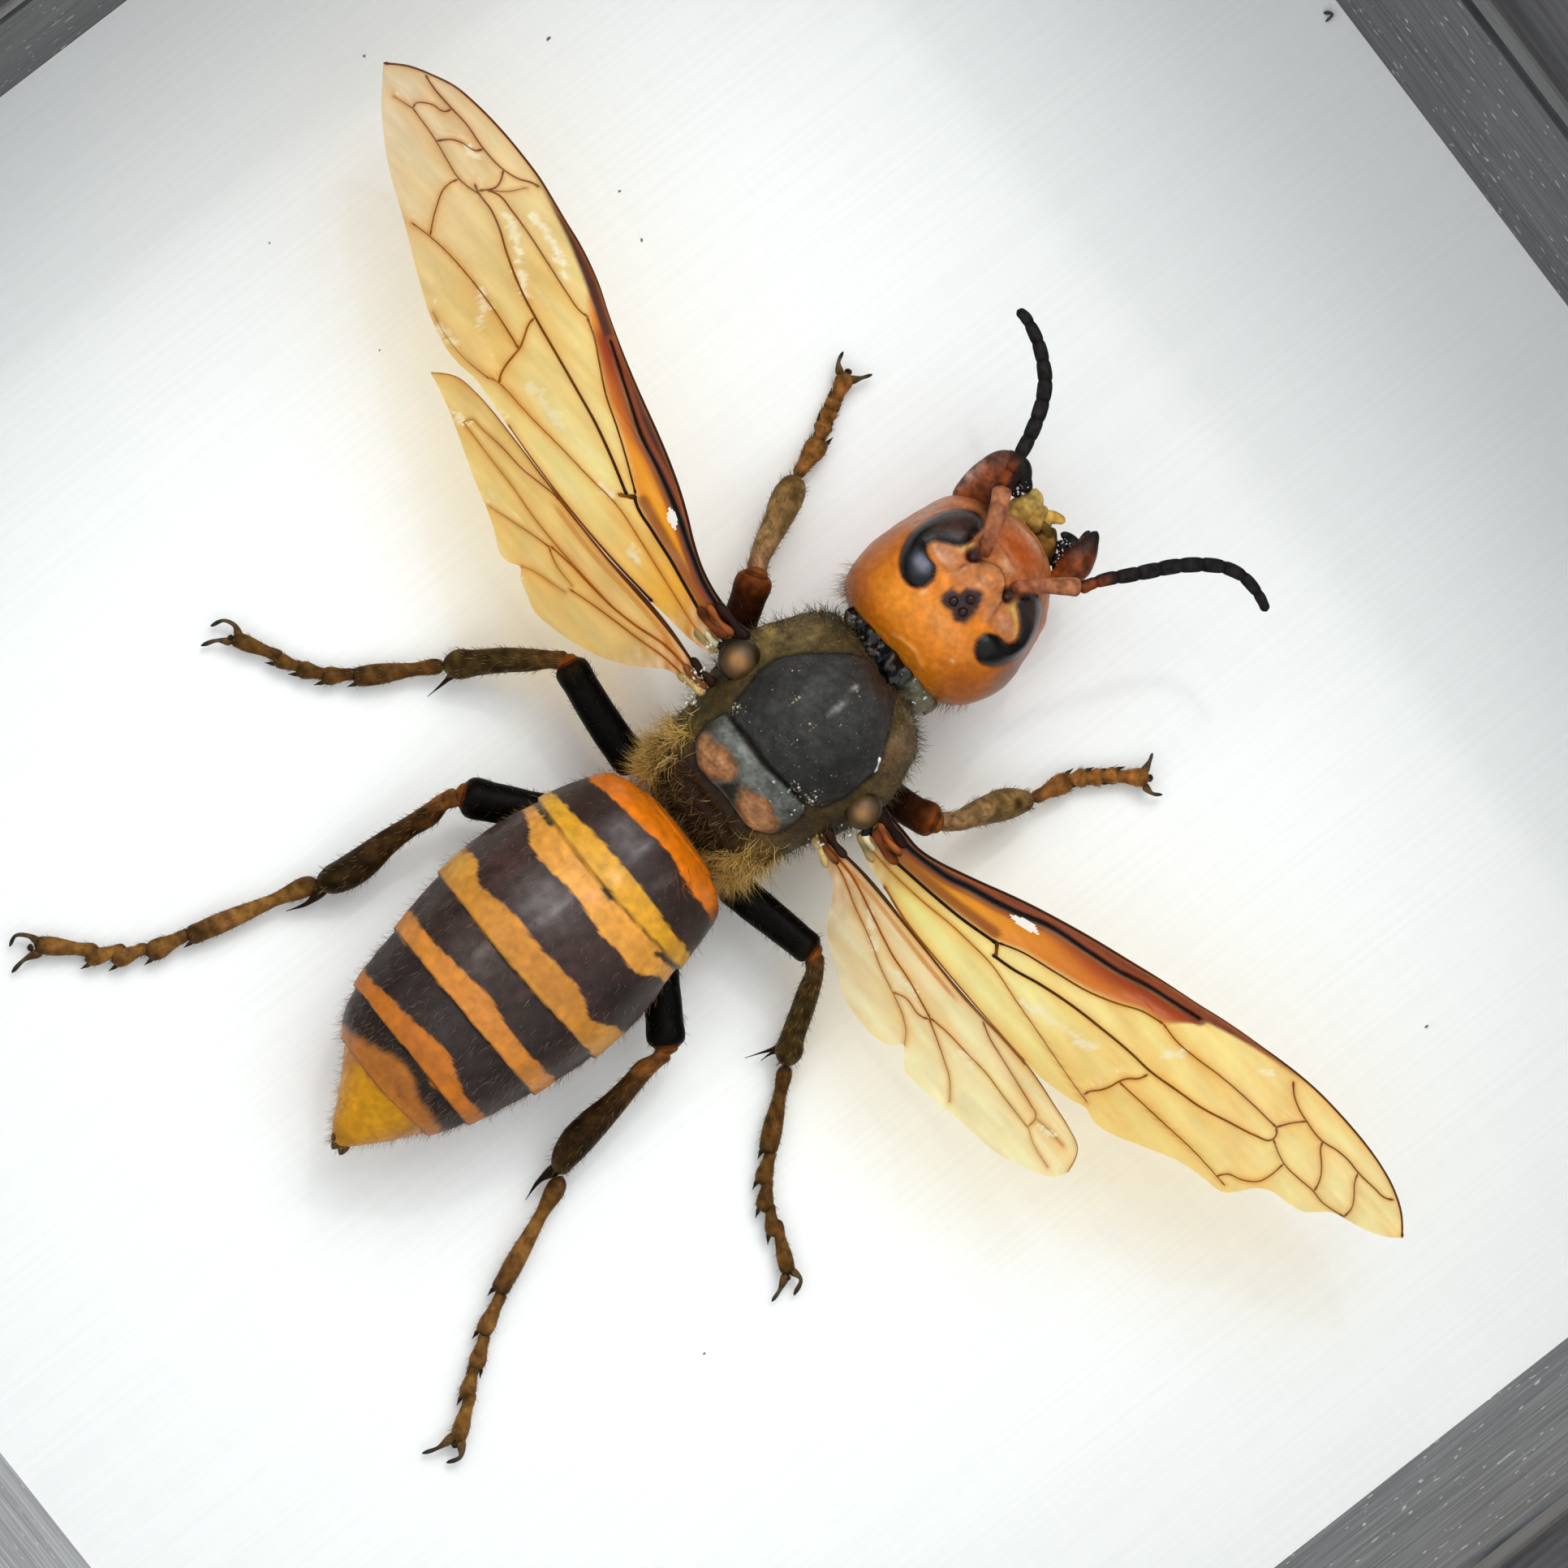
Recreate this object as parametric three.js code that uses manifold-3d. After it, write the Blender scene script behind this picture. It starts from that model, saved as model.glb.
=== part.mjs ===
// A giant hornet set with spread wings in a small black shadow box, lying on its back.
// Millimetres. +Z points out of the glass, +Y is the way that the hornet's head points, and
// the origin is the middle of the back. Heights in the hornet's own numbers count from the
// face of the mounting board.

import * as THREE from "three";
import { mergeVertices } from "three/addons/utils/BufferGeometryUtils.js";
import Module from "manifold-3d";

const wasm = await Module();
wasm.setup();

// Shadow box
const SIGHT = 95.7; // side of the square of board that shows inside the lining
const SPACER_THICKNESS = 3;
const SPACER_HEIGHT = 24.5;
const RABBET_CLEARANCE = 0.3;
const RAIL_FACE = 15;
const LIP_THICKNESS = 4;
const LIP_ROUND = 1.6;
const OUTER_ROUND = 2.4;
const MITRE_GAP = 0.05;
const BACK_EDGE = 0.6; // small bevel along the back edge of a rail
const ARC_STEPS = 5;
const GLASS_THICKNESS = 2;
const BOARD_THICKNESS = 2;
const BACKING_THICKNESS = 3;
const BACK_RECESS = 3;

// Worked out from the sizes above
const SIGHT_HALF = SIGHT / 2;
const RABBET_HALF = SIGHT_HALF + SPACER_THICKNESS + RABBET_CLEARANCE;
const PANEL_HALF = SIGHT_HALF + SPACER_THICKNESS;
const OUTER_HALF = SIGHT_HALF + RAIL_FACE;
const BOARD_BACK = BACK_RECESS + BACKING_THICKNESS;
const BOARD_FACE = BOARD_BACK + BOARD_THICKNESS;
const GLASS_BACK = BOARD_FACE + SPACER_HEIGHT;
const LIP_BACK = GLASS_BACK + GLASS_THICKNESS;
const FRONT = LIP_BACK + LIP_THICKNESS;

// Fittings on the back
const TAB = { length: 15, width: 7, thickness: 0.6, inRail: 4, slotAir: 0.1 };
const HANGER = { length: 44, width: 9, sheet: 0.8, foot: 7, rise: 1.4, fromMiddle: 30 };
const HANGER_TOOTH = { count: 9, pitch: 2.6, depth: 1.6, air: 0.4 };
const SCREW_HEAD = { radius: 2.1, height: 0.7 };

// Round forms as shares of their radius and their height
const SCREW_PROFILE = [[1, 0], [0.9, 0.5], [0.5, 1]];
const BEAD_PROFILE = [[1, 0], [0.92, 0.5], [0.75, 1]];

// Places on the hornet were read along sight lines that meet at this point over the board.
const EYE = { x: -16.5, y: -8.5, height: 303.6 };

const MERGE_DISTANCE = 1e-4;
const WING_THICKNESS = 0.3;
const BODY_SIDES = 24;
const JAW_SIDES = 9;
const SHAFT_SIDES = 7; // legs and antennae
const CLAW_SIDES = 5;
const BEAD_SIDES = 12;
const JOINT_GAP = 0.12; // air between two neighbouring parts of the hornet
const BODY_SQUARENESS = 2.2;
const HEAD_SQUARENESS = 2.4;

const COLOURS = {
  black_moulding: [0x1c1b1d, 0.42, 0],
  glass: [0xf4f8f8, 0.04, 0],
  grey_lining: [0x46474b, 0.85, 0],
  white_card: [0xf1f0ec, 0.9, 0],
  hardboard: [0x7a5a3c, 0.85, 0],
  steel: [0xa7a9ac, 0.35, 1],
  orange_shell: [0xc9661a, 0.38, 0],
  dark_antenna: [0x221d1c, 0.6, 0],
  mandible_shell: [0x7d3410, 0.3, 0],
  mouthpart_skin: [0xa88b3a, 0.5, 0],
  clear_glue: [0xd8d6cc, 0.15, 0],
  dark_thorax: [0x2c2825, 0.7, 0],
  wing_membrane: [0xd9a13c, 0.3, 0],
  leg_shell: [0x2e1c10, 0.4, 0],
  banded_abdomen: [0xc87a20, 0.4, 0],
};

const materials = Object.fromEntries(
  Object.entries(COLOURS).map(([name, [color, roughness, metalness]]) => [
    name,
    new THREE.MeshStandardMaterial({ name, color, roughness, metalness }),
  ]),
);

const part = new THREE.Group();
part.name = "framed_giant_hornet";

function add(name, material, geometry) {
  geometry.computeVertexNormals();
  const mesh = new THREE.Mesh(geometry, materials[material].clone());
  mesh.name = name;
  part.add(mesh);
  return mesh;
}

// Turns a place read off along a sight line into the real place at that height.
function seen(x, y, height) {
  const nearer = 1 - height / EYE.height;
  return new THREE.Vector3(
    EYE.x + (x - EYE.x) * nearer,
    EYE.y + (y - EYE.y) * nearer,
    BOARD_FACE + height,
  );
}

// A closed geometry from points and triangles, turned so that its faces point out.
function closedGeometry(points, triangles) {
  let volume = 0;
  for (const [a, b, c] of triangles) {
    volume += points[a].dot(new THREE.Vector3().crossVectors(points[b], points[c]));
  }
  const facing = volume < 0 ? triangles.map(([a, b, c]) => [a, c, b]) : triangles;
  const geometry = new THREE.BufferGeometry();
  const flat = points.flatMap((point) => point.toArray());
  geometry.setAttribute("position", new THREE.Float32BufferAttribute(flat, 3));
  geometry.setIndex(facing.flat());
  return geometry;
}

// Skins a row of rings that have the same number of points, and closes both ends.
function loft(rings) {
  const sides = rings[0].length;
  const points = rings.flat();
  const triangles = [];
  for (let ring = 0; ring + 1 < rings.length; ring += 1) {
    for (let side = 0; side < sides; side += 1) {
      const next = (side + 1) % sides;
      const a = ring * sides + side;
      const b = ring * sides + next;
      triangles.push([a, b, b + sides], [a, b + sides, a + sides]);
    }
  }
  for (const end of [0, rings.length - 1]) {
    const middle = new THREE.Vector3();
    rings[end].forEach((point) => middle.add(point));
    points.push(middle.divideScalar(sides));
    const hub = points.length - 1;
    for (let side = 0; side < sides; side += 1) {
      const a = end * sides + side;
      const b = end * sides + ((side + 1) % sides);
      triangles.push(end === 0 ? [hub, b, a] : [hub, a, b]);
    }
  }
  return closedGeometry(points, triangles);
}

// One cross section of the body, square to the hornet's length. The widest line is seen
// from above at left and right; squareness 2 is an ellipse and more is boxier.
function bodyRing({ y, left, right, bottom, top, skew = 0 }, grow, squareness) {
  const waist = (bottom + top) / 2;
  const middle = (left + right) / 2;
  const half = (right - left) / 2;
  const ring = [];
  for (let side = 0; side < BODY_SIDES; side += 1) {
    const angle = (side / BODY_SIDES) * 2 * Math.PI;
    const c = Math.cos(angle);
    const s = Math.sin(angle);
    const across = Math.sign(c) * Math.abs(c) ** (2 / squareness);
    const rise = Math.sign(s) * Math.abs(s) ** (2 / squareness);
    const centre = seen(middle, y + skew * across, waist);
    const scale = 1 - waist / EYE.height;
    ring.push(
      new THREE.Vector3(
        centre.x + across * (half * scale + grow),
        centre.y,
        centre.z + rise * ((top - bottom) / 2 + grow),
      ),
    );
  }
  return ring;
}

function body(stations, grow = 0, squareness = BODY_SQUARENESS) {
  const keys = ["y", "left", "right", "bottom", "top", "skew"];
  const rows = stations.map((row) => Object.fromEntries(row.map((v, i) => [keys[i], v])));
  const rings = rows.map((row, index) => {
    const end = index === 0 ? 1 : index === rows.length - 1 ? -1 : 0;
    const forward = rows[0].y > rows[rows.length - 1].y ? 1 : -1;
    return bodyRing({ ...row, y: row.y + end * forward * grow }, grow, squareness);
  });
  return loft(rings);
}

// A round limb through stations of [x, y, height, radius].
function limb(stations, sides, grow = 0) {
  const middles = stations.map(([x, y, height]) => seen(x, y, height));
  const rings = middles.map((middle, index) => {
    const before = middles[Math.max(index - 1, 0)];
    const after = middles[Math.min(index + 1, middles.length - 1)];
    const along = new THREE.Vector3().subVectors(after, before).normalize();
    const side = new THREE.Vector3(0, 0, 1).cross(along).normalize();
    const up = new THREE.Vector3().crossVectors(along, side);
    const radius = stations[index][3] + grow;
    return Array.from({ length: sides }, (_, step) => {
      const angle = (step / sides) * 2 * Math.PI;
      return middle
        .clone()
        .addScaledVector(side, Math.cos(angle) * radius)
        .addScaledVector(up, Math.sin(angle) * radius);
    });
  });
  return loft(rings);
}

// An egg shape with its middle at x, y and height as seen, and its three radii.
function egg({ x, y, height, radii }, sides, grow = 0) {
  const geometry = new THREE.SphereGeometry(1, sides, Math.round(sides / 2));
  geometry.rotateX(Math.PI / 2);
  geometry.scale(...radii.map((radius) => radius + grow));
  geometry.translate(...seen(x, y, height).toArray());
  return geometry;
}

// A round form with its axis upright, standing on middle, or hanging for a negative height.
function turned(profile, radius, height, middle) {
  return loft(
    profile.map(([share, rise]) =>
      Array.from({ length: BEAD_SIDES }, (_, step) => {
        const angle = (step / BEAD_SIDES) * 2 * Math.PI;
        const x = middle.x + share * radius * Math.cos(angle);
        const y = middle.y + share * radius * Math.sin(angle);
        return new THREE.Vector3(x, y, middle.z + rise * height);
      }),
    ),
  );
}

function solid(geometry) {
  const bare = geometry.clone();
  bare.deleteAttribute("normal");
  bare.deleteAttribute("uv");
  const merged = mergeVertices(bare, MERGE_DISTANCE);
  return new wasm.Manifold(
    new wasm.Mesh({
      numProp: 3,
      vertProperties: new Float32Array(merged.attributes.position.array),
      triVerts: new Uint32Array(merged.index.array),
    }),
  );
}

function geometryOf(manifold) {
  const mesh = manifold.getMesh();
  const flat = [];
  for (let vertex = 0; vertex < mesh.numVert; vertex += 1) {
    const start = vertex * mesh.numProp;
    flat.push(...mesh.vertProperties.subarray(start, start + 3));
  }
  const geometry = new THREE.BufferGeometry();
  geometry.setAttribute("position", new THREE.Float32BufferAttribute(flat, 3));
  geometry.setIndex(Array.from(mesh.triVerts));
  return geometry;
}

function fuse(...geometries) {
  return geometries.map(solid).reduce((all, next) => all.add(next));
}

// Cuts rooms out of a form, and drops the crumbs that such a cut can leave.
function cutBack(form, rooms) {
  const bodies = rooms.reduce((rest, room) => rest.subtract(room), form).decompose();
  return bodies.reduce((best, next) => (next.volume() > best.volume() ? next : best));
}

function wound(outline, clockwise) {
  const points = outline.map(([x, y]) => new THREE.Vector2(x, y));
  return THREE.ShapeUtils.isClockWise(points) === clockwise ? points : points.reverse();
}

// A flat outline, seen from above, as a plate whose height follows heightAt.
function plate(outline, holes, heightAt, thickness) {
  const shape = new THREE.Shape(wound(outline, false));
  shape.holes = holes.map((hole) => new THREE.Path(wound(hole, true)));
  const geometry = new THREE.ExtrudeGeometry(shape, { depth: 1, bevelEnabled: false });
  const position = geometry.attributes.position;
  for (let index = 0; index < position.count; index += 1) {
    const x = position.getX(index);
    const y = position.getY(index);
    const place = seen(x, y, heightAt(x, y));
    const lift = (position.getZ(index) - 0.5) * thickness;
    position.setXYZ(index, place.x, place.y, place.z + lift);
  }
  return geometry;
}

// An upright prism over an outline seen from above, used to cut out a patch of a form.
function column(outline, bottom, top) {
  const lower = outline.map(([x, y]) => seen(x, y, bottom));
  const upper = outline.map(([x, y]) => seen(x, y, top));
  return loft([lower, upper]);
}

// Shadow box: rails, glass, lining, board and backing

// A quarter circle that starts at the angle given and turns anticlockwise.
function arc(middleX, middleY, radius, start) {
  return Array.from({ length: ARC_STEPS + 1 }, (_, step) => {
    const angle = start + ((Math.PI / 2) * step) / ARC_STEPS;
    return [middleX + radius * Math.cos(angle), middleY + radius * Math.sin(angle)];
  });
}

// The moulding's section as [distance from the middle of the box, height over the back].
const railSection = [
  [RABBET_HALF, 0],
  [OUTER_HALF - BACK_EDGE, 0],
  [OUTER_HALF, BACK_EDGE],
  ...arc(OUTER_HALF - OUTER_ROUND, FRONT - OUTER_ROUND, OUTER_ROUND, 0),
  ...arc(SIGHT_HALF + LIP_ROUND, FRONT - LIP_ROUND, LIP_ROUND, Math.PI / 2),
  [SIGHT_HALF, LIP_BACK],
  [RABBET_HALF, LIP_BACK],
];

// A rail along +Y's side of the box, mitred at 45 degrees at both ends.
function mitredRail() {
  const ends = [-1, 1].map((side) =>
    railSection.map(([r, z]) => new THREE.Vector3(side * (r - MITRE_GAP), r, z)),
  );
  const count = railSection.length;
  const triangles = [];
  for (let index = 0; index < count; index += 1) {
    const next = (index + 1) % count;
    triangles.push([index, next, count + next], [index, count + next, count + index]);
  }
  const contour = railSection.map(([r, z]) => new THREE.Vector2(r, z));
  for (const [a, b, c] of THREE.ShapeUtils.triangulateShape(contour, [])) {
    triangles.push([a, c, b], [count + a, count + b, count + c]);
  }
  return closedGeometry(ends.flat(), triangles);
}

const SIDES = [
  ["top", 0],
  ["left", Math.PI / 2],
  ["bottom", Math.PI],
  ["right", -Math.PI / 2],
];

// The steel tab of that rail: its square end is driven into a slot in the rabbet's face.
function tabPlate(air) {
  const outer = RABBET_HALF + TAB.inRail + air;
  const half = TAB.width / 2 + air;
  const middle = RABBET_HALF + TAB.inRail - TAB.length + TAB.width / 2;
  const shape = new THREE.Shape();
  shape.moveTo(-half, outer);
  shape.lineTo(-half, middle);
  shape.absarc(0, middle, half, Math.PI, 2 * Math.PI, false);
  shape.lineTo(half, outer);
  const depth = TAB.thickness + 2 * air;
  const settings = { depth, bevelEnabled: false, curveSegments: 5 };
  const geometry = new THREE.ExtrudeGeometry(shape, settings);
  geometry.translate(0, 0, BACK_RECESS - TAB.thickness - air);
  return geometry;
}

for (const [name, turn] of SIDES) {
  const slotted = solid(mitredRail()).subtract(solid(tabPlate(TAB.slotAir)));
  const rail = add(`frame_rail_${name}`, "black_moulding", geometryOf(slotted));
  rail.rotation.z = turn;
  const tab = add(`back_tab_${name}`, "steel", tabPlate(0));
  tab.rotation.z = turn;
}

function slab(name, material, sizeX, sizeY, low, high, x = 0, y = 0) {
  const geometry = new THREE.BoxGeometry(sizeX, sizeY, high - low);
  geometry.translate(x, y, (low + high) / 2);
  return add(name, material, geometry);
}

const panel = 2 * PANEL_HALF;
slab("backing_panel", "hardboard", panel, panel, BACK_RECESS, BOARD_BACK);
slab("mounting_board", "white_card", panel, panel, BOARD_BACK, BOARD_FACE);
slab("glass", "glass", panel, panel, GLASS_BACK, LIP_BACK);

const spacerMiddle = SIGHT_HALF + SPACER_THICKNESS / 2;
for (const [name, way] of [["top", 1], ["bottom", -1]]) {
  const y = way * spacerMiddle;
  slab(`spacer_${name}`, "grey_lining", panel, SPACER_THICKNESS, BOARD_FACE, GLASS_BACK, 0, y);
}
for (const [name, way] of [["left", -1], ["right", 1]]) {
  const x = way * spacerMiddle;
  slab(`spacer_${name}`, "grey_lining", SPACER_THICKNESS, SIGHT, BOARD_FACE, GLASS_BACK, x, 0);
}

// Hanger on the back of the panel, with its two screws

// The hanger is a strip with its two ends down on the panel and its middle raised, and
// saw teeth along the edge that hangs on a nail.
function hangerStrip() {
  const { length, width, sheet, foot, rise } = HANGER;
  const half = length / 2;
  const outside = [
    [-half, 0],
    [-half + foot, 0],
    [-half + foot + rise, -rise],
    [half - foot - rise, -rise],
    [half - foot, 0],
    [half, 0],
  ];
  const inside = outside.map(([x, z]) => [x, z - sheet]).reverse();
  const bridge = new THREE.Shape([...outside, ...inside].map(([x, z]) => new THREE.Vector2(x, z)));
  const strip = new THREE.ExtrudeGeometry(bridge, { depth: width, bevelEnabled: false });
  strip.rotateX(Math.PI / 2);
  strip.translate(0, HANGER.fromMiddle + width / 2, BACK_RECESS);
  let cut = solid(strip);
  const { count, pitch, depth, air } = HANGER_TOOTH;
  const edge = HANGER.fromMiddle - width / 2;
  const reach = (pitch - air) / 2;
  for (let tooth = 0; tooth < count; tooth += 1) {
    const x = (tooth - (count - 1) / 2) * pitch;
    const notch = new THREE.Shape([
      new THREE.Vector2(x - reach, edge - depth / 2),
      new THREE.Vector2(x + reach, edge - depth / 2),
      new THREE.Vector2(x, edge + depth),
    ]);
    const wedge = new THREE.ExtrudeGeometry(notch, { depth: FRONT, bevelEnabled: false });
    wedge.translate(0, 0, -FRONT / 2);
    cut = cut.subtract(solid(wedge));
  }
  return geometryOf(cut);
}

add("hanger", "steel", hangerStrip());

for (const [name, way] of [["left", -1], ["right", 1]]) {
  const { radius, height } = SCREW_HEAD;
  const x = (way * (HANGER.length - HANGER.foot)) / 2;
  const middle = new THREE.Vector3(x, HANGER.fromMiddle, BACK_RECESS - HANGER.sheet);
  add(`hanger_screw_${name}`, "steel", turned(SCREW_PROFILE, radius, -height, middle));
}

// Thorax: [y, left, right, bottom, top] of each cross section, front to back

const THORAX = [
  [9.95, -1.9, 2.1, 4.4, 7.4],
  [9.6, -3.1, 3.5, 3.3, 8.6],
  [8.8, -3.8, 4.7, 2.3, 9.5],
  [7.6, -4.35, 5.4, 1.6, 10.1],
  [6.2, -4.8, 5.9, 1.2, 10.5],
  [4.8, -4.9, 6.05, 1.0, 10.6],
  [3.4, -4.6, 5.7, 1.0, 10.5],
  [2.0, -4.1, 5.2, 1.1, 10.3],
  [0.6, -3.75, 4.85, 1.3, 9.8],
  [-0.5, -3.5, 4.6, 1.6, 8.8],
  [-1.5, -3.2, 4.35, 2.0, 7.4],
  [-2.2, -2.6, 3.85, 2.7, 6.2],
  [-2.6, -1.2, 2.7, 3.5, 5.2],
];
const SCUTUM = { x: 0.68, y: 5.7, height: 8.6, radii: [3.55, 3.35, 2.75] };
const SCUTELLUM = { x: 0.7, y: 1.3, height: 8.6, radii: [2.95, 1.75, 2.1] };
const TEGULAE = [
  { x: -4.16, y: 4.5, height: 8.7, radii: [1.0, 1.2, 0.85] },
  { x: 5.46, y: 4.8, height: 8.7, radii: [0.95, 1.15, 0.85] },
];

const DOME_SIDES = 18;
const CAP_SIDES = 10;

function thoraxForm(grow) {
  const domes = [SCUTUM, SCUTELLUM].map((dome) => egg(dome, DOME_SIDES, grow));
  const caps = TEGULAE.map((cap) => egg(cap, CAP_SIDES, grow));
  return fuse(body(THORAX, grow), ...domes, ...caps);
}

add("thorax", "dark_thorax", geometryOf(thoraxForm(0)));

// What touches the thorax is cut back from this slightly swollen copy of it.
const thoraxRoom = thoraxForm(JOINT_GAP);

// Abdomen: telescoped rings, each a little wider than the next one's front

const ABDOMEN = [
  [-2.75, 0.1, 1.4, 3.6, 5.4],
  [-2.95, -1.5, 3.1, 2.2, 7.4],
  [-3.3, -2.9, 4.5, 1.5, 8.6],
  [-4.0, -3.8, 5.3, 1.0, 9.5],
  [-5.2, -4.25, 5.65, 0.8, 10.1],
  [-6.6, -4.6, 5.95, 0.7, 10.5],
  [-7.45, -4.75, 6.2, 0.65, 10.7],
  [-7.55, -4.68, 6.12, 0.7, 10.6],
  [-9.0, -4.98, 6.6, 0.6, 10.9],
  [-11.0, -5.1, 6.9, 0.6, 11.1],
  [-13.35, -4.95, 6.95, 0.65, 11.0],
  [-13.45, -4.82, 6.82, 0.75, 10.85],
  [-15.2, -4.5, 6.72, 0.85, 10.6],
  [-16.75, -4.1, 6.55, 0.95, 10.2],
  [-16.85, -3.97, 6.42, 1.05, 10.05],
  [-18.4, -3.66, 6.15, 1.3, 9.6],
  [-20.05, -3.1, 5.75, 1.6, 9.0],
  [-20.15, -2.95, 5.6, 1.75, 8.85],
  [-21.3, -2.35, 5.2, 2.1, 8.2],
  [-22.15, -1.35, 4.75, 2.5, 7.6],
  [-22.25, -1.15, 4.6, 2.6, 7.45],
  [-23.5, 0.1, 4.05, 3.1, 6.6],
  [-24.8, 1.4, 3.25, 3.8, 5.5],
  [-25.35, 2.05, 2.85, 4.2, 5.0],
];
const STING = [
  [[2.45, -25.2, 4.6, 0.22], [2.62, -25.9, 4.5, 0.1]],
  [[2.75, -25.1, 4.7, 0.2], [3.05, -25.75, 4.6, 0.09]],
];

const abdomenSolid = fuse(body(ABDOMEN), ...STING.map((rod) => limb(rod, CLAW_SIDES)));
add("abdomen", "banded_abdomen", geometryOf(abdomenSolid));
const abdomenRoom = solid(body(ABDOMEN, JOINT_GAP));

// Head: capsule with two raised C-shaped eyes and three ocelli

const HEAD = [
  [10.62, -1.6, 2.2, 4.6, 7.6, 0.1],
  [10.85, -3.3, 3.5, 3.4, 9.0, 0.2],
  [11.5, -4.1, 4.25, 2.7, 10.0, 0.25],
  [12.5, -4.5, 4.75, 2.3, 10.6, 0.25],
  [13.7, -4.68, 4.9, 2.1, 10.9, 0.25],
  [15.0, -4.66, 4.7, 2.0, 10.8, 0.25],
  [16.2, -4.57, 4.35, 2.0, 10.3, 0.2],
  [17.3, -4.36, 3.85, 2.0, 9.6, 0.15],
  [18.1, -4.0, 3.2, 2.2, 8.8, 0.1],
  [18.9, -2.9, 2.4, 2.6, 8.0, 0.05],
  [19.5, -1.9, 1.7, 3.2, 7.1],
  [19.75, -1.1, 0.9, 4.0, 6.3],
];
const EYE_BULGE = 0.3;
const EYE_LOW = 4.2;
const EYE_HIGH = 12;
const LEFT_EYE = [
  [-2.6, 18.15], [-3.4, 17.75], [-3.8, 16.96], [-4.0, 16.0], [-3.9, 15.0], [-3.55, 14.3],
  [-3.0, 13.72], [-2.28, 13.44], [-1.68, 13.6], [-1.38, 14.08], [-1.44, 14.68], [-1.9, 15.1],
  [-2.94, 15.25], [-3.0, 15.8], [-2.6, 16.3], [-1.92, 16.84], [-1.86, 17.6], [-2.1, 18.1],
];
const RIGHT_EYE = [
  [2.3, 18.2], [1.98, 17.8], [1.98, 17.3], [2.52, 16.96], [3.24, 16.48], [3.5, 15.95],
  [3.4, 15.62], [2.7, 15.35], [2.28, 14.7], [2.5, 14.2], [3.1, 13.9], [3.72, 14.2],
  [4.14, 14.92], [4.2, 15.76], [4.0, 16.6], [3.6, 17.4], [3.0, 18.04],
];
const OCELLI = [[0.48, 15.46], [0.0, 14.74], [0.84, 14.76]];
const OCELLUS_RADIUS = 0.24;
const OCELLUS_SIDES = 6;

function headForm(grow) {
  return solid(body(HEAD, grow, HEAD_SQUARENESS));
}

function headTopAt(y) {
  const after = HEAD.findIndex((row) => row[0] >= y);
  const [low, high] = [HEAD[after - 1], HEAD[after]];
  return THREE.MathUtils.mapLinear(y, low[0], high[0], low[4], high[4]);
}

const bulgingHead = headForm(EYE_BULGE);
const eyes = [LEFT_EYE, RIGHT_EYE].map((outline) =>
  bulgingHead.intersect(solid(column(outline, EYE_LOW, EYE_HIGH))),
);
const ocelli = OCELLI.map(([x, y]) => {
  const radii = [OCELLUS_RADIUS, OCELLUS_RADIUS, OCELLUS_RADIUS];
  return solid(egg({ x, y, height: headTopAt(y), radii }, OCELLUS_SIDES));
});
const headSolid = [...eyes, ...ocelli].reduce((all, next) => all.add(next), headForm(0));
add("head", "orange_shell", geometryOf(headSolid));
const headRoom = headForm(JOINT_GAP);

// Antennae: a straight scape from the face, then the curved flagellum

const LEFT_ANTENNA = [
  [-0.78, 17.35, 9.95, 0.16], [-1.2, 17.95, 10.0, 0.24], [-1.8, 18.9, 10.0, 0.3],
  [-2.45, 19.75, 9.9, 0.36], [-2.85, 20.15, 9.75, 0.3], [-3.05, 20.4, 9.6, 0.2],
  [-3.35, 21.0, 9.45, 0.27], [-3.72, 21.95, 9.2, 0.31], [-4.1, 22.75, 9.0, 0.31],
  [-4.45, 23.5, 8.8, 0.32], [-5.04, 24.34, 8.6, 0.32], [-5.76, 24.98, 8.4, 0.32],
  [-6.5, 25.45, 8.2, 0.31], [-7.4, 25.85, 8.0, 0.29], [-8.3, 26.05, 7.9, 0.26],
  [-9.0, 26.1, 7.8, 0.22], [-9.32, 26.02, 7.8, 0.12],
];
const RIGHT_ANTENNA = [
  [1.3, 17.6, 9.75, 0.16], [1.7, 18.05, 9.9, 0.24], [2.35, 18.95, 9.95, 0.3],
  [3.05, 19.75, 9.85, 0.36], [3.32, 20.1, 9.75, 0.3], [3.45, 20.35, 9.6, 0.2],
  [3.62, 20.9, 9.4, 0.26], [4.05, 21.85, 9.2, 0.3], [4.5, 22.65, 9.0, 0.31],
  [4.9, 23.5, 8.8, 0.32], [5.35, 24.35, 8.6, 0.32], [5.85, 25.15, 8.4, 0.32],
  [6.4, 25.9, 8.2, 0.31], [7.05, 26.5, 8.0, 0.29], [7.8, 26.85, 7.9, 0.27],
  [8.7, 26.95, 7.8, 0.24], [9.5, 26.85, 7.8, 0.18], [10.02, 26.72, 7.8, 0.09],
];

for (const [name, stations] of [["left", LEFT_ANTENNA], ["right", RIGHT_ANTENNA]]) {
  const whole = solid(limb(stations, SHAFT_SIDES));
  add(`${name}_antenna`, "dark_antenna", geometryOf(cutBack(whole, [headRoom])));
}

// Mandibles and the soft mouthparts between them, in front of the head capsule

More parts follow.
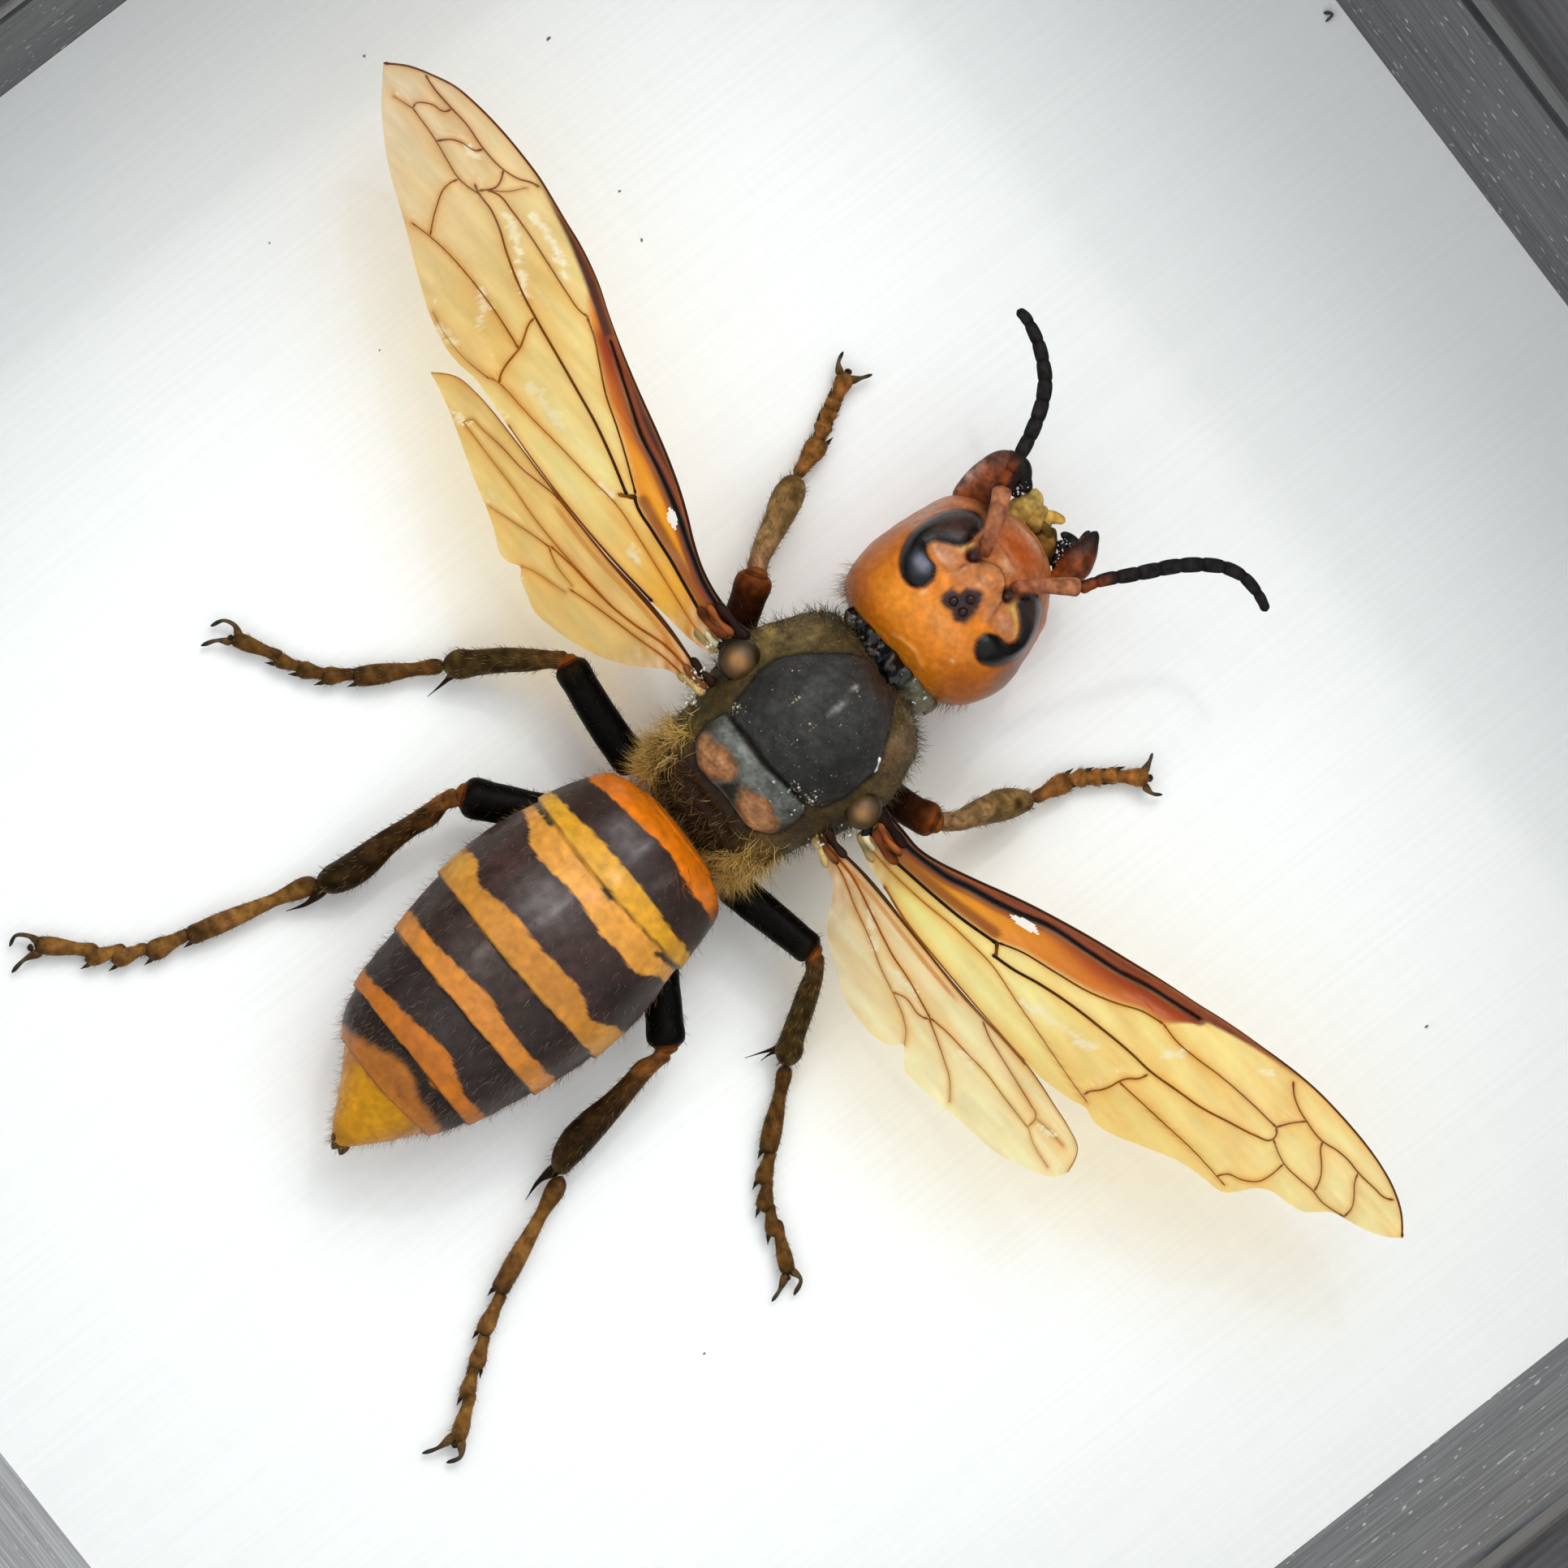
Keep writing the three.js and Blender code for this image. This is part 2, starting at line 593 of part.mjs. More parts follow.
const LEFT_MANDIBLE = [
  [-3.75, 18.3, 5.4, 0.55], [-3.95, 19.2, 5.6, 0.78], [-3.95, 20.2, 5.8, 0.85],
  [-3.6, 21.1, 5.8, 0.8], [-3.0, 21.35, 5.7, 0.58], [-2.35, 20.95, 5.5, 0.42],
  [-1.95, 20.8, 5.4, 0.15],
];
const RIGHT_MANDIBLE = [
  [2.35, 19.2, 5.2, 0.5], [2.55, 19.9, 5.4, 0.7], [2.4, 20.8, 5.5, 0.85],
  [2.1, 21.5, 5.5, 0.75], [1.85, 22.1, 5.4, 0.4], [1.7, 22.5, 5.3, 0.12],
];
const RIGHT_TOOTH = [[2.2, 20.9, 5.4, 0.6], [1.4, 21.0, 5.4, 0.4], [0.75, 20.95, 5.4, 0.16]];
const MOUTHPARTS = [
  [[-0.9, 19.5, 4.6, 0.7], [-1.1, 20.3, 4.7, 0.8], [-1.35, 21.1, 4.6, 0.55], [-1.7, 21.4, 4.5, 0.2]],
  [[0.3, 19.5, 4.6, 0.8], [0.3, 20.3, 4.7, 0.85], [-0.2, 21.0, 4.7, 0.5], [0.25, 21.5, 4.6, 0.16]],
];

function rods(list, sides, grow = 0) {
  return fuse(...list.map((stations) => limb(stations, sides, grow)));
}

const JAWS = [
  ["left_mandible", [LEFT_MANDIBLE]],
  ["right_mandible", [RIGHT_MANDIBLE, RIGHT_TOOTH]],
];
const scapeRoom = rods([LEFT_ANTENNA, RIGHT_ANTENNA], SHAFT_SIDES, JOINT_GAP);
for (const [name, list] of JAWS) {
  const jaw = cutBack(rods(list, JAW_SIDES), [headRoom, scapeRoom]);
  add(name, "mandible_shell", geometryOf(jaw));
}

const jawRooms = JAWS.map(([, list]) => rods(list, JAW_SIDES, JOINT_GAP));
const mouth = cutBack(rods(MOUTHPARTS, SHAFT_SIDES), [headRoom, ...jawRooms]);
add("mouthparts", "mouthpart_skin", geometryOf(mouth));

// Glue: the bead that joins the head on again, and two beads that hold the body to the board

const NECK_GLUE = [
  [-2.3, 10.35, 6.3, 0.6], [-1.2, 10.3, 6.6, 1.3], [0.3, 10.35, 6.8, 1.7],
  [1.9, 10.5, 6.6, 1.4], [3.1, 10.5, 6.3, 0.7],
];
const neck = cutBack(solid(limb(NECK_GLUE, JAW_SIDES)), [headRoom, thoraxRoom]);
add("neck_glue", "clear_glue", geometryOf(neck));

const BEAD_HEIGHT = 1.6;
const MOUNTING_GLUE = [
  { name: "mounting_glue_front", x: 0.6, y: 4.5, radius: 2.6, room: thoraxRoom },
  { name: "mounting_glue_rear", x: 1.0, y: -11.5, radius: 2.4, room: abdomenRoom },
];
for (const bead of MOUNTING_GLUE) {
  const whole = turned(BEAD_PROFILE, bead.radius, BEAD_HEIGHT, seen(bead.x, bead.y, 0));
  add(bead.name, "clear_glue", geometryOf(cutBack(solid(whole), [bead.room])));
}

// Wings: outlines seen from above, tear holes, and the height over the board

const LEFT_FOREWING = [
  [-37.85, 8.65], [-37.2, 9.36], [-36.08, 10.1], [-34.96, 10.67], [-33.65, 10.98],
  [-31.97, 11.19], [-30.1, 11.26], [-28.43, 11.23], [-26.93, 11.02], [-25.07, 10.82],
  [-23.2, 10.44], [-21.33, 9.8], [-19.47, 9.21], [-17.6, 8.72], [-15.73, 8.26],
  [-13.87, 7.79], [-11.73, 7.06], [-10.03, 6.31], [-8.53, 5.81], [-7.47, 5.62],
  [-5.4, 5.6], [-5.2, 4.6], [-5.9, 3.5], [-6.6, 3.25], [-8.0, 3.07], [-9.07, 2.9],
  [-10.9, 2.78], [-13.0, 2.62], [-15.7, 2.55], [-18.0, 2.52], [-20.4, 2.62], [-22.1, 2.75],
  [-23.1, 2.73], [-23.76, 2.58], [-25.07, 2.55], [-26.1, 2.73], [-27.1, 3.01],
  [-28.05, 3.39], [-29.55, 4.0], [-31.04, 4.66], [-32.53, 5.25], [-34.03, 5.9],
  [-35.33, 6.65], [-36.45, 7.4], [-37.2, 8.05],
];
const LEFT_TEAR = [[-12.2, 6.45], [-11.65, 6.47], [-11.2, 6.2], [-11.1, 5.96], [-11.75, 5.98]];
const LEFT_HINDWING = [
  [-24.5, 1.2], [-24.2, 1.61], [-23.76, 1.99], [-22.8, 2.28], [-21.7, 2.4], [-20.2, 2.42],
  [-18.0, 2.4], [-15.7, 2.42], [-13.0, 2.48], [-10.9, 2.64], [-9.6, 2.74], [-7.47, 2.82],
  [-6.4, 2.76], [-4.9, 2.62], [-4.8, 1.9], [-5.0, 1.6], [-5.87, 1.5], [-6.4, 0.96],
  [-6.83, 0.32], [-7.6, -0.35], [-9.6, -1.28], [-11.0, -1.72], [-12.2, -1.92],
  [-13.1, -1.69], [-13.87, -1.47], [-14.3, -1.19], [-14.9, -1.5], [-15.36, -1.52],
  [-16.5, -1.06], [-17.8, -0.63], [-18.9, -0.35], [-20.2, 0.06], [-21.5, 0.49],
  [-22.8, 0.87], [-23.9, 1.11],
];
const RIGHT_FOREWING = [
  [38.77, 13.13], [38.5, 13.43], [37.76, 13.84], [36.64, 14.25], [35.33, 14.46],
  [34.03, 14.51], [32.16, 14.4], [30.29, 14.21], [28.8, 13.88], [26.93, 13.34],
  [25.07, 12.78], [23.2, 12.07], [21.33, 11.45], [19.47, 10.72], [17.6, 10.01],
  [15.9, 9.29], [13.87, 8.36], [11.73, 7.22], [10.24, 6.47], [9.17, 5.99], [8.32, 5.81],
  [6.6, 5.76], [6.4, 4.9], [6.83, 3.95], [7.25, 3.54], [8.0, 3.43], [9.07, 3.39],
  [10.13, 3.22], [12.0, 3.15], [13.87, 3.22], [15.7, 3.31], [17.4, 3.41], [18.5, 3.5],
  [19.84, 3.59], [20.96, 3.69], [22.08, 3.95], [23.2, 4.28], [24.04, 4.66], [24.5, 4.5],
  [25.07, 4.56], [26.0, 4.97], [26.93, 5.53], [27.87, 6.1], [29.0, 6.7], [30.3, 7.12],
  [31.5, 7.5], [31.94, 8.15], [32.25, 8.8], [32.72, 9.27], [34.03, 9.73], [34.68, 10.01],
  [35.15, 10.57], [35.61, 11.13], [36.17, 11.41], [36.83, 11.69], [37.76, 12.16],
  [38.41, 12.68],
];
const RIGHT_TEAR = [[14.0, 7.55], [14.7, 7.95], [15.3, 8.12], [15.75, 7.98], [15.2, 7.7], [14.6, 7.5]];
const RIGHT_HINDWING = [
  [25.8, 2.36], [25.35, 3.01], [24.9, 3.2], [23.2, 3.4], [21.7, 3.55], [20.4, 3.56],
  [18.5, 3.38], [15.7, 3.18], [12.05, 3.05], [9.07, 3.05], [7.5, 2.95], [6.0, 2.65],
  [5.9, 2.13], [6.8, 1.7], [7.47, 1.5], [8.1, 0.9], [8.75, 0.0], [9.6, -0.45],
  [11.2, -1.06], [12.0, -1.43], [13.5, -1.62], [14.8, -1.47], [15.5, -1.13],
  [15.9, -0.63], [16.2, -0.81], [16.7, -1.24], [18.2, -1.19], [19.5, -0.94], [21.0, -0.63],
  [22.1, -0.44], [23.2, -0.16], [23.95, 0.21], [24.9, 0.68], [25.44, 1.05], [25.85, 1.61],
];

const FOREWING_HEIGHT = { root: 8.3, slope: -0.02 };
const HINDWING_HEIGHT = { root: 7.75, slope: -0.02 };
const BODY_MIDDLE_X = 0.6;

function wingHeight(rule) {
  return (x) => rule.root + rule.slope * Math.abs(x - BODY_MIDDLE_X);
}

const WINGS = [
  ["left_forewing", LEFT_FOREWING, [LEFT_TEAR], FOREWING_HEIGHT],
  ["right_forewing", RIGHT_FOREWING, [RIGHT_TEAR], FOREWING_HEIGHT],
  ["left_hindwing", LEFT_HINDWING, [], HINDWING_HEIGHT],
  ["right_hindwing", RIGHT_HINDWING, [], HINDWING_HEIGHT],
];
for (const [name, outline, holes, rule] of WINGS) {
  const whole = solid(plate(outline, holes, wingHeight(rule), WING_THICKNESS));
  add(name, "wing_membrane", geometryOf(cutBack(whole, [thoraxRoom])));
}

// Legs: stations of [x, y, height, radius] from the thorax to the last foot joint, then
// the spurs at the end of the shin and the two claws

const LEGS = {
  left_foreleg: {
    shaft: [
      [-4.6, 5.0, 3.2, 0.75], [-5.5, 5.7, 3.8, 0.85], [-6.2, 6.7, 4.3, 0.87],
      [-6.85, 7.7, 4.7, 0.86], [-7.3, 8.2, 4.6, 0.5], [-7.6, 8.7, 4.3, 0.52],
      [-8.0, 9.6, 3.6, 0.58], [-8.5, 10.6, 2.9, 0.66], [-9.05, 11.5, 2.3, 0.76],
      [-9.35, 12.1, 1.9, 0.7], [-9.62, 12.6, 1.6, 0.34], [-10.05, 13.4, 1.3, 0.48],
      [-10.35, 14.3, 1.1, 0.52], [-10.6, 14.8, 1.0, 0.42], [-11.0, 15.1, 0.95, 0.5],
      [-11.35, 16.0, 0.9, 0.5], [-11.7, 16.8, 0.85, 0.54], [-11.95, 17.4, 0.8, 0.32],
    ],
    spurs: [],
    claws: [
      [[-12.25, 17.1, 0.8, 0.16], [-12.7, 17.45, 0.8, 0.1], [-12.95, 17.88, 0.5, 0.05]],
      [[-11.65, 17.25, 0.8, 0.16], [-11.42, 17.85, 0.8, 0.1], [-11.25, 18.32, 0.5, 0.05]],
    ],
  },
  right_foreleg: {
    shaft: [
      [5.3, 6.2, 3.2, 0.75], [6.2, 6.5, 3.8, 0.84], [7.1, 6.8, 4.3, 0.86],
      [8.15, 7.4, 4.7, 0.84], [8.55, 7.85, 4.6, 0.45], [8.85, 8.4, 4.3, 0.5],
      [9.05, 9.2, 3.7, 0.64], [9.3, 9.9, 3.1, 0.73], [9.6, 10.7, 2.5, 0.82],
      [9.9, 11.3, 2.0, 0.7], [10.2, 11.9, 1.6, 0.36], [10.38, 12.6, 1.4, 0.42],
      [10.5, 13.4, 1.2, 0.52], [10.65, 14.0, 1.05, 0.5], [11.05, 14.5, 1.0, 0.5],
      [11.65, 15.3, 0.95, 0.5], [12.3, 16.2, 0.9, 0.52], [12.85, 16.95, 0.8, 0.34],
    ],
    spurs: [],
    claws: [
      [[12.55, 17.0, 0.8, 0.15], [12.3, 17.6, 0.8, 0.1], [12.08, 17.9, 0.5, 0.05]],
      [[13.1, 16.62, 0.8, 0.15], [13.6, 16.76, 0.8, 0.1], [13.95, 17.02, 0.5, 0.05]],
    ],
  },
  left_midleg: {
    shaft: [
      [-3.2, -2.6, 3.6, 0.75], [-4.6, -2.65, 3.8, 0.86], [-6.1, -2.55, 4.0, 0.85],
      [-7.8, -2.35, 4.2, 0.82], [-9.0, -2.15, 4.3, 0.76], [-9.55, -2.5, 4.1, 0.46],
      [-10.2, -3.35, 3.5, 0.52], [-11.2, -4.6, 2.7, 0.6], [-12.05, -5.9, 1.9, 0.68],
      [-12.6, -6.75, 1.4, 0.62], [-12.85, -7.1, 1.2, 0.26], [-13.35, -7.95, 1.0, 0.33],
      [-14.06, -9.2, 0.9, 0.4], [-14.75, -10.5, 0.85, 0.46], [-15.15, -10.95, 0.8, 0.3],
      [-15.7, -11.8, 0.8, 0.42], [-16.05, -11.95, 0.75, 0.3], [-16.65, -12.6, 0.75, 0.4],
      [-17.1, -12.75, 0.7, 0.28], [-17.8, -13.2, 0.7, 0.36], [-18.6, -13.4, 0.7, 0.34],
      [-19.4, -13.95, 0.7, 0.4], [-20.0, -14.35, 0.7, 0.28],
    ],
    spurs: [[[-12.2, -6.8, 1.2, 0.2], [-12.15, -7.3, 1.0, 0.12], [-12.07, -8.6, 0.7, 0.04]]],
    claws: [
      [
        [-19.95, -14.15, 0.7, 0.15], [-20.6, -13.98, 0.8, 0.12], [-21.07, -14.2, 0.7, 0.09],
        [-21.25, -14.83, 0.4, 0.05],
      ],
      [[-20.05, -14.6, 0.7, 0.14], [-20.5, -15.05, 0.7, 0.1], [-20.8, -15.8, 0.4, 0.05]],
    ],
  },
  right_midleg: {
    shaft: [
      [4.3, -2.5, 3.6, 0.75], [5.4, -2.3, 3.8, 0.88], [7.3, -1.8, 4.0, 0.85],
      [8.6, -1.5, 4.2, 0.8], [9.4, -1.35, 4.3, 0.72], [10.05, -1.45, 4.1, 0.46],
      [10.55, -2.15, 3.5, 0.48], [11.3, -3.3, 2.7, 0.56], [12.1, -4.5, 1.9, 0.64],
      [12.75, -5.35, 1.4, 0.62], [13.15, -5.85, 1.2, 0.26], [14.0, -6.9, 1.0, 0.35],
      [14.9, -7.95, 0.9, 0.42], [15.65, -8.85, 0.85, 0.46], [16.0, -9.1, 0.8, 0.3],
      [16.75, -9.95, 0.8, 0.41], [17.1, -10.0, 0.75, 0.3], [17.85, -10.85, 0.75, 0.4],
      [18.25, -10.8, 0.7, 0.28], [19.15, -11.25, 0.7, 0.37], [19.9, -11.15, 0.7, 0.33],
      [20.7, -11.6, 0.7, 0.4], [21.3, -12.0, 0.7, 0.28],
    ],
    spurs: [
      [[12.3, -5.4, 1.2, 0.2], [12.05, -5.9, 1.0, 0.1], [11.6, -7.15, 0.7, 0.04]],
      [[12.4, -5.5, 1.2, 0.18], [12.2, -6.0, 0.9, 0.08], [12.16, -6.6, 0.7, 0.04]],
    ],
    claws: [
      [[21.2, -11.85, 0.7, 0.15], [21.9, -11.72, 0.8, 0.1], [22.33, -12.45, 0.4, 0.05]],
      [[21.3, -12.15, 0.7, 0.14], [21.7, -12.87, 0.7, 0.1], [21.9, -13.5, 0.4, 0.05]],
    ],
  },
  left_hindleg: {
    shaft: [
      [-3.6, -7.3, 3.3, 0.7], [-4.9, -8.3, 3.5, 0.85], [-6.0, -9.3, 3.6, 0.9],
      [-7.1, -10.2, 3.7, 0.88], [-7.5, -10.8, 3.7, 0.5], [-7.45, -11.4, 3.6, 0.5],
      [-7.42, -12.2, 3.4, 0.56], [-7.54, -13.5, 3.1, 0.54], [-7.62, -15.0, 2.6, 0.68],
      [-7.57, -16.4, 2.2, 0.82], [-7.7, -17.5, 1.9, 0.76], [-7.95, -18.25, 1.6, 0.6],
      [-8.27, -18.75, 1.4, 0.28], [-8.6, -20.1, 1.1, 0.37], [-9.1, -21.5, 1.0, 0.4],
      [-9.55, -23.1, 0.9, 0.43], [-9.85, -24.7, 0.85, 0.48], [-10.08, -25.2, 0.8, 0.32],
      [-10.4, -26.6, 0.8, 0.46], [-10.8, -27.2, 0.75, 0.3], [-11.2, -28.3, 0.75, 0.4],
      [-11.5, -28.5, 0.7, 0.28], [-12.0, -29.2, 0.7, 0.38], [-12.8, -29.8, 0.7, 0.36],
      [-13.5, -30.5, 0.7, 0.44], [-14.0, -31.1, 0.7, 0.3],
    ],
    spurs: [[[-7.8, -18.3, 1.5, 0.2], [-7.7, -19.5, 1.1, 0.12], [-7.97, -20.5, 0.8, 0.04]]],
    claws: [
      [
        [-14.0, -30.95, 0.7, 0.15], [-14.75, -31.25, 0.8, 0.12], [-15.1, -31.67, 0.7, 0.09],
        [-14.9, -32.2, 0.4, 0.05],
      ],
      [[-13.75, -31.2, 0.7, 0.15], [-13.94, -32.1, 0.7, 0.1], [-13.85, -32.9, 0.4, 0.05]],
    ],
  },
  right_hindleg: {
    shaft: [
      [5.2, -7.6, 3.3, 0.7], [6.35, -8.34, 3.5, 0.9], [7.6, -9.15, 3.6, 0.92],
      [8.7, -9.85, 3.7, 0.88], [8.98, -10.4, 3.7, 0.48], [8.9, -11.0, 3.6, 0.5],
      [8.98, -11.7, 3.4, 0.53], [9.3, -12.7, 3.1, 0.52], [9.42, -13.8, 2.8, 0.64],
      [9.6, -15.1, 2.5, 0.8], [9.78, -16.2, 2.2, 0.8], [10.05, -17.1, 1.9, 0.72],
      [10.4, -17.7, 1.6, 0.45], [10.77, -18.2, 1.4, 0.28], [11.5, -19.5, 1.1, 0.36],
      [12.2, -20.95, 1.0, 0.38], [12.9, -22.7, 0.9, 0.43], [13.2, -23.6, 0.85, 0.42],
      [13.5, -23.95, 0.8, 0.3], [14.2, -25.4, 0.8, 0.42], [14.6, -25.8, 0.75, 0.3],
      [15.4, -27.0, 0.75, 0.42], [15.75, -27.3, 0.7, 0.3], [16.4, -28.1, 0.7, 0.38],
      [17.1, -28.9, 0.7, 0.42], [17.75, -29.85, 0.7, 0.3],
    ],
    spurs: [[[10.2, -17.7, 1.5, 0.2], [10.15, -18.9, 1.1, 0.12], [10.44, -19.96, 0.8, 0.04]]],
    claws: [
      [[17.75, -29.7, 0.7, 0.15], [18.5, -30.3, 0.8, 0.11], [18.33, -30.95, 0.4, 0.05]],
      [[17.5, -29.85, 0.7, 0.14], [17.45, -30.9, 0.7, 0.1], [17.25, -31.6, 0.4, 0.05]],
    ],
  },
};

for (const [name, leg] of Object.entries(LEGS)) {
  const points = rods([...leg.spurs, ...leg.claws], CLAW_SIDES);
  const whole = solid(limb(leg.shaft, SHAFT_SIDES)).add(points);
  add(name, "leg_shell", geometryOf(cutBack(whole, [thoraxRoom, abdomenRoom])));
}

export default part;
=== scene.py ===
"""Dresses the shadow box and the giant hornet in it.

Sizes are in millimetres until a mesh is made. A place on the hornet is written as
(x, y, height): x and y where the camera sees it against the board, height over the board.
"""

import math

import bpy
import numpy as np
from mathutils import Matrix, Vector


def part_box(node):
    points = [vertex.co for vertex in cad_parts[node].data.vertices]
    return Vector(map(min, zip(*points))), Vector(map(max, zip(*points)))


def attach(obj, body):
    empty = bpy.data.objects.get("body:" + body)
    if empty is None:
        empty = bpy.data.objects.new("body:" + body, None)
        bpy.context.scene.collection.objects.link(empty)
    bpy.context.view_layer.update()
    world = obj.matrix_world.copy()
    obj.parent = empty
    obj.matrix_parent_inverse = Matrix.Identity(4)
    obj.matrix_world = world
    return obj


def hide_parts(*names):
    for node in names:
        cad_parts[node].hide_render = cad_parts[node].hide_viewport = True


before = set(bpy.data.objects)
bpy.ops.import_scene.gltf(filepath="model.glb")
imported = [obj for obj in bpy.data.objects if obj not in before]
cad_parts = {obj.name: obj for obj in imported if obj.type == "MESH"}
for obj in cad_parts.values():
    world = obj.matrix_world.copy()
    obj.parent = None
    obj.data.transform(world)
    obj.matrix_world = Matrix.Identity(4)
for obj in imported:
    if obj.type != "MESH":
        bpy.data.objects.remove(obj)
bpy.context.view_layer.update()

MM = 0.001
BOARD_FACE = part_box("mounting_board")[1].z / MM

# Camera: the point of the board under it, its height over the board, and what it looks at
FOOT = (-16.5, -8.5)
HEIGHT = 303.6
AIM = (2.07, 2.59)
ROLL_DEGREES = 52.31
LENS = 141.86
SENSOR = 36.0
CLIP_START = 0.01

# A large key light over the upper left side of the box with a small lamp in it that makes
# the glints, as (width, watts), and the soft light of the room
KEY_PLACE = (-620.0, 960.0, 1535.0)
LAMPS = {"key": (1400.0, 14.5), "glint": (110.0, 2.8)}
ROOM_STRENGTH = 1.13
ROOM_COLOUR = (0.96, 0.98, 1.0, 1)

# The floor, in metres, just under the box
FLOOR_REACH = 2.0
FLOOR_HEIGHT = -0.0002
FLOOR_COLOUR = (0.78, 0.78, 0.77, 1)

randoms = np.random.default_rng(7)


# Numbers and curves


def tone(code):
    """The linear colour of a six-digit tone."""
    parts = np.array([int(code[i : i + 2], 16) / 255 for i in (0, 2, 4)])
    return np.where(parts <= 0.04045, parts / 12.92, ((parts + 0.055) / 1.055) ** 2.4)


def smooth(value, low, high):
    """0 at low, 1 at high, and a smooth way between."""
    share = np.clip((np.asarray(value, float) - low) / (high - low), 0, 1)
    return share * share * (3 - 2 * share)


def bell(distance, width):
    """1 at no distance, about a third at that width, and soon nothing."""
    return np.exp(-((distance / width) ** 2))


def blend(under, over, share):
    """Colours with others laid over a share of each."""
    return under + (over - under) * np.asarray(share)[..., None]


def coat(colours, code, share):
    """Colours with a six-digit tone laid over a share of each."""
    return blend(colours, tone(code), share)


def real(places):
    """The real points, in millimetres, of places that are written as seen."""
    places = np.asarray(places, float)
    nearer = 1 - places[..., 2] / HEIGHT
    x = FOOT[0] + (places[..., 0] - FOOT[0]) * nearer
    y = FOOT[1] + (places[..., 1] - FOOT[1]) * nearer
    return np.stack([x, y, BOARD_FACE + places[..., 2]], -1)


def as_seen(points):
    """Where the camera sees real points against the board."""
    nearer = 1 - (points[..., 2] - BOARD_FACE) / HEIGHT
    x = FOOT[0] + (points[..., 0] - FOOT[0]) / nearer
    y = FOOT[1] + (points[..., 1] - FOOT[1]) / nearer
    return np.stack([x, y], -1)


def curve(rows, spacing):
    """A smooth curve through rows of numbers, with a new row every spacing or so."""
    rows = np.asarray(rows, float)
    if len(rows) == 2:
        rows = np.array([rows[0], rows.mean(0), rows[1]])
    pace = np.maximum(np.linalg.norm(np.diff(rows, axis=0), axis=1), 1e-6)
    at = np.concatenate([[0], np.cumsum(pace)])
    slope = np.gradient(rows, at, axis=0)
    where = np.linspace(0, at[-1], max(int(at[-1] / spacing) + 1, 3))
    before = np.clip(np.searchsorted(at, where, "right") - 1, 0, len(at) - 2)
    width = (at[before + 1] - at[before])[:, None]
    s = (where[:, None] - at[before][:, None]) / width
    start, end = rows[before], rows[before + 1]
    pull = slope[before] * width, slope[before + 1] * width
    return (
        start * (2 * s**3 - 3 * s**2 + 1)
        + end * (3 * s**2 - 2 * s**3)
        + pull[0] * (s**3 - 2 * s**2 + s)
        + pull[1] * (s**3 - s**2)
    )


def gap_to(points, line, closed=False):
    """How far each seen point is from a line of points."""
    line = np.asarray(line, float)[:, :2]
    if closed:
        line = np.vstack([line, line[:1]])
    best = np.full(len(points), np.inf)
    for start, end in zip(line[:-1], line[1:]):
        way = end - start
        share = np.clip((points - start) @ way / max(way @ way, 1e-9), 0, 1)
        nearest = start + share[:, None] * way
        best = np.minimum(best, np.hypot(*(points - nearest).T))
    return best


def depth_in(points, outline):
    """How deep each seen point is inside an outline, and less than 0 outside it."""
    x, y = points.T
    odd = np.zeros(len(points), bool)
    for (x1, y1), (x2, y2) in zip(outline, np.roll(outline, -1, 0)):
        if y1 != y2:
            odd ^= ((y1 > y) != (y2 > y)) & (x < (x2 - x1) * (y - y1) / (y2 - y1) + x1)
    gap = gap_to(points, outline, True)
    return np.where(odd, gap, -gap)


def rounded_outline(outline, spacing=0.12):
    """A closed outline with its corners smoothed."""
    return curve(list(outline) + [outline[0]], spacing)[:-1, :2]


def ripple(points, size, seed):
    """Smooth noise from -1 to 1 with lumps of about that size; the seed picks the pattern."""
    draws = np.random.default_rng(seed)
    total = np.zeros(len(points))
    for _ in range(7):
        way = draws.normal(size=3)
        way *= draws.uniform(0.7, 1.4) * 2 * math.pi / (size * 2 * np.linalg.norm(way))
        total += np.sin(points @ way + draws.uniform(0, 2 * math.pi))
    return total / 3.5


# Meshes


class Form:
    """Points in millimetres with their faces and paint.

    The paint of a point is its colour and a fourth number: its roughness, or how opaque it
    is in a membrane.
    """

    def __init__(self):
        self.points, self.paint, self.faces = [], [], []
        self.count = 0

    def add(self, points, faces, paint):
        points = np.asarray(points, float)
        paint = np.broadcast_to(np.asarray(paint, float), (len(points), 4))
        self.points.append(points)
        self.paint.append(paint)
        self.faces += [(group + self.count).tolist() for group in faces]
        self.count += len(points)

    def piece(self, name, look, nodes, slot):
        """One object of all that was added, which stands for those nodes."""
        mesh = bpy.data.meshes.new(name)
        faces = [face for group in self.faces for face in group]
        mesh.from_pydata((np.vstack(self.points) * MM).tolist(), [], faces)
        mesh.validate()
        paint = mesh.attributes.new("paint", "FLOAT_COLOR", "POINT")
        paint.data.foreach_set("color", np.vstack(self.paint).ravel())
        mesh.shade_smooth()
        mesh.materials.append(look)
        made = bpy.data.objects.new(name, mesh)
        bpy.context.scene.collection.objects.link(made)
        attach(made, "root")
        if nodes:
            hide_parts(*nodes)
        return made


def painted(colour, rough):
    """Paint of one colour, or of a colour for each point, with its roughness."""
    colour = np.asarray(colour, float)
    rough = np.broadcast_to(np.asarray(rough, float), colour.shape[:-1])
    return np.concatenate([colour, rough[..., None]], -1)


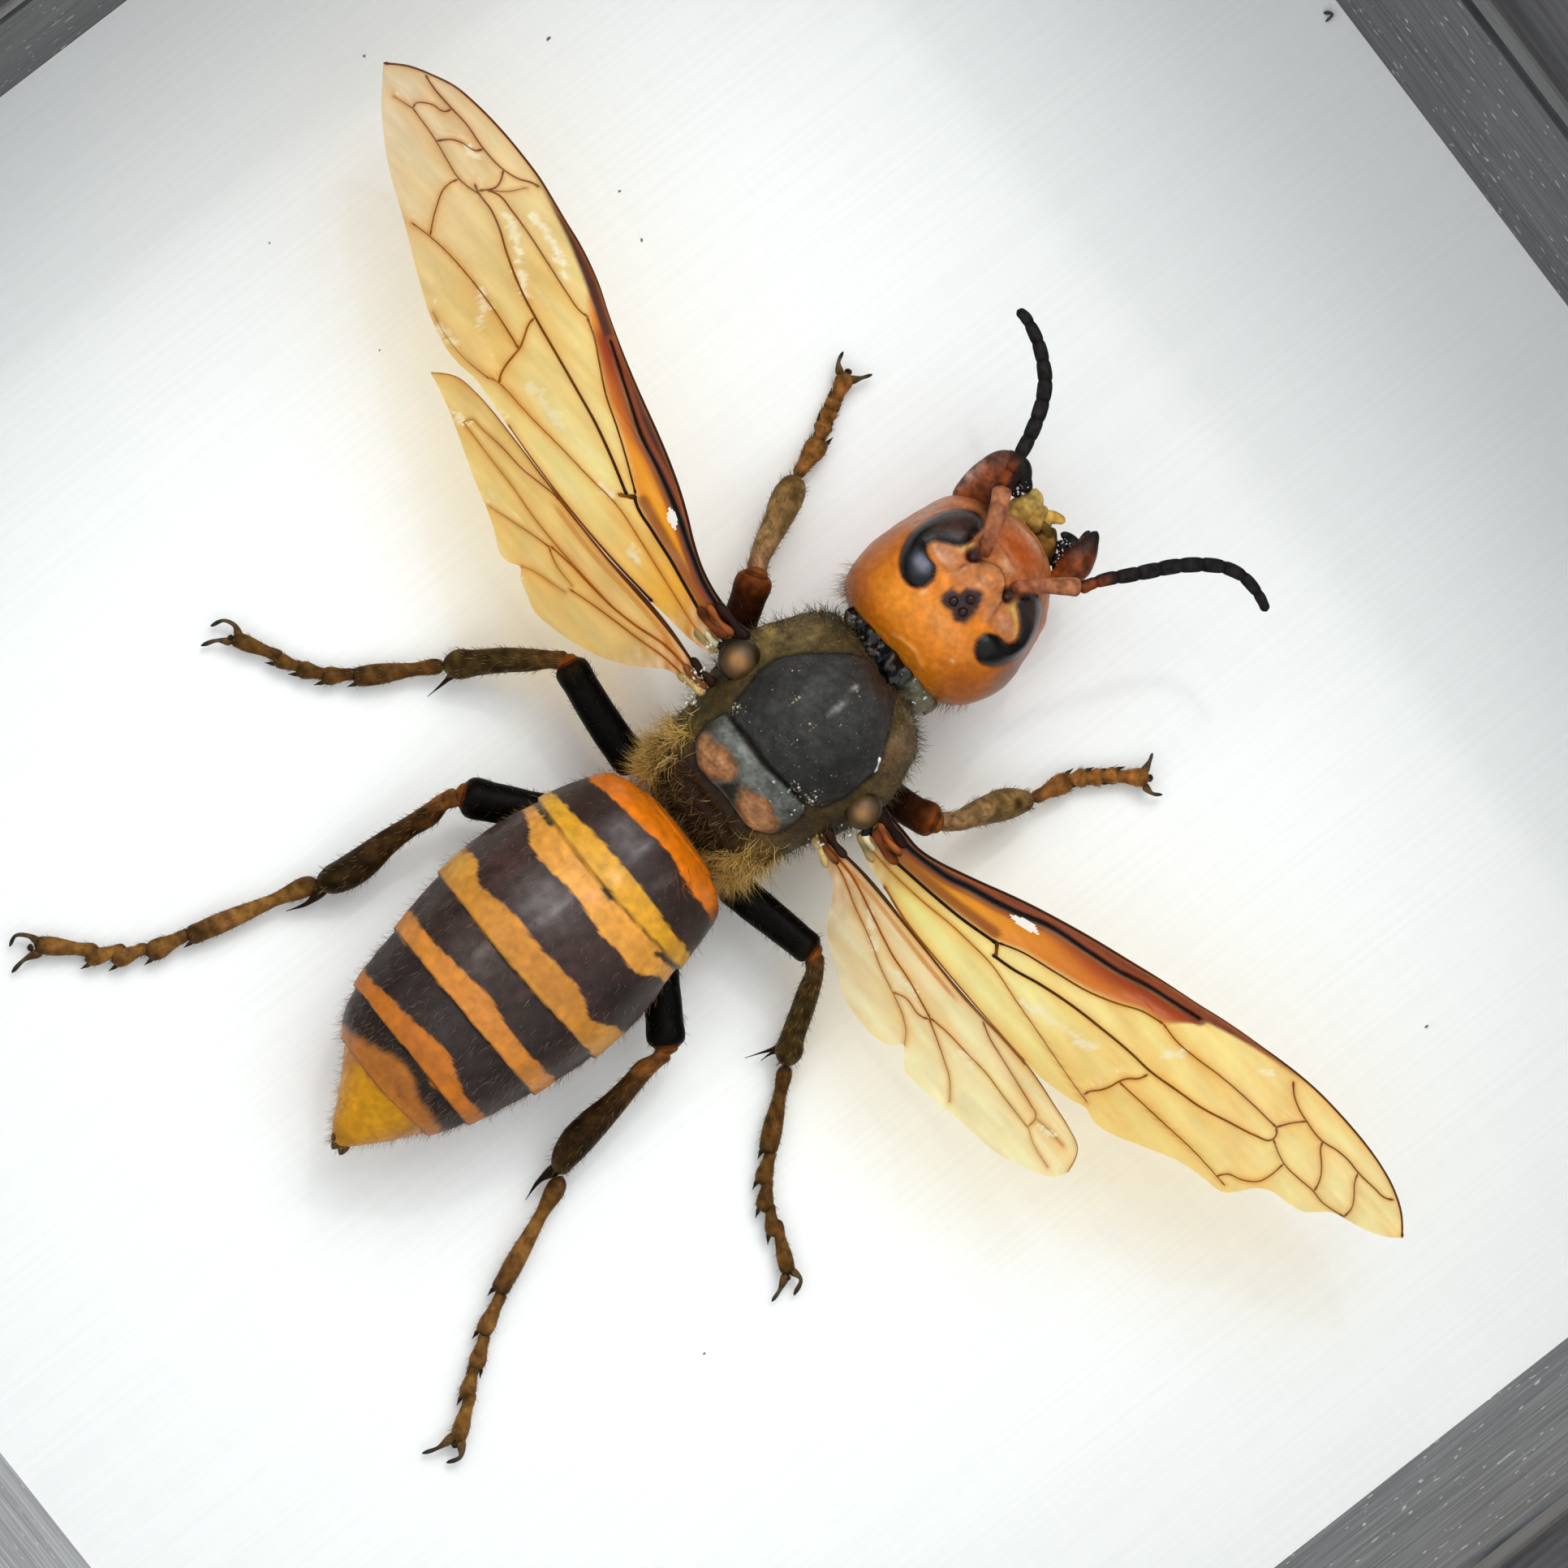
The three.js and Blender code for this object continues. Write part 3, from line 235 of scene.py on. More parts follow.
def skin(rings):
    """The points and faces of a closed form through an array of [ring, side, xyz]."""
    count, sides, _ = rings.shape
    ids = np.arange(count * sides).reshape(count, sides)
    turned = np.roll(ids, -1, 1)
    quads = np.stack([ids[:-1], turned[:-1], turned[1:], ids[1:]], -1).reshape(-1, 4)
    hubs = count * sides + np.arange(2)
    first = np.stack([np.full(sides, hubs[0]), turned[0], ids[0]], -1)
    last = np.stack([np.full(sides, hubs[1]), ids[-1], turned[-1]], -1)
    points = np.vstack([rings.reshape(-1, 3), rings[0].mean(0), rings[-1].mean(0)])
    a, b, c = (points[quads[:, i]] for i in range(3))
    if np.einsum("ij,ij->", a - points.mean(0), np.cross(b - a, c - a)) < 0:
        quads, first, last = quads[:, ::-1], first[:, ::-1], last[:, ::-1]
    return points, [quads, first, last]


TIP_RADIUS = 0.02
LEAST_RADIUS = 0.01


def ends_rounded(stations, share=0.55):
    """Adds a small station past both ends, so that a tube ends in a dome."""
    rows = [np.asarray(row, float) for row in stations]
    for end, inner in ((0, 1), (-1, -2)):
        way = rows[end][:3] - rows[inner][:3]
        way /= max(np.linalg.norm(way), 1e-6)
        tip = np.concatenate([rows[end][:3] + way * rows[end][3] * share, [TIP_RADIUS]])
        rows.insert(0 if end == 0 else len(rows), tip)
    return rows


class Tube:
    """A limb along stations of (x, y, height, radius), with the frame of each ring."""

    def __init__(self, stations, sides=14, spacing=0.1, flat=0.9, blunt=True):
        rows = curve(ends_rounded(stations) if blunt else stations, spacing)
        self.middles = real(rows[:, :3])
        self.radius = np.maximum(rows[:, 3], LEAST_RADIUS)
        along = np.gradient(self.middles, axis=0)
        self.along = along / np.linalg.norm(along, axis=1)[:, None]
        side = np.cross((0, 0, 1), self.along)
        self.side = side / np.linalg.norm(side, axis=1)[:, None]
        self.up = np.cross(self.along, self.side)
        self.turn = np.arange(sides) / sides * 2 * math.pi
        self.flat = flat
        self.share = np.linspace(0, 1, len(rows))

    def out(self):
        """The way out of the tube at every point of every ring."""
        across = np.cos(self.turn)[None, :, None] * self.side[:, None]
        rise = np.sin(self.turn)[None, :, None] * self.up[:, None]
        return across + self.flat * rise

    def rings(self, swell=0.0):
        """All rings, with a swelling that is a number or one for each point."""
        reach = self.radius[:, None] + swell
        return self.middles[:, None] + reach[..., None] * self.out()

    def stops(self, stops):
        """Colours for all points from (share of the length, tone) stops."""
        shares = [share for share, _ in stops]
        tones = np.array([tone(code) for _, code in stops])
        row = np.stack([np.interp(self.share, shares, t) for t in tones.T], -1)
        colours = np.repeat(row[:, None], len(self.turn), 1).reshape(-1, 3)
        return np.vstack([colours, row[0], row[-1]])


def tinted(colours, seen, tints, upper=1.0):
    """Soft blotches of (x, y, reach in x, reach in y, tone, strength)."""
    for x, y, wide, long, code, strength in tints:
        away = ((seen[:, 0] - x) / wide) ** 2 + ((seen[:, 1] - y) / long) ** 2
        colours = coat(colours, code, np.exp(-away) * strength * upper)
    return colours


def add_tube(form, stations, stops, rough=0.4, wear=0.12, tints=(), **shape):
    """Puts a tube into a form, with a little uneven colour, and returns it."""
    tube = Tube(stations, **shape)
    points, faces = skin(tube.rings())
    colours = tinted(tube.stops(stops), as_seen(points), tints)
    uneven = 1 + wear * ripple(points, 0.5, len(stations))
    form.add(points, faces, painted(colours * uneven[:, None], rough))
    return tube


def ball(centre, radii, rows=10, sides=16):
    """The points and faces of an egg round a real point."""
    lift = np.linspace(-1, 1, rows) * math.pi / 2 * 0.97
    turn = np.arange(sides) / sides * 2 * math.pi
    x = np.cos(lift)[:, None] * np.cos(turn)
    y = np.cos(lift)[:, None] * np.sin(turn)
    z = np.sin(lift)[:, None] + 0 * turn
    rings = np.stack([x, y, z], -1) * np.asarray(radii, float) + np.asarray(centre)
    return skin(rings)


HAIR_POINTS = 7
ROOT_DEPTH = 0.05


def hairs(form, roots, ways, lengths, width, colours, curl=0.25):
    """Tapered three-sided hairs from real points, each a little bent."""
    count = len(roots)
    ways = ways / np.linalg.norm(ways, axis=1)[:, None]
    other = np.cross(ways, randoms.normal(size=(count, 3)))
    other /= np.linalg.norm(other, axis=1)[:, None]
    third = np.cross(ways, other)
    lengths = np.asarray(lengths)[:, None]
    middle = roots + ways * lengths * 0.5 + other * lengths * curl * 0.3
    tip = roots + ways * lengths + other * lengths * curl
    rings = []
    for centre, thick in ((roots - ways * ROOT_DEPTH, width), (middle, width * 0.7)):
        for step in range(3):
            turn = step * 2 * math.pi / 3
            rings.append(centre + thick * (math.cos(turn) * other + math.sin(turn) * third))
    points = np.stack(rings + [tip], 1).reshape(-1, 3)
    base = (np.arange(count) * HAIR_POINTS)[:, None]
    quads = [base + np.array([i, (i + 1) % 3, (i + 1) % 3 + 3, i + 3]) for i in range(3)]
    tips = [base + np.array([i + 3, (i + 1) % 3 + 3, 6]) for i in range(3)]
    faces = [base + np.array([2, 1, 0])] + quads + tips
    form.add(points, faces, painted(np.repeat(colours, HAIR_POINTS, 0), 0.45))


def mixed_tones(count, *codes):
    """A random mix of tones, one for each hair."""
    tones = np.array([tone(code) for code in codes])
    share = randoms.uniform(0, len(tones) - 1, count)
    low = np.minimum(share.astype(int), len(tones) - 2)
    return tones[low] + (tones[low + 1] - tones[low]) * (share - low)[:, None]


# Looks


def new_look(name):
    """A new material with its node tree and its shader."""
    look = bpy.data.materials.new(name)
    look.use_nodes = True
    return look, look.node_tree, look.node_tree.nodes["Principled BSDF"]


def node(tree, kind, **values):
    """A new node, with its settings and the values of its unlinked sockets."""
    made = tree.nodes.new(kind)
    for key, value in values.items():
        if hasattr(made, key):
            setattr(made, key, value)
        else:
            made.inputs[key.replace("_", " ")].default_value = value
    return made


def grain(tree, size, stretch=(1, 1, 1), detail=3.0):
    """Noise with features of about size millimetres, longer along a stretched axis."""
    place = node(tree, "ShaderNodeTexCoord")
    scaled = node(tree, "ShaderNodeMapping")
    scaled.inputs["Scale"].default_value = [1 / s for s in stretch]
    tree.links.new(place.outputs["Object"], scaled.inputs["Vector"])
    noise = node(tree, "ShaderNodeTexNoise", Scale=1 / (size * MM), Detail=detail)
    tree.links.new(scaled.outputs["Vector"], noise.inputs["Vector"])
    return noise.outputs["Fac"]


def ramp(tree, source, *stops):
    """A colour ramp of (place, linear colour or grey)."""
    made = node(tree, "ShaderNodeValToRGB")
    tree.links.new(source, made.inputs["Fac"])
    band = made.color_ramp.elements
    while len(band) < len(stops):
        band.new(0.5)
    for element, (place, colour) in zip(band, stops):
        element.position = place
        grey = np.ndim(colour) == 0
        element.color = (colour,) * 3 + (1,) if grey else (*colour, 1)
    return made.outputs["Color"]


def mixed(tree, kind, one, two, share=1.0):
    """Two colours put together, where one may be a socket or a colour."""
    made = node(tree, "ShaderNodeMix", data_type="RGBA", blend_type=kind)
    for socket, value in ((made.inputs["A"], one), (made.inputs["B"], two)):
        colour = [s for s in made.inputs if s.type == "RGBA" and s.name == socket.name][0]
        if isinstance(value, bpy.types.NodeSocket):
            tree.links.new(value, colour)
        else:
            colour.default_value = (*value, 1)
    if isinstance(share, bpy.types.NodeSocket):
        tree.links.new(share, made.inputs["Factor"])
    else:
        made.inputs["Factor"].default_value = share
    return [s for s in made.outputs if s.type == "RGBA"][0]


def relief(tree, shader, source, depth, strength=1.0, before=None):
    """Bump of that depth in millimetres."""
    bump = node(tree, "ShaderNodeBump", Strength=strength, Distance=depth * MM)
    tree.links.new(source, bump.inputs["Height"])
    if before:
        tree.links.new(before, bump.inputs["Normal"])
    tree.links.new(bump.outputs["Normal"], shader.inputs["Normal"])
    return bump.outputs["Normal"]


def chitin(name, mottle=0.25, mottle_size=0.6, dents=0.012, dent_size=0.12, shine=0.5):
    """Shell whose colour and roughness are the mesh's own paint, with mottling and dents."""
    look, tree, shader = new_look(name)
    paint = node(tree, "ShaderNodeAttribute", attribute_name="paint")
    spots = grain(tree, mottle_size, detail=1.0)
    uneven = ramp(tree, spots, (0.3, 0.93 - mottle), (0.7, 0.93 + mottle * 0.6))
    colour = mixed(tree, "MULTIPLY", paint.outputs["Color"], uneven)
    tree.links.new(colour, shader.inputs["Base Color"])
    tree.links.new(paint.outputs["Alpha"], shader.inputs["Roughness"])
    relief(tree, shader, grain(tree, dent_size, detail=2.0), dents)
    shader.inputs["Specular IOR Level"].default_value = shine
    return look


def membrane(name):
    """Thin wing skin: paint's fourth number says how much of it is opaque."""
    look, tree, shader = new_look(name)
    paint = node(tree, "ShaderNodeAttribute", attribute_name="paint")
    uneven = ramp(tree, grain(tree, 0.5, (4, 1, 1), detail=1.0), (0.3, 0.94), (0.7, 1.0))
    colour = mixed(tree, "MULTIPLY", paint.outputs["Color"], uneven)
    tree.links.new(colour, shader.inputs["Base Color"])
    shader.inputs["Roughness"].default_value = 0.24
    shader.inputs["Specular IOR Level"].default_value = 0.2
    bent = relief(tree, shader, grain(tree, 0.32, (5, 1, 1), detail=1.0), 0.04)
    clear = node(tree, "ShaderNodeBsdfTransparent")
    tree.links.new(colour, clear.inputs["Color"])
    both = node(tree, "ShaderNodeMixShader")
    tree.links.new(paint.outputs["Alpha"], both.inputs["Fac"])
    tree.links.new(clear.outputs["BSDF"], both.inputs[1])
    tree.links.new(shader.outputs["BSDF"], both.inputs[2])
    gloss = node(tree, "ShaderNodeBsdfGlossy", Roughness=0.16)
    tree.links.new(bent, gloss.inputs["Normal"])
    coated = node(tree, "ShaderNodeMixShader", Fac=0.012)
    tree.links.new(both.outputs["Shader"], coated.inputs[1])
    tree.links.new(gloss.outputs["BSDF"], coated.inputs[2])
    tree.links.new(coated.outputs["Shader"], tree.nodes["Material Output"].inputs["Surface"])
    return look


# Body forms: stations of (y, left, right, bottom, top), and for the head also how far its
# right side is ahead of its middle

THORAX = [
    (10.05, -0.2, 0.5, 5.4, 6.4),
    (9.95, -1.9, 2.1, 4.4, 7.4),
    (9.6, -3.1, 3.5, 3.3, 8.6),
    (8.8, -3.8, 4.7, 2.3, 9.5),
    (7.6, -4.35, 5.4, 1.6, 10.1),
    (6.2, -4.8, 5.9, 1.2, 10.5),
    (4.8, -4.9, 6.05, 1.0, 10.6),
    (3.4, -4.6, 5.7, 1.0, 10.5),
    (2.0, -4.1, 5.2, 1.1, 10.3),
    (0.6, -3.75, 4.85, 1.3, 9.8),
    (-0.5, -3.5, 4.6, 1.6, 8.8),
    (-1.5, -3.2, 4.35, 2.0, 7.4),
    (-2.2, -2.6, 3.85, 2.7, 6.2),
    (-2.6, -1.2, 2.7, 3.5, 5.2),
    (-2.7, 0.3, 1.1, 4.2, 4.6),
]
ABDOMEN = [
    (-2.72, 0.6, 1.0, 4.3, 4.7),
    (-2.78, 0.0, 1.6, 3.5, 5.5),
    (-2.95, -1.6, 3.2, 2.2, 7.5),
    (-3.35, -2.95, 4.5, 1.5, 8.7),
    (-4.0, -3.8, 5.25, 1.0, 9.5),
    (-5.2, -4.25, 5.62, 0.8, 10.1),
    (-6.6, -4.6, 5.98, 0.7, 10.5),
    (-7.7, -4.78, 6.2, 0.65, 10.7),
    (-9.0, -5.0, 6.58, 0.6, 10.9),
    (-11.0, -5.1, 6.88, 0.6, 11.1),
    (-13.2, -4.92, 6.92, 0.7, 10.95),
    (-15.2, -4.5, 6.72, 0.85, 10.6),
    (-16.8, -4.05, 6.5, 1.0, 10.15),
    (-18.4, -3.66, 6.12, 1.3, 9.6),
    (-20.1, -3.05, 5.68, 1.65, 8.95),
    (-21.3, -2.35, 5.2, 2.1, 8.2),
    (-22.2, -1.3, 4.7, 2.5, 7.5),
    (-23.5, 0.1, 4.05, 3.1, 6.6),
    (-24.8, 1.4, 3.25, 3.8, 5.5),
    (-25.4, 2.05, 2.85, 4.2, 5.0),
    (-25.6, 2.4, 2.6, 4.5, 4.7),
]
HEAD = [
    (10.56, 0.2, 0.5, 5.9, 6.3, 0.05),
    (10.62, -1.6, 2.2, 4.6, 7.6, 0.1),
    (10.85, -3.3, 3.5, 3.4, 9.0, 0.2),
    (11.5, -4.1, 4.25, 2.7, 10.0, 0.25),
    (12.5, -4.5, 4.75, 2.3, 10.6, 0.25),
    (13.7, -4.68, 4.9, 2.1, 10.9, 0.25),
    (15.0, -4.66, 4.7, 2.0, 10.8, 0.25),
    (16.2, -4.57, 4.35, 2.0, 10.3, 0.2),
    (17.3, -4.36, 3.85, 2.0, 9.6, 0.15),
    (18.1, -4.0, 3.2, 2.2, 8.8, 0.1),
    (18.9, -2.9, 2.4, 2.6, 8.0, 0.05),
    (19.5, -1.9, 1.7, 3.2, 7.1, 0),
    (19.75, -1.1, 0.9, 4.0, 6.3, 0),
    (19.8, -0.2, 0.1, 5.0, 5.4, 0),
]


THORAX_RINGS = {"squareness": 2.2, "spacing": 0.09, "sides": 190}
ABDOMEN_RINGS = {"squareness": 2.2, "spacing": 0.125, "sides": 176}
HEAD_RINGS = {"squareness": 2.4, "spacing": 0.075, "sides": 220}

# How far off, in millimetres, a point of the underside counts when one of the top is sought
UNDERSIDE_OFF = 5


class Trunk:
    """A body form as rings across the hornet's length, which can be pushed in and out."""

    def __init__(self, stations, squareness, spacing, sides):
        rows = curve([(*row, 0)[:6] for row in stations], spacing)
        y, left, right, bottom, top, skew = (column[:, None] for column in rows.T)
        turn = np.arange(sides) / sides * 2 * math.pi
        power = 2 / squareness
        across = np.sign(np.cos(turn)) * np.abs(np.cos(turn)) ** power
        rise = np.sign(np.sin(turn)) * np.abs(np.sin(turn)) ** power
        waist = (bottom + top) / 2
        shrink = 1 - waist / HEIGHT
        places = np.stack(
            np.broadcast_arrays((left + right) / 2, y + skew * across, waist), -1
        )
        self.rings = real(places)
        self.rings[..., 0] += across * (right - left) / 2 * shrink
        self.rings[..., 2] += rise * (top - bottom) / 2
        self.update()

    def update(self):
        """Works out again which way is out, and where every point is seen."""
        along = np.gradient(self.rings, axis=0)
        around = np.roll(self.rings, -1, 1) - np.roll(self.rings, 1, 1)
        out = np.cross(around, along)
        centre = self.rings.mean(1, keepdims=True)
        if np.sum(out * (self.rings - centre)) < 0:
            out = -out
        self.out = out / np.maximum(np.linalg.norm(out, axis=-1), 1e-9)[..., None]
        self.seen = as_seen(self.rings).reshape(-1, 2)
        self.upper = smooth(self.out[..., 2], -0.15, 0.15).ravel()

    def points(self):
        """All points of all rings, one after the other."""
        return self.rings.reshape(-1, 3)

    def push(self, amount):
        """Moves every point outwards by its amount."""
        self.rings += self.out * np.asarray(amount).reshape(self.rings.shape[:2])[..., None]

    def depth_on_top(self, outline):
        """How deep each point is inside an outline on the upper side."""
        return depth_in(self.seen, rounded_outline(outline)) * self.upper - (1 - self.upper)

    def on_top(self, x, y, lift=0.0):
        """The real point of the upper side that is seen there, or a little over it."""
        away = np.hypot(self.seen[:, 0] - x, self.seen[:, 1] - y)
        away += UNDERSIDE_OFF * (1 - self.upper)
        return self.points()[np.argmin(away)] + (0, 0, lift)

    def add_to(self, form, colours, rough):
        """Puts the painted form into a mesh, with both its ends closed."""
        points, faces = skin(self.rings)
        rough = np.broadcast_to(rough, len(colours))
        paint = painted(colours, rough)
        sides = self.rings.shape[1]
        ends = np.stack([paint[:sides].mean(0), paint[-sides:].mean(0)])
        form.add(points, faces, np.vstack([paint, ends]))


# Abdomen: bands of (front edge from left to right, tone behind it, softness of the edge).
# A tint, here and later on, is (x, y, reach in x, reach in y, tone, strength)

SUTURES = [
    [(-5.2, -7.5), (0.7, -7.5), (2.5, -7.35), (6.6, -7.0)],
    [(-5.4, -13.55), (0.0, -13.55), (3.0, -13.4), (7.4, -13.0)],
    [(-4.6, -16.9), (0.5, -16.8), (7.0, -16.5)],
    [(-3.6, -20.15), (1.4, -20.1), (6.0, -19.95)],
    [(-2.4, -22.15), (1.5, -22.25), (5.2, -21.8)],
]
SHARP, SOFT, TAIL_SOFT = 0.05, 0.28, 0.12
BANDS = [
    ([(-4.6, -4.95), (-3.3, -4.7), (-0.5, -4.15), (0.7, -3.95), (3, -4.15), (5.6, -4.25)],
     "301c16", SHARP),
    ([(-4.9, -6.78), (-3.4, -6.55), (-1, -6.2), (0.6, -6.08), (3, -6.18), (6.4, -6.28)],
     "dc9c24", SHARP),
    (SUTURES[0], "e29a3c", SHARP),
    ([(-5.2, -8.3), (-4.5, -8.45), (-4.0, -8.65), (-3.4, -9.05), (-2, -9.12), (0, -8.93),
      (3, -8.98), (5.1, -8.7), (5.8, -8.15), (6.9, -7.9)], "38231f", SHARP),
    ([(-5.4, -11.85), (-4.2, -11.7), (-3.6, -12.1), (-3.2, -12.27), (-2.3, -12.0),
      (-0.9, -11.8), (0.9, -11.85), (2.6, -11.6), (4.3, -11.6), (5.4, -12.0),
      (6.0, -11.5), (7.3, -11.0)], "cc8730", SHARP),
    (SUTURES[1], "36241e", SHARP),
    ([(-5, -15.75), (-3, -15.8), (0, -15.5), (1.7, -15.22), (3.2, -15.45), (7, -15.2)],
     "d68632", SHARP),
    (SUTURES[2], "2c1f1b", SHARP),
    ([(-4.4, -19.2), (-2.5, -19.25), (0, -18.95), (2.1, -18.6), (4.4, -19.1), (6.6, -18.95)],
     "c6701a", SHARP),
    (SUTURES[3], "24170f", SHARP),
    ([(-3.2, -21.3), (-2.0, -21.65), (0, -21.25), (1.2, -20.75), (2.1, -20.65), (3.2, -21.05),
      (5.6, -21.1)], "c27428", SOFT),
    ([(-2.4, -22.1), (-0.6, -22.35), (1.5, -22.35), (4.9, -21.95)], "e29a06", TAIL_SOFT),
]
ABDOMEN_FRONT, ABDOMEN_REAR = -3.0, -26.0
DARK_SPOTS = [
    [(-4.75, -7.64), (-3.5, -7.68)],
    [(4.9, -7.42), (6.2, -7.12)],
    [(0.8, -7.62), (1.3, -7.58)],
]
# Among these tints, the two pale spots at x 0.6 in the middle of the first orange bands are painted
# highlights
ABDOMEN_TINTS_AND_HIGHLIGHTS = [
    (-3.6, -4.2, 1.0, 0.5, "d06a12", 0.5), (-4.6, -12.4, 0.9, 0.7, "dfa02c", 0.9),
    (6.4, -12.2, 0.7, 0.9, "d9962a", 0.9), (-0.8, -12.9, 0.8, 0.5, "dc9440", 0.5),
    (-4.0, -6.9, 1.0, 0.5, "e8ac2a", 0.7), (2.4, -21.4, 1.6, 0.35, "7c451a", 0.5),
    (-0.4, -23.1, 0.5, 0.9, "b0661a", 0.7), (4.3, -22.9, 0.5, 0.8, "b0661a", 0.7),
    (2.3, -25.2, 0.5, 0.4, "8a5a14", 0.7), (5.35, -3.9, 0.55, 0.6, "2a1814", 0.95),
    (3.0, -12.4, 2.4, 0.6, "b4702c", 0.7), (0.6, -6.8, 0.35, 0.4, "f2c07c", 0.6),
    (0.6, -8.3, 0.4, 0.4, "f6b070", 0.6), (1.8, -19.4, 1.4, 0.4, "b0601c", 0.6),
    (1.9, -15.9, 1.6, 0.4, "c87c34", 0.6), (2.6, -23.0, 1.0, 0.7, "cc9410", 0.5),
]
# Painted highlights and shade on the dark bands: grey sheens and streaks near the middle, a lighter patch on
# the left side, and darker patches over the right side
ABDOMEN_SHEEN_AND_SHADE = [
    (-0.7, -5.0, 1.1, 0.9, "6c6260", 0.6), (-0.6, -10.2, 1.3, 1.3, "706764", 0.6),
    (-0.4, -14.6, 1.4, 0.9, "5c504c", 0.5), (-3.4, -10.2, 1.0, 1.2, "4a342c", 0.6),
    (0.35, -5.0, 0.22, 0.8, "9a9498", 0.3), (-1.2, -5.2, 0.2, 0.7, "8a8488", 0.22),
    (0.0, -10.2, 0.25, 1.2, "968e92", 0.28), (-0.9, -10.6, 0.3, 0.9, "8a8080", 0.2),
    (-0.5, -14.2, 0.3, 0.7, "847a78", 0.3), (5.4, -10.2, 1.5, 1.4, "1e1412", 0.85),
    (3.6, -5.1, 1.4, 0.8, "241612", 0.75), (4.5, -14.4, 1.8, 0.9, "221a17", 0.7),
    (1.2, -17.9, 0.9, 0.7, "4a403c", 0.4), (2.2, -5.0, 0.3, 0.7, "5a4c48", 0.5),
]


def edge_at(edge, x):
    """The y of an edge, for every x."""
    line = curve(edge, spacing=0.1)
    return np.interp(x, line[:, 0], line[:, 1])


def abdomen_swell(trunk):
    """Every ring of the abdomen flares towards its rear edge."""
    x, y = trunk.seen.T
    lines = [edge_at(suture, x) for suture in SUTURES]
    lines = [ABDOMEN_FRONT + 0 * x, *lines, ABDOMEN_REAR + 0 * x]
    swell = np.zeros(len(x))
    for front, back in zip(lines[:-1], lines[1:]):
        share = (front - y) / (front - back)
        swell += np.where((share >= 0) & (share < 1), 0.2 * share - 0.1, 0)
    return swell + 0.02 * ripple(trunk.points() * (1, 2, 1), 1.3, 5) * smooth(-y, 3.5, 6)


def abdomen_colours(trunk):
    """The ragged bands, their blotches, spots and seams, with painted highlights and painted shade laid on;
    trunk.dark says what is dark.
    """
    x, y = trunk.seen.T
    flat = trunk.points()
    ragged = y + 0.06 * ripple(flat, 0.45, 2) + 0.05 * ripple(flat, 1.3, 3)
    colours = np.broadcast_to(tone("e27606"), (len(x), 3))
    for edge, code, soft in BANDS:
        colours = coat(colours, code, smooth(edge_at(edge, x) - ragged, -soft, soft))
    bright = smooth(colours.mean(1), 0.06, 0.16)
    trunk.dark = 1 - bright
    # the tints of the bright bands, with their two painted highlights
    colours = tinted(colours, trunk.seen, ABDOMEN_TINTS_AND_HIGHLIGHTS, bright)
    # painted sheen and shade, on the upper side of the dark bands only
    colours = tinted(colours, trunk.seen, ABDOMEN_SHEEN_AND_SHADE, trunk.dark * trunk.upper)
    clouds = 1 + bright * (0.1 * ripple(flat, 0.8, 6) + 0.06 * ripple(flat, 0.25, 7))
    blotches = 0.3 * ripple(flat * (2, 1, 1), 0.6, 13) + 0.2 * ripple(flat, 0.16, 14)
    clouds += (1 - bright) * blotches
    colours = colours * clouds[:, None]
    for spot in DARK_SPOTS:
        near = gap_to(trunk.seen, spot) + 0.07 * ripple(flat, 0.3, 9)
        colours = coat(colours, "3a2a14", smooth(-near, -0.2, -0.08))
    for suture in SUTURES:
        seam = np.abs(y - edge_at(suture, x) + 0.02 + 0.03 * ripple(flat, 0.5, 10))
        colours = blend(colours, colours * 0.2, smooth(-seam, -0.1, -0.02) * 0.85)
    return colours


STING = [
    [(2.45, -25.2, 4.7, 0.24), (2.62, -25.9, 4.5, 0.1)],
    [(2.75, -25.1, 4.7, 0.2), (3.08, -25.8, 4.6, 0.08)],
    [(2.2, -25.2, 4.9, 0.2), (2.3, -25.65, 4.8, 0.1)],
]
STING_STOPS = [(0, "6b4a18"), (1, "160f0a")]


def make_abdomen(look):
    trunk = Trunk(ABDOMEN, **ABDOMEN_RINGS)
    trunk.push(abdomen_swell(trunk))
    rough = 0.42 + 0.1 * smooth(ripple(trunk.points(), 1.2, 8), -0.3, 0.6)
    form = Form()
    trunk.add_to(form, abdomen_colours(trunk), rough)
    for rod in STING:
        add_tube(form, rod, STING_STOPS, rough=0.3, sides=8, spacing=0.08)
    form.piece("abdomen_shell", look, ["abdomen"], "banded_abdomen")
    return trunk


# Thorax

SCUTUM = [
    (-0.9, 9.25), (-0.2, 9.6), (0.8, 9.7), (1.8, 9.6), (2.4, 9.15), (3.2, 8.33), (3.84, 7.48),
    (4.33, 6.64), (4.47, 5.37), (4.42, 4.3), (3.98, 3.15), (3.4, 2.85), (1.94, 2.63),
    (0.53, 2.5), (-0.87, 2.56), (-2.25, 2.65), (-2.56, 3.1), (-2.9, 4.25), (-3.12, 5.1),
    (-2.98, 6.2), (-2.4, 7.34), (-1.7, 8.33), (-1.22, 8.9),
]
SCUTELLUM = [
    (-2.55, 2.45), (0.6, 2.4), (3.85, 2.45), (3.95, 1.5), (3.7, 0.6), (2.9, -0.05),
    (0.6, -0.15), (-1.4, -0.25), (-2.3, 0.4), (-2.6, 1.4),
]
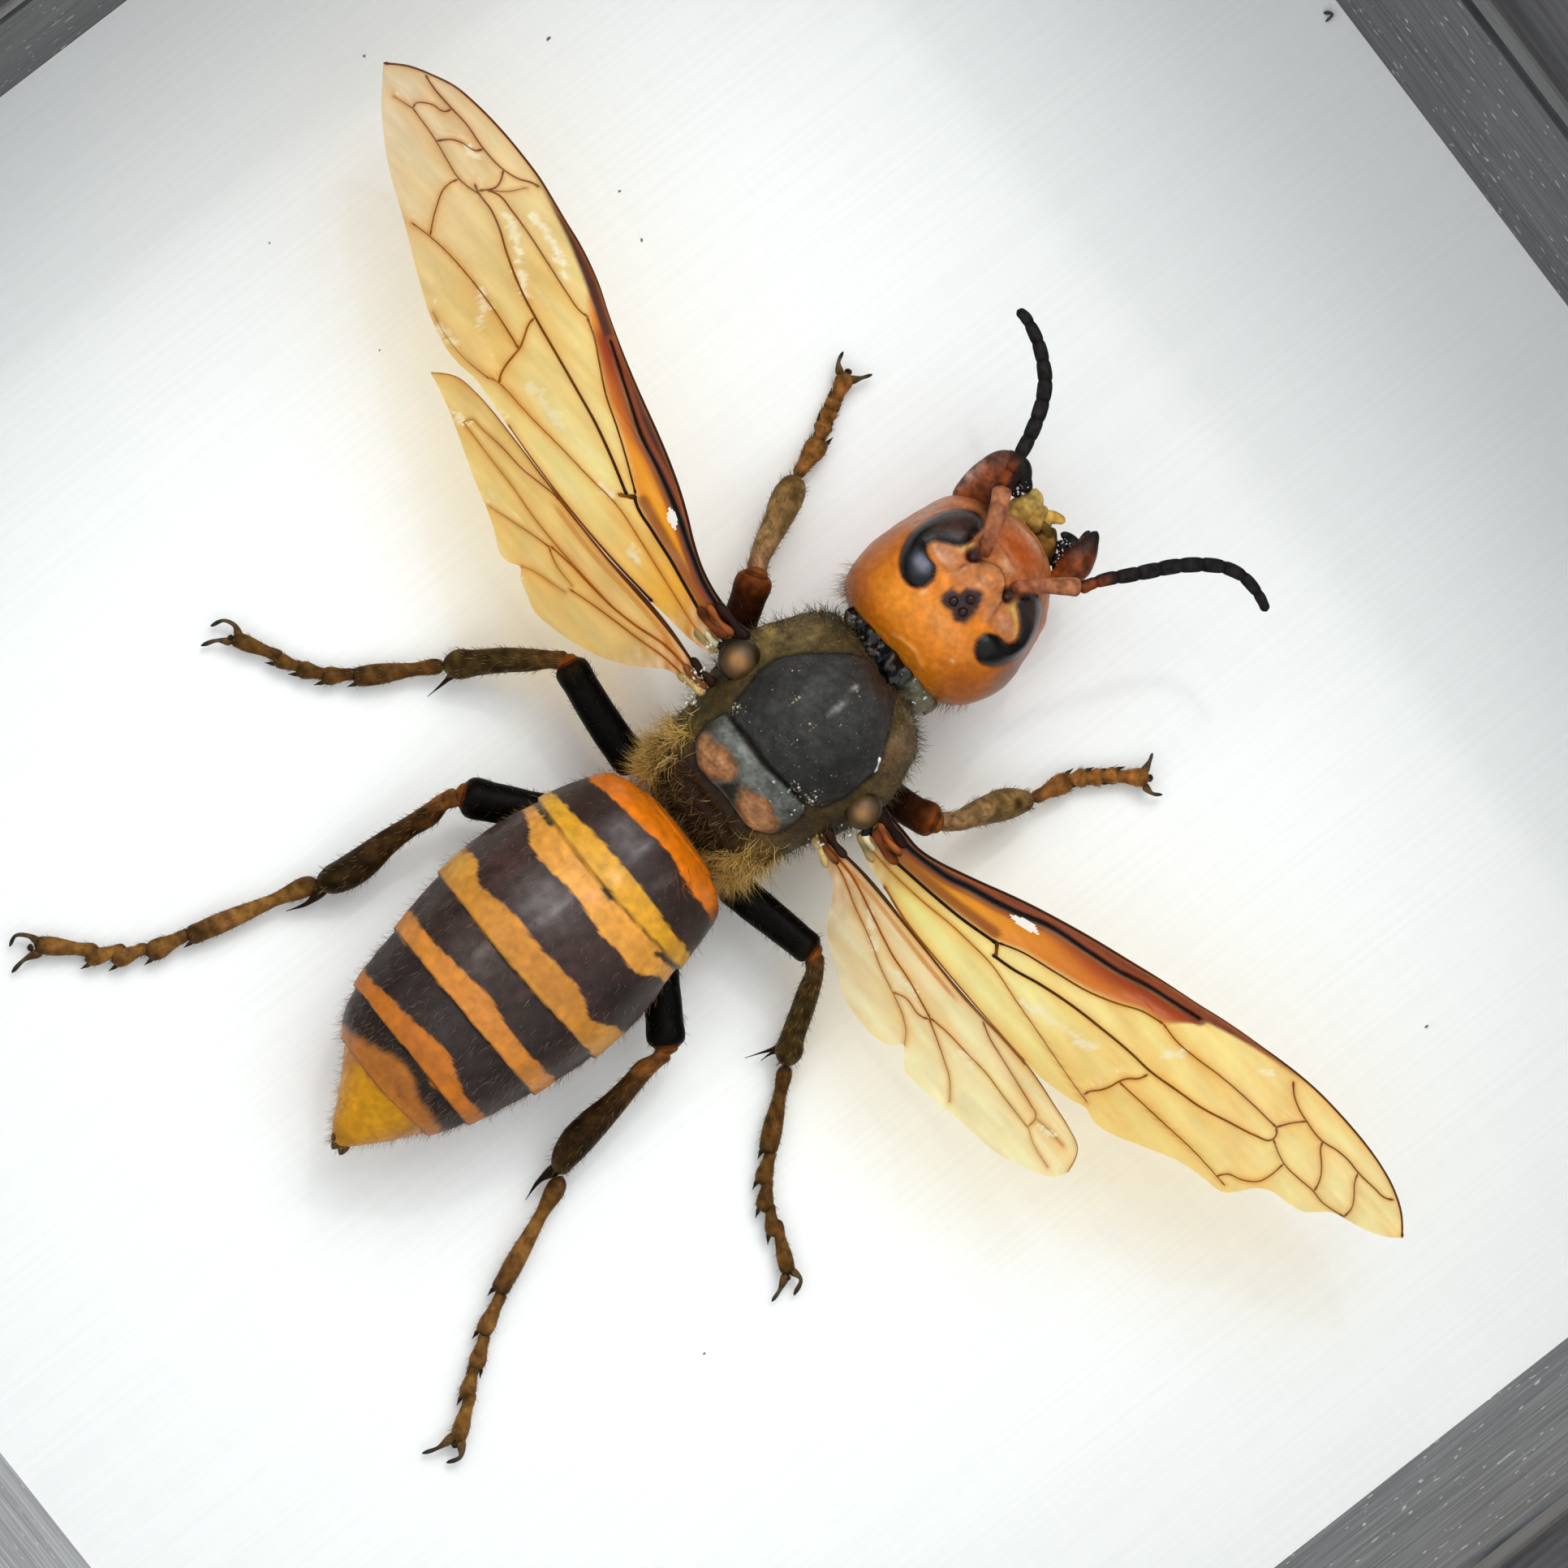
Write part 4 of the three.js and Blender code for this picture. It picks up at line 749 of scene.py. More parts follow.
ORANGE_SPOTS = [
    [(-2.35, 0.95), (-1.5, 1.35), (-0.84, 1.5), (-0.12, 1.42), (0.36, 0.92), (0.0, 0.32),
     (-0.6, -0.16), (-1.3, -0.12), (-1.95, 0.32)],
    [(0.9, 0.92), (1.44, 1.32), (2.28, 1.45), (3.1, 1.32), (3.65, 0.92), (3.55, 0.44),
     (3.0, 0.0), (1.8, 0.0), (1.2, 0.4)],
]
MEDIAN_LINE = [(0.5, 8.2), (0.66, 7.6), (0.8, 6.9), (0.86, 6.2)]
DARK_NOTCH = [(0.1, 0.1), (0.65, 1.05), (1.35, 0.1)]

# The domes over the wing roots, as (x, y, height, radii)
TEGULAE = [(-4.14, 4.6, 8.7, (1.02, 1.06, 0.85)), (5.5, 4.88, 8.7, (0.92, 0.96, 0.8))]
# The near-black spots just under the tegulae are painted shade in the hollows below them
THORAX_TINTS_AND_SHADE = [
    (-3.0, 9.5, 1.2, 0.3, "17191b", 0.95), (3.9, 9.6, 0.9, 0.25, "b9a27c", 0.9),
    (4.3, 8.0, 0.5, 1.0, "7c5c40", 0.8), (-3.7, 7.8, 0.5, 1.2, "6f5836", 0.8),
    (-4.4, 6.6, 0.5, 0.4, "b0904f", 0.9), (5.4, 6.6, 0.5, 0.6, "6a5228", 0.7),
    (0.6, 9.75, 1.7, 0.4, "2c1c12", 0.9), (-3.3, 1.4, 0.4, 1.2, "2a1b10", 0.8),
    (4.3, 1.8, 0.4, 1.2, "3a2614", 0.8), (-3.3, -1.0, 0.7, 1.6, "86703c", 0.9),
    (3.9, -0.9, 0.7, 1.6, "7c602a", 0.9), (0.7, -1.2, 1.8, 1.0, "2a1a0e", 0.9),
    (-4.2, 3.3, 0.5, 0.4, "0c0908", 0.95), (5.3, 3.3, 0.5, 0.45, "0c0908", 0.95),
    (-2.9, 8.2, 0.35, 0.9, "8a7448", 0.6), (3.7, 8.3, 0.3, 0.7, "84684a", 0.6),
    (-4.4, 3.9, 0.6, 0.3, "120c08", 0.8), (5.6, 3.9, 0.6, 0.3, "120c08", 0.8),
    (-3.9, 5.9, 0.8, 0.3, "8a7038", 0.7), (-4.0, 9.0, 0.4, 0.4, "4c4026", 0.7),
]
# On the plates, the pale grey stripe left of the middle of the scutum and the pale front of the scutellum are
# painted highlights, and the broad dark patch over the right half of the scutum is painted shade
PLATE_TINTS_HIGHLIGHTS_AND_SHADE = [
    (1.4, 8.95, 1.6, 0.35, "3c2a1e", 0.8), (-0.6, 6.8, 0.5, 1.5, "464646", 0.7),
    (1.4, 6.6, 0.4, 1.2, "353536", 0.6), (-0.8, 2.0, 1.3, 0.3, "7d7f78", 0.8),
    (2.3, 1.9, 0.9, 0.3, "6c6e68", 0.6), (-2.35, 1.2, 0.35, 0.9, "3a2c20", 0.9),
    (3.7, 1.2, 0.35, 0.9, "3a2a1c", 0.9), (2.9, 4.6, 1.2, 2.2, "191816", 0.75),
    (0.8, 9.4, 1.8, 0.45, "3a2618", 0.9), (-2.2, 4.2, 0.6, 1.4, "201f1d", 0.6),
]


def thorax_swell(trunk, scutum, scutellum, rear):
    """Domed plates, the grooves round them and along the middle, and a wrinkled rear."""
    x, y = trunk.seen.T
    flat = trunk.points()
    rise = 1 - (1 - np.clip(scutum / 3.2, 0, 1)) ** 2
    swell = 0.75 * rise + 0.12 * smooth(scutum, -0.05, 0.3)
    swell -= 0.14 * bell(scutum, 0.1)
    swell += 0.3 * (1 - (1 - np.clip(scutellum / 1.1, 0, 1)) ** 2)
    swell -= 0.12 * bell(scutellum, 0.1)
    swell -= 0.06 * bell(gap_to(trunk.seen, MEDIAN_LINE), 0.07) * trunk.upper
    swell += 0.04 * ripple(flat, 0.8, 11) + 0.015 * ripple(flat, 0.25, 12)
    return swell + rear * 0.1 * np.sin(y * 7.5) * smooth(2.2 - np.abs(x - 0.7), 0, 0.8)


def thorax_colours(trunk, scutum, scutellum, rear):
    """The brown ground, the grey plates with their painted highlights and shade, their two orange spots, the
    seams and grime.
    """
    flat, upper = trunk.points(), trunk.upper
    colours = np.broadcast_to(tone("4a3a17"), flat.shape)
    colours = coat(colours, "2e2010", rear)
    # tints, with painted shade in the hollows under the tegulae
    colours = tinted(colours, trunk.seen, THORAX_TINTS_AND_SHADE, upper)
    colours = coat(colours, "32302e", smooth(scutum, -0.06, 0.08))
    colours = coat(colours, "5f605a", smooth(scutellum, -0.06, 0.12))
    plates = np.clip(smooth(scutum, 0, 0.1) + smooth(scutellum, 0, 0.1), 0, 1)
    # plate tints, with painted highlights and shade
    colours = tinted(colours, trunk.seen, PLATE_TINTS_HIGHLIGHTS_AND_SHADE, plates)
    for spot in ORANGE_SPOTS:
        inner = depth_in(trunk.seen, rounded_outline(spot)) + 0.1 * ripple(flat, 0.3, 21)
        colours = coat(colours, "8a5a36", smooth(inner, -0.15, 0.1) * upper)
        colours = coat(colours, "b07a50", smooth(inner, 0.05, 0.45) * upper)
    notch = depth_in(trunk.seen, np.array(DARK_NOTCH))
    colours = coat(colours, "20221f", smooth(notch, -0.1, 0.08) * upper)
    ridge = gap_to(trunk.seen, np.array(MEDIAN_LINE) - (0.12, 0))
    colours = coat(colours, "8e8e8c", bell(ridge, 0.05) * 0.8 * upper)
    for seam in (scutum, scutellum):
        colours = coat(colours, "0e0b08", bell(seam, 0.09) * 0.9)
    grime = 1 + 0.24 * ripple(flat, 0.4, 22) + 0.2 * ripple(flat, 0.14, 23)
    return colours * grime[:, None]


def make_tegulae(look):
    """The two small domes over the wing roots, each with a painted highlight: a pale spot near its middle,
    darker towards and at its rim.
    """
    caps = Form()
    for x, y, height, radii in TEGULAE:
        points, faces = ball(real((x, y, height)), radii, rows=40, sides=60)
        away = np.hypot(*((as_seen(points) - (x + 0.1, y - 0.1)) / radii[:2]).T)
        away = away + 0.1 * ripple(points, 0.5, 24)
        # the pale spot a little off the middle is a painted highlight
        colours = blend(tone("9a6c3c"), tone("4e3a1e"), smooth(away, 0.05, 0.75))
        colours = coat(colours, "1c120a", smooth(away, 0.74, 1.0))
        caps.add(points, faces, painted(colours, 0.4))
    caps.piece("tegulae", look, ["thorax"], "dark_thorax")


def make_thorax(look):
    trunk = Trunk(THORAX, **THORAX_RINGS)
    scutum, scutellum = (trunk.depth_on_top(plate) for plate in (SCUTUM, SCUTELLUM))
    rear = smooth(-trunk.seen[:, 1], -0.1, 0.6) * trunk.upper
    trunk.push(thorax_swell(trunk, scutum, scutellum, rear))
    form = Form()
    colours = thorax_colours(trunk, scutum, scutellum, rear)
    trunk.add_to(form, colours, 0.6 - 0.1 * smooth(scutum, 0, 0.3))
    form.piece("thorax_shell", look, ["thorax"], "dark_thorax")
    return trunk


# Head

LEFT_EYE = [
    (-2.16, 18.3), (-2.62, 18.36), (-3.2, 17.95), (-3.66, 17.26), (-3.9, 16.3), (-3.93, 15.5),
    (-3.85, 14.9), (-3.55, 14.3), (-3.0, 13.72), (-2.28, 13.44), (-1.68, 13.6),
    (-1.38, 14.08), (-1.44, 14.68), (-1.8, 15.05), (-2.5, 15.1), (-2.94, 15.41),
    (-2.9, 15.75), (-2.4, 16.25), (-1.85, 16.75), (-1.75, 17.2), (-1.85, 17.5),
    (-1.93, 17.95),
]
RIGHT_EYE = [
    (2.35, 18.3), (1.98, 17.8), (1.98, 17.3), (2.52, 16.96), (3.24, 16.48), (3.54, 15.95),
    (3.42, 15.6), (2.8, 15.42), (2.32, 15.0), (2.28, 14.6), (2.55, 14.15), (3.1, 13.9),
    (3.72, 14.2), (4.14, 14.92), (4.2, 15.76), (4.0, 16.6), (3.6, 17.4), (3.0, 18.04),
]
FRONS = [
    (0.15, 17.55), (-0.37, 17.26), (-0.7, 16.9), (-0.89, 16.57), (-1.0, 16.1), (-1.06, 15.64),
    (-1.3, 15.3), (-0.6, 14.8), (0.4, 14.6), (1.4, 14.8), (2.1, 15.2), (1.88, 15.53),
    (1.75, 15.95), (1.65, 16.34), (1.35, 16.85), (0.96, 17.26), (0.55, 17.5),
]
OCELLI = [(0.48, 15.44), (0.0, 14.74), (0.84, 14.76)]
OCELLI_MIDDLE = (0.43, 15.0)
OCELLUS_RADII = (0.24, 0.24, 0.17)
SOCKETS = [(-1.12, 16.95), (1.5, 17.15)]
YELLOW_LINES = [
    [(-2.85, 16.05), (-2.3, 16.45), (-1.8, 16.85), (-1.55, 17.15)],
    [(1.95, 17.2), (2.4, 16.95), (3.0, 16.6), (3.4, 16.15)],
]
FACE_GROOVE = [(0.2, 16.9), (0.35, 17.6)]
# A painted reflection: a soft blue-grey sheen on the lower lobe of the left eye
LEFT_EYE_REFLECTION = [(-2.3, 14.65, 0.4, 0.42, "8c8ea2", 0.75)]
HEAD_FOLD = [(-0.5, 11.35), (0.1, 11.6), (0.9, 11.72), (1.7, 11.5)]
# Among the head's tints, the broad pale patch behind the left eye, the pale crescent under that eye and the
# pale spot beside the left scape are painted highlights; the dark spots at the antennal sockets and the dark
# patch between the left mandible and the clypeus are painted shade
HEAD_TINTS_HIGHLIGHTS_AND_SHADE = [
    (-1.6, 12.6, 1.4, 0.8, "f09628", 0.6), (-4.5, 16.4, 0.45, 1.8, "b9866c", 0.85),
    (4.75, 14.6, 0.4, 1.6, "8f6a50", 0.85), (-1.9, 15.85, 0.7, 0.4, "c48c68", 0.85),
    (2.6, 16.1, 0.65, 0.45, "c48a64", 0.85), (0.1, 16.7, 0.6, 0.8, "cf8450", 0.6),
    (0.3, 17.95, 0.45, 0.25, "dba57e", 0.8), (0.2, 18.8, 1.2, 0.45, "ae4604", 0.85),
    (-0.1, 19.55, 1.3, 0.12, "cf9a76", 0.9), (-2.3, 18.8, 0.7, 0.45, "6b3814", 0.8),
    (2.3, 18.7, 0.6, 0.4, "7a3c12", 0.7), (-0.75, 17.0, 0.4, 0.35, "4a260c", 0.95),
    (1.6, 17.0, 0.4, 0.3, "4a260c", 0.95), (-1.3, 17.5, 0.3, 0.5, "5a2c10", 0.7),
    (2.35, 12.9, 0.1, 0.07, "e6d2b0", 0.9), (-1.2, 13.85, 0.1, 0.2, "f2c49a", 0.8),
    (0.3, 14.05, 0.5, 0.12, "b86a1c", 0.5), (0.6, 13.6, 1.6, 0.6, "e09a58", 0.5),
    (3.6, 12.6, 1.2, 1.3, "a44e06", 0.75), (-2.4, 11.4, 1.4, 0.5, "b8560c", 0.5),
    (-3.6, 11.2, 1.0, 0.9, "a04c14", 0.7), (3.9, 11.6, 0.9, 0.8, "a8540c", 0.6),
    (4.55, 15.6, 0.35, 2.0, "7a5c50", 0.7), (-4.55, 13.4, 0.3, 1.6, "a86a44", 0.5),
    (0.2, 16.2, 0.25, 0.5, "e0a070", 0.5), (-0.5, 15.7, 0.3, 0.3, "b86a34", 0.5),
    (1.3, 15.9, 0.25, 0.5, "b4683a", 0.5), (-2.3, 15.6, 0.5, 0.2, "e4b08c", 0.6),
    (2.35, 16.88, 0.42, 0.2, "e0b868", 0.85), (-1.85, 16.72, 0.3, 0.26, "dcb060", 0.85),
    (-2.5, 18.85, 0.8, 0.35, "40200c", 0.95), (-1.75, 18.0, 0.12, 0.3, "d8a888", 0.7),
]
CLYPEUS = [
    (-1.5, 18.2), (-0.6, 18.35), (0.3, 18.3), (1.2, 18.2), (1.75, 18.5), (1.6, 19.3),
    (0.9, 19.7), (-0.9, 19.7), (-1.7, 19.3), (-1.75, 18.6),
]


def head_swell(trunk, eye, frons, clypeus, raised, shell):
    """Domed eyes in their grooves, the shield between them, the sockets and the lip."""
    y, upper = trunk.seen[:, 1], trunk.upper
    flat = trunk.points()
    dome = np.clip(1 - eye / 0.75, 0, 1)
    swell = np.where(eye > 0, 0.26 * (1 - dome**2), 0)
    swell -= 0.07 * bell(eye + 0.06, 0.12)
    swell += 0.05 * bell(gap_to(trunk.seen, HEAD_FOLD), 0.12) * upper
    swell += 0.16 * smooth(frons, -0.08, 0.25) * raised
    swell -= 0.06 * bell(frons, 0.08) * raised
    swell += 0.06 * smooth(clypeus, -0.05, 0.3) - 0.08 * bell(clypeus, 0.1)
    sinus = smooth(y, 15.0, 15.7) * smooth(-eye, 0.05, 0.3) * smooth(-frons, 0, 0.25) * upper
    swell -= 0.16 * sinus * smooth(-y, -17.8, -17.0)
    for socket in SOCKETS:
        away = np.hypot(*(trunk.seen - socket).T)
        swell -= (0.3 * bell(away, 0.3) - 0.07 * bell(away - 0.5, 0.12)) * upper
    swell += (0.03 * ripple(flat, 1.4, 31) + 0.012 * ripple(flat, 0.35, 32)) * shell
    return swell - 0.05 * bell(gap_to(trunk.seen, FACE_GROOVE), 0.06) * upper


def shell_colours(trunk, frons, raised, shell):
    """The orange shell with its darker sides, its tints with painted highlights and shade, the shield with a
    painted highlight along its edge, the sockets darkened with painted shade, and the ocelli's ground.
    """
    x, y = trunk.seen.T
    flat, upper = trunk.points(), trunk.upper
    colours = np.broadcast_to(tone("de7d12"), flat.shape)
    edge = smooth(np.abs(x - 0.1), 2.4, 4.6)
    colours = coat(colours, "b25a18", edge * 0.8)
    face = smooth(y, 14.9, 16.2)
    colours = coat(colours, "b8683a", face * 0.85)
    colours = coat(colours, "bc7038", smooth(frons, -0.03, 0.15) * raised)
    # a pale line just inside the shield's edge: a painted highlight
    colours = coat(colours, "e0a878", bell(frons - 0.12, 0.08) * raised * upper * 0.6)
    # tints, with painted highlights and shade
    colours = tinted(colours, trunk.seen, HEAD_TINTS_HIGHLIGHTS_AND_SHADE, upper)
    colours = coat(colours, "f0a050", bell(gap_to(trunk.seen, HEAD_FOLD), 0.1) * 0.6 * upper)
    groove = bell(frons + 0.03, 0.07) * smooth(y, 15.6, 16.4)
    colours = coat(colours, "6a3414", groove * 0.7)
    mottle = ripple(flat, 0.45, 33) * (0.5 + 0.8 * face)
    mottle = mottle + ripple(flat, 0.15, 36) * (0.4 + 0.6 * face)
    colours = colours * (1 + 0.12 * mottle)[:, None]
    for line in YELLOW_LINES:
        strip = smooth(-gap_to(trunk.seen, line), -0.28, -0.04)
        colours = coat(colours, "dcae58", strip * upper * shell * 0.55)
    for socket in SOCKETS:
        # painted shade in the socket pits
        away = np.hypot(*(trunk.seen - socket).T)
        colours = coat(colours, "38120a", smooth(-away, -0.6, -0.25) * upper)
    patch = [np.hypot(*(trunk.seen - spot).T) for spot in [*OCELLI, OCELLI_MIDDLE]]
    patch = np.minimum.reduce(patch) + 0.09 * ripple(flat, 0.3, 34)
    colours = coat(colours, "3c1810", smooth(-patch, -0.68, -0.42) * upper)
    return coat(colours, "24100e", smooth(-patch, -0.46, -0.24) * upper)


def eye_colours(trunk, colours, eye):
    """The black eyes in their brown rims, with a brown clouding and a painted blue-grey reflection on the
    left eye's lower lobe.
    """
    x, y = trunk.seen.T
    colours = coat(colours, "5c2408", bell(eye + 0.03, 0.07) * 0.8)
    colours = coat(colours, "0b0909", smooth(eye, -0.03, 0.04))
    brown = smooth(eye, 0.12, 0.5) * smooth(y, 15.4, 16.4) * smooth(np.abs(x), 4.2, 3.0)
    colours = coat(colours, "46322a", brown * 0.8)
    # the painted reflection on the left eye's lower lobe
    lobe = tinted(colours, trunk.seen, LEFT_EYE_REFLECTION)
    colours = blend(colours, lobe, smooth(eye, 0.02, 0.15))
    facets = 1 + 0.25 * ripple(trunk.points(), 0.3, 37) * smooth(eye, 0, 0.2)
    return colours * facets[:, None]


def make_head(look):
    trunk = Trunk(HEAD, **HEAD_RINGS)
    y, upper = trunk.seen[:, 1], trunk.upper
    eyes = [depth_in(trunk.seen, rounded_outline(eye, 0.08)) for eye in (LEFT_EYE, RIGHT_EYE)]
    eye = np.maximum(*eyes) * upper - 3 * (1 - upper)
    frons, clypeus = (trunk.depth_on_top(plate) for plate in (FRONS, CLYPEUS))
    raised = smooth(y, 15.0, 15.9)
    shell = smooth(-eye, 0, 0.1)
    trunk.push(head_swell(trunk, eye, frons, clypeus, raised, shell))
    colours = eye_colours(trunk, shell_colours(trunk, frons, raised, shell), eye)
    rough = 0.4 - 0.06 * smooth(-y, -15, -13)
    rough = rough + (0.26 - rough) * smooth(eye, -0.02, 0.04)
    form = Form()
    trunk.add_to(form, colours, rough)
    for spot in OCELLI:
        points, faces = ball(trunk.on_top(*spot, lift=0.02), OCELLUS_RADII, rows=12, sides=18)
        form.add(points, faces, painted(tone("2a1410"), 0.1))
    form.piece("head_shell", look, ["head"], "orange_shell")
    return trunk


# Antennae and mouth: rods as stations of (x, y, height, radius), and their colours as stops of
# (share of the length, tone)

SCAPES = {
    "left": [
        (-0.78, 17.3, 9.6, 0.2), (-0.95, 17.55, 9.9, 0.3), (-1.25, 17.95, 10.0, 0.35),
        (-1.85, 18.8, 10.05, 0.42), (-2.45, 19.6, 9.95, 0.46), (-2.82, 20.0, 9.85, 0.43),
    ],
    "right": [
        (1.3, 17.45, 9.6, 0.2), (1.45, 17.7, 9.8, 0.29), (1.75, 18.1, 9.9, 0.34),
        (2.35, 18.9, 9.95, 0.38), (3.0, 19.7, 9.9, 0.44), (3.3, 20.02, 9.8, 0.42),
    ],
}
FLAGELLA = {
    "left": [
        (-2.98, 20.15, 9.7, 0.22), (-3.2, 20.6, 9.55, 0.25), (-3.5, 21.4, 9.35, 0.29),
        (-3.85, 22.25, 9.1, 0.31), (-4.4, 23.3, 8.8, 0.32), (-5.1, 24.3, 8.6, 0.32),
        (-5.8, 24.98, 8.4, 0.32), (-6.6, 25.45, 8.2, 0.3), (-7.4, 25.8, 8.0, 0.29),
        (-8.3, 26.02, 7.9, 0.26), (-8.95, 26.08, 7.8, 0.23), (-9.28, 26.0, 7.8, 0.16),
    ],
    "right": [
        (3.42, 20.1, 9.65, 0.22), (3.55, 20.6, 9.5, 0.25), (3.85, 21.4, 9.3, 0.28),
        (4.3, 22.25, 9.1, 0.3), (4.9, 23.45, 8.8, 0.32), (5.35, 24.35, 8.6, 0.32),
        (5.85, 25.15, 8.4, 0.32), (6.4, 25.85, 8.2, 0.31), (7.05, 26.45, 8.0, 0.29),
        (7.8, 26.82, 7.9, 0.27), (8.7, 26.93, 7.8, 0.25), (9.5, 26.85, 7.8, 0.21),
        (9.9, 26.74, 7.8, 0.15),
    ],
}
FLAGELLUM_JOINTS = 10
FLAGELLUM_SCALE = 1.1
SCAPE_STOPS = [(0, "5a2a18"), (0.15, "96563a"), (0.8, "a86c4c"), (1, "84492c")]
FLAGELLUM_STOPS = [(0, "2e2220"), (0.3, "262423"), (1, "232221")]

# Where round each flagellum its reddish side is, in radians
REDDISH_TURN = {"left": 0.6, "right": 2.6}


def make_antenna(side, look):
    form = Form()
    add_tube(form, SCAPES[side], SCAPE_STOPS, rough=0.42, sides=24, spacing=0.05, flat=0.7)
    tube = Tube(FLAGELLA[side], sides=20, spacing=0.05)
    tube.radius *= FLAGELLUM_SCALE
    phase = tube.share * FLAGELLUM_JOINTS
    pinch = bell(phase - np.round(phase), 0.09)
    bulge = 0.02 * np.sin(phase % 1 * math.pi)
    swell = (bulge - 0.035 * pinch) * smooth(tube.share, 0, 0.04) * smooth(-tube.share, -1, -0.97)
    points, faces = skin(tube.rings(swell[:, None]))
    colours = tube.stops(FLAGELLUM_STOPS)
    inner = np.tile(np.cos(tube.turn - REDDISH_TURN[side]), len(tube.share))
    reddish = np.repeat(smooth(-tube.share, -0.2, -0.08), len(tube.turn)) * smooth(inner, -0.4, 0.4)
    colours[:-2] = blend(colours[:-2], tone("7a3a1c"), reddish)
    dark = np.repeat(pinch, len(tube.turn))[:, None] * 0.5
    colours[:-2] *= 1 - dark
    form.add(points, faces, painted(colours, 0.7))
    form.piece(f"{side}_antenna_skin", look, [f"{side}_antenna"], "dark_antenna")


JAW_BODY = [(0, "8e542c"), (0.35, "8a400f"), (0.65, "6a2c0c"), (0.85, "24100b"), (1, "0b0909")]
JAW_TOOTH = [(0, "4a200e"), (0.35, "150e0c"), (1, "0a0909")]

# Each jaw is its body and then its teeth
JAWS = {
    "left": [
        [(-3.2, 18.1, 5.2, 0.9), (-3.42, 19.0, 5.5, 1.08), (-3.52, 20.0, 5.7, 1.08),
         (-3.5, 20.8, 5.75, 0.98), (-3.35, 21.4, 5.7, 0.6)],
        [(-3.7, 20.9, 5.8, 0.7), (-3.15, 21.3, 5.75, 0.6), (-2.5, 21.1, 5.6, 0.42),
         (-2.0, 20.95, 5.5, 0.24)],
        [(-3.1, 20.5, 5.6, 0.6), (-2.5, 20.55, 5.5, 0.44), (-2.1, 20.45, 5.4, 0.22)],
    ],
    "right": [
        [(2.55, 19.1, 5.2, 0.55), (2.5, 19.9, 5.4, 0.72), (2.25, 20.7, 5.5, 0.88),
         (2.1, 21.3, 5.5, 0.72), (1.88, 21.95, 5.4, 0.42), (1.72, 22.4, 5.3, 0.14)],
        [(2.0, 21.3, 5.4, 0.42), (1.65, 21.8, 5.3, 0.3), (1.45, 22.12, 5.3, 0.12)],
        [(2.0, 20.9, 5.45, 0.6), (1.45, 21.1, 5.45, 0.42), (0.95, 21.1, 5.3, 0.24),
         (0.72, 21.0, 5.3, 0.12)],
        [(2.1, 20.4, 5.4, 0.55), (1.5, 20.65, 5.35, 0.4), (0.95, 20.65, 5.2, 0.16)],
        [(2.2, 19.9, 5.3, 0.45), (1.7, 20.0, 5.2, 0.32), (1.35, 20.25, 5.1, 0.14)],
    ],
}
# The dark brown patches at the root of the left jaw, where it meets the head, are painted shade in the gap
# between them
JAW_TINTS_AND_SHADE = [
    (-4.4, 19.2, 0.35, 1.2, "a8887a", 0.8), (-3.9, 20.3, 0.5, 1.0, "94441a", 0.7),
    (-2.75, 19.2, 0.55, 0.8, "3c1c0c", 0.9), (-2.5, 20.9, 0.5, 0.6, "120e0e", 0.9),
    (2.6, 20.6, 0.45, 0.8, "8a4018", 0.7), (1.5, 20.7, 0.35, 0.9, "100d0d", 0.9),
    (1.7, 22.1, 0.4, 0.4, "141010", 0.9), (-3.0, 19.8, 0.3, 0.8, "2c1610", 0.9),
    (-3.2, 21.1, 0.4, 0.5, "1a1412", 0.8), (-4.1, 21.0, 0.3, 0.5, "6a4a3a", 0.7),
    (2.9, 20.8, 0.2, 0.8, "5a3424", 0.7), (2.1, 21.7, 0.5, 0.5, "2e201c", 0.7),
]
MOUTH_LOBES = [
    ([(-1.1, 19.3, 4.9, 0.85), (-1.3, 20.1, 4.9, 0.85), (-1.45, 20.8, 4.8, 0.62),
      (-1.75, 21.25, 4.7, 0.28)], [(0, "6b4c1c"), (0.5, "ac8644"), (1, "d2b068")]),
    ([(-0.3, 20.6, 4.9, 0.42), (-0.3, 21.0, 5.0, 0.36), (0.0, 21.3, 5.0, 0.28),
      (0.28, 21.45, 4.9, 0.16)], [(0, "8a6a30"), (0.5, "c8a050"), (1, "e0a848")]),
    ([(0.35, 19.3, 4.7, 0.95), (0.4, 20.0, 4.8, 0.8), (0.1, 20.5, 4.8, 0.45)],
     [(0, "6a4418"), (0.5, "865c28"), (1, "5c3a18")]),
    ([(-0.5, 19.9, 5.3, 0.5), (-0.7, 20.7, 5.2, 0.36), (-0.8, 21.1, 5.0, 0.22)],
     [(0, "6b4a1c"), (0.6, "a88040"), (1, "c8a45c")]),
    ([(0.2, 20.75, 5.05, 0.14), (0.8, 20.45, 5.05, 0.16), (1.25, 20.0, 5.0, 0.16),
      (1.55, 19.6, 4.9, 0.14)], [(0, "5a4418"), (1, "2c1e0c")]),
    ([(-0.5, 20.35, 5.3, 0.22), (0.0, 20.5, 5.3, 0.26), (0.5, 20.35, 5.2, 0.2)],
     [(0, "4a3214"), (0.5, "6e5224"), (1, "4a3214")]),
]


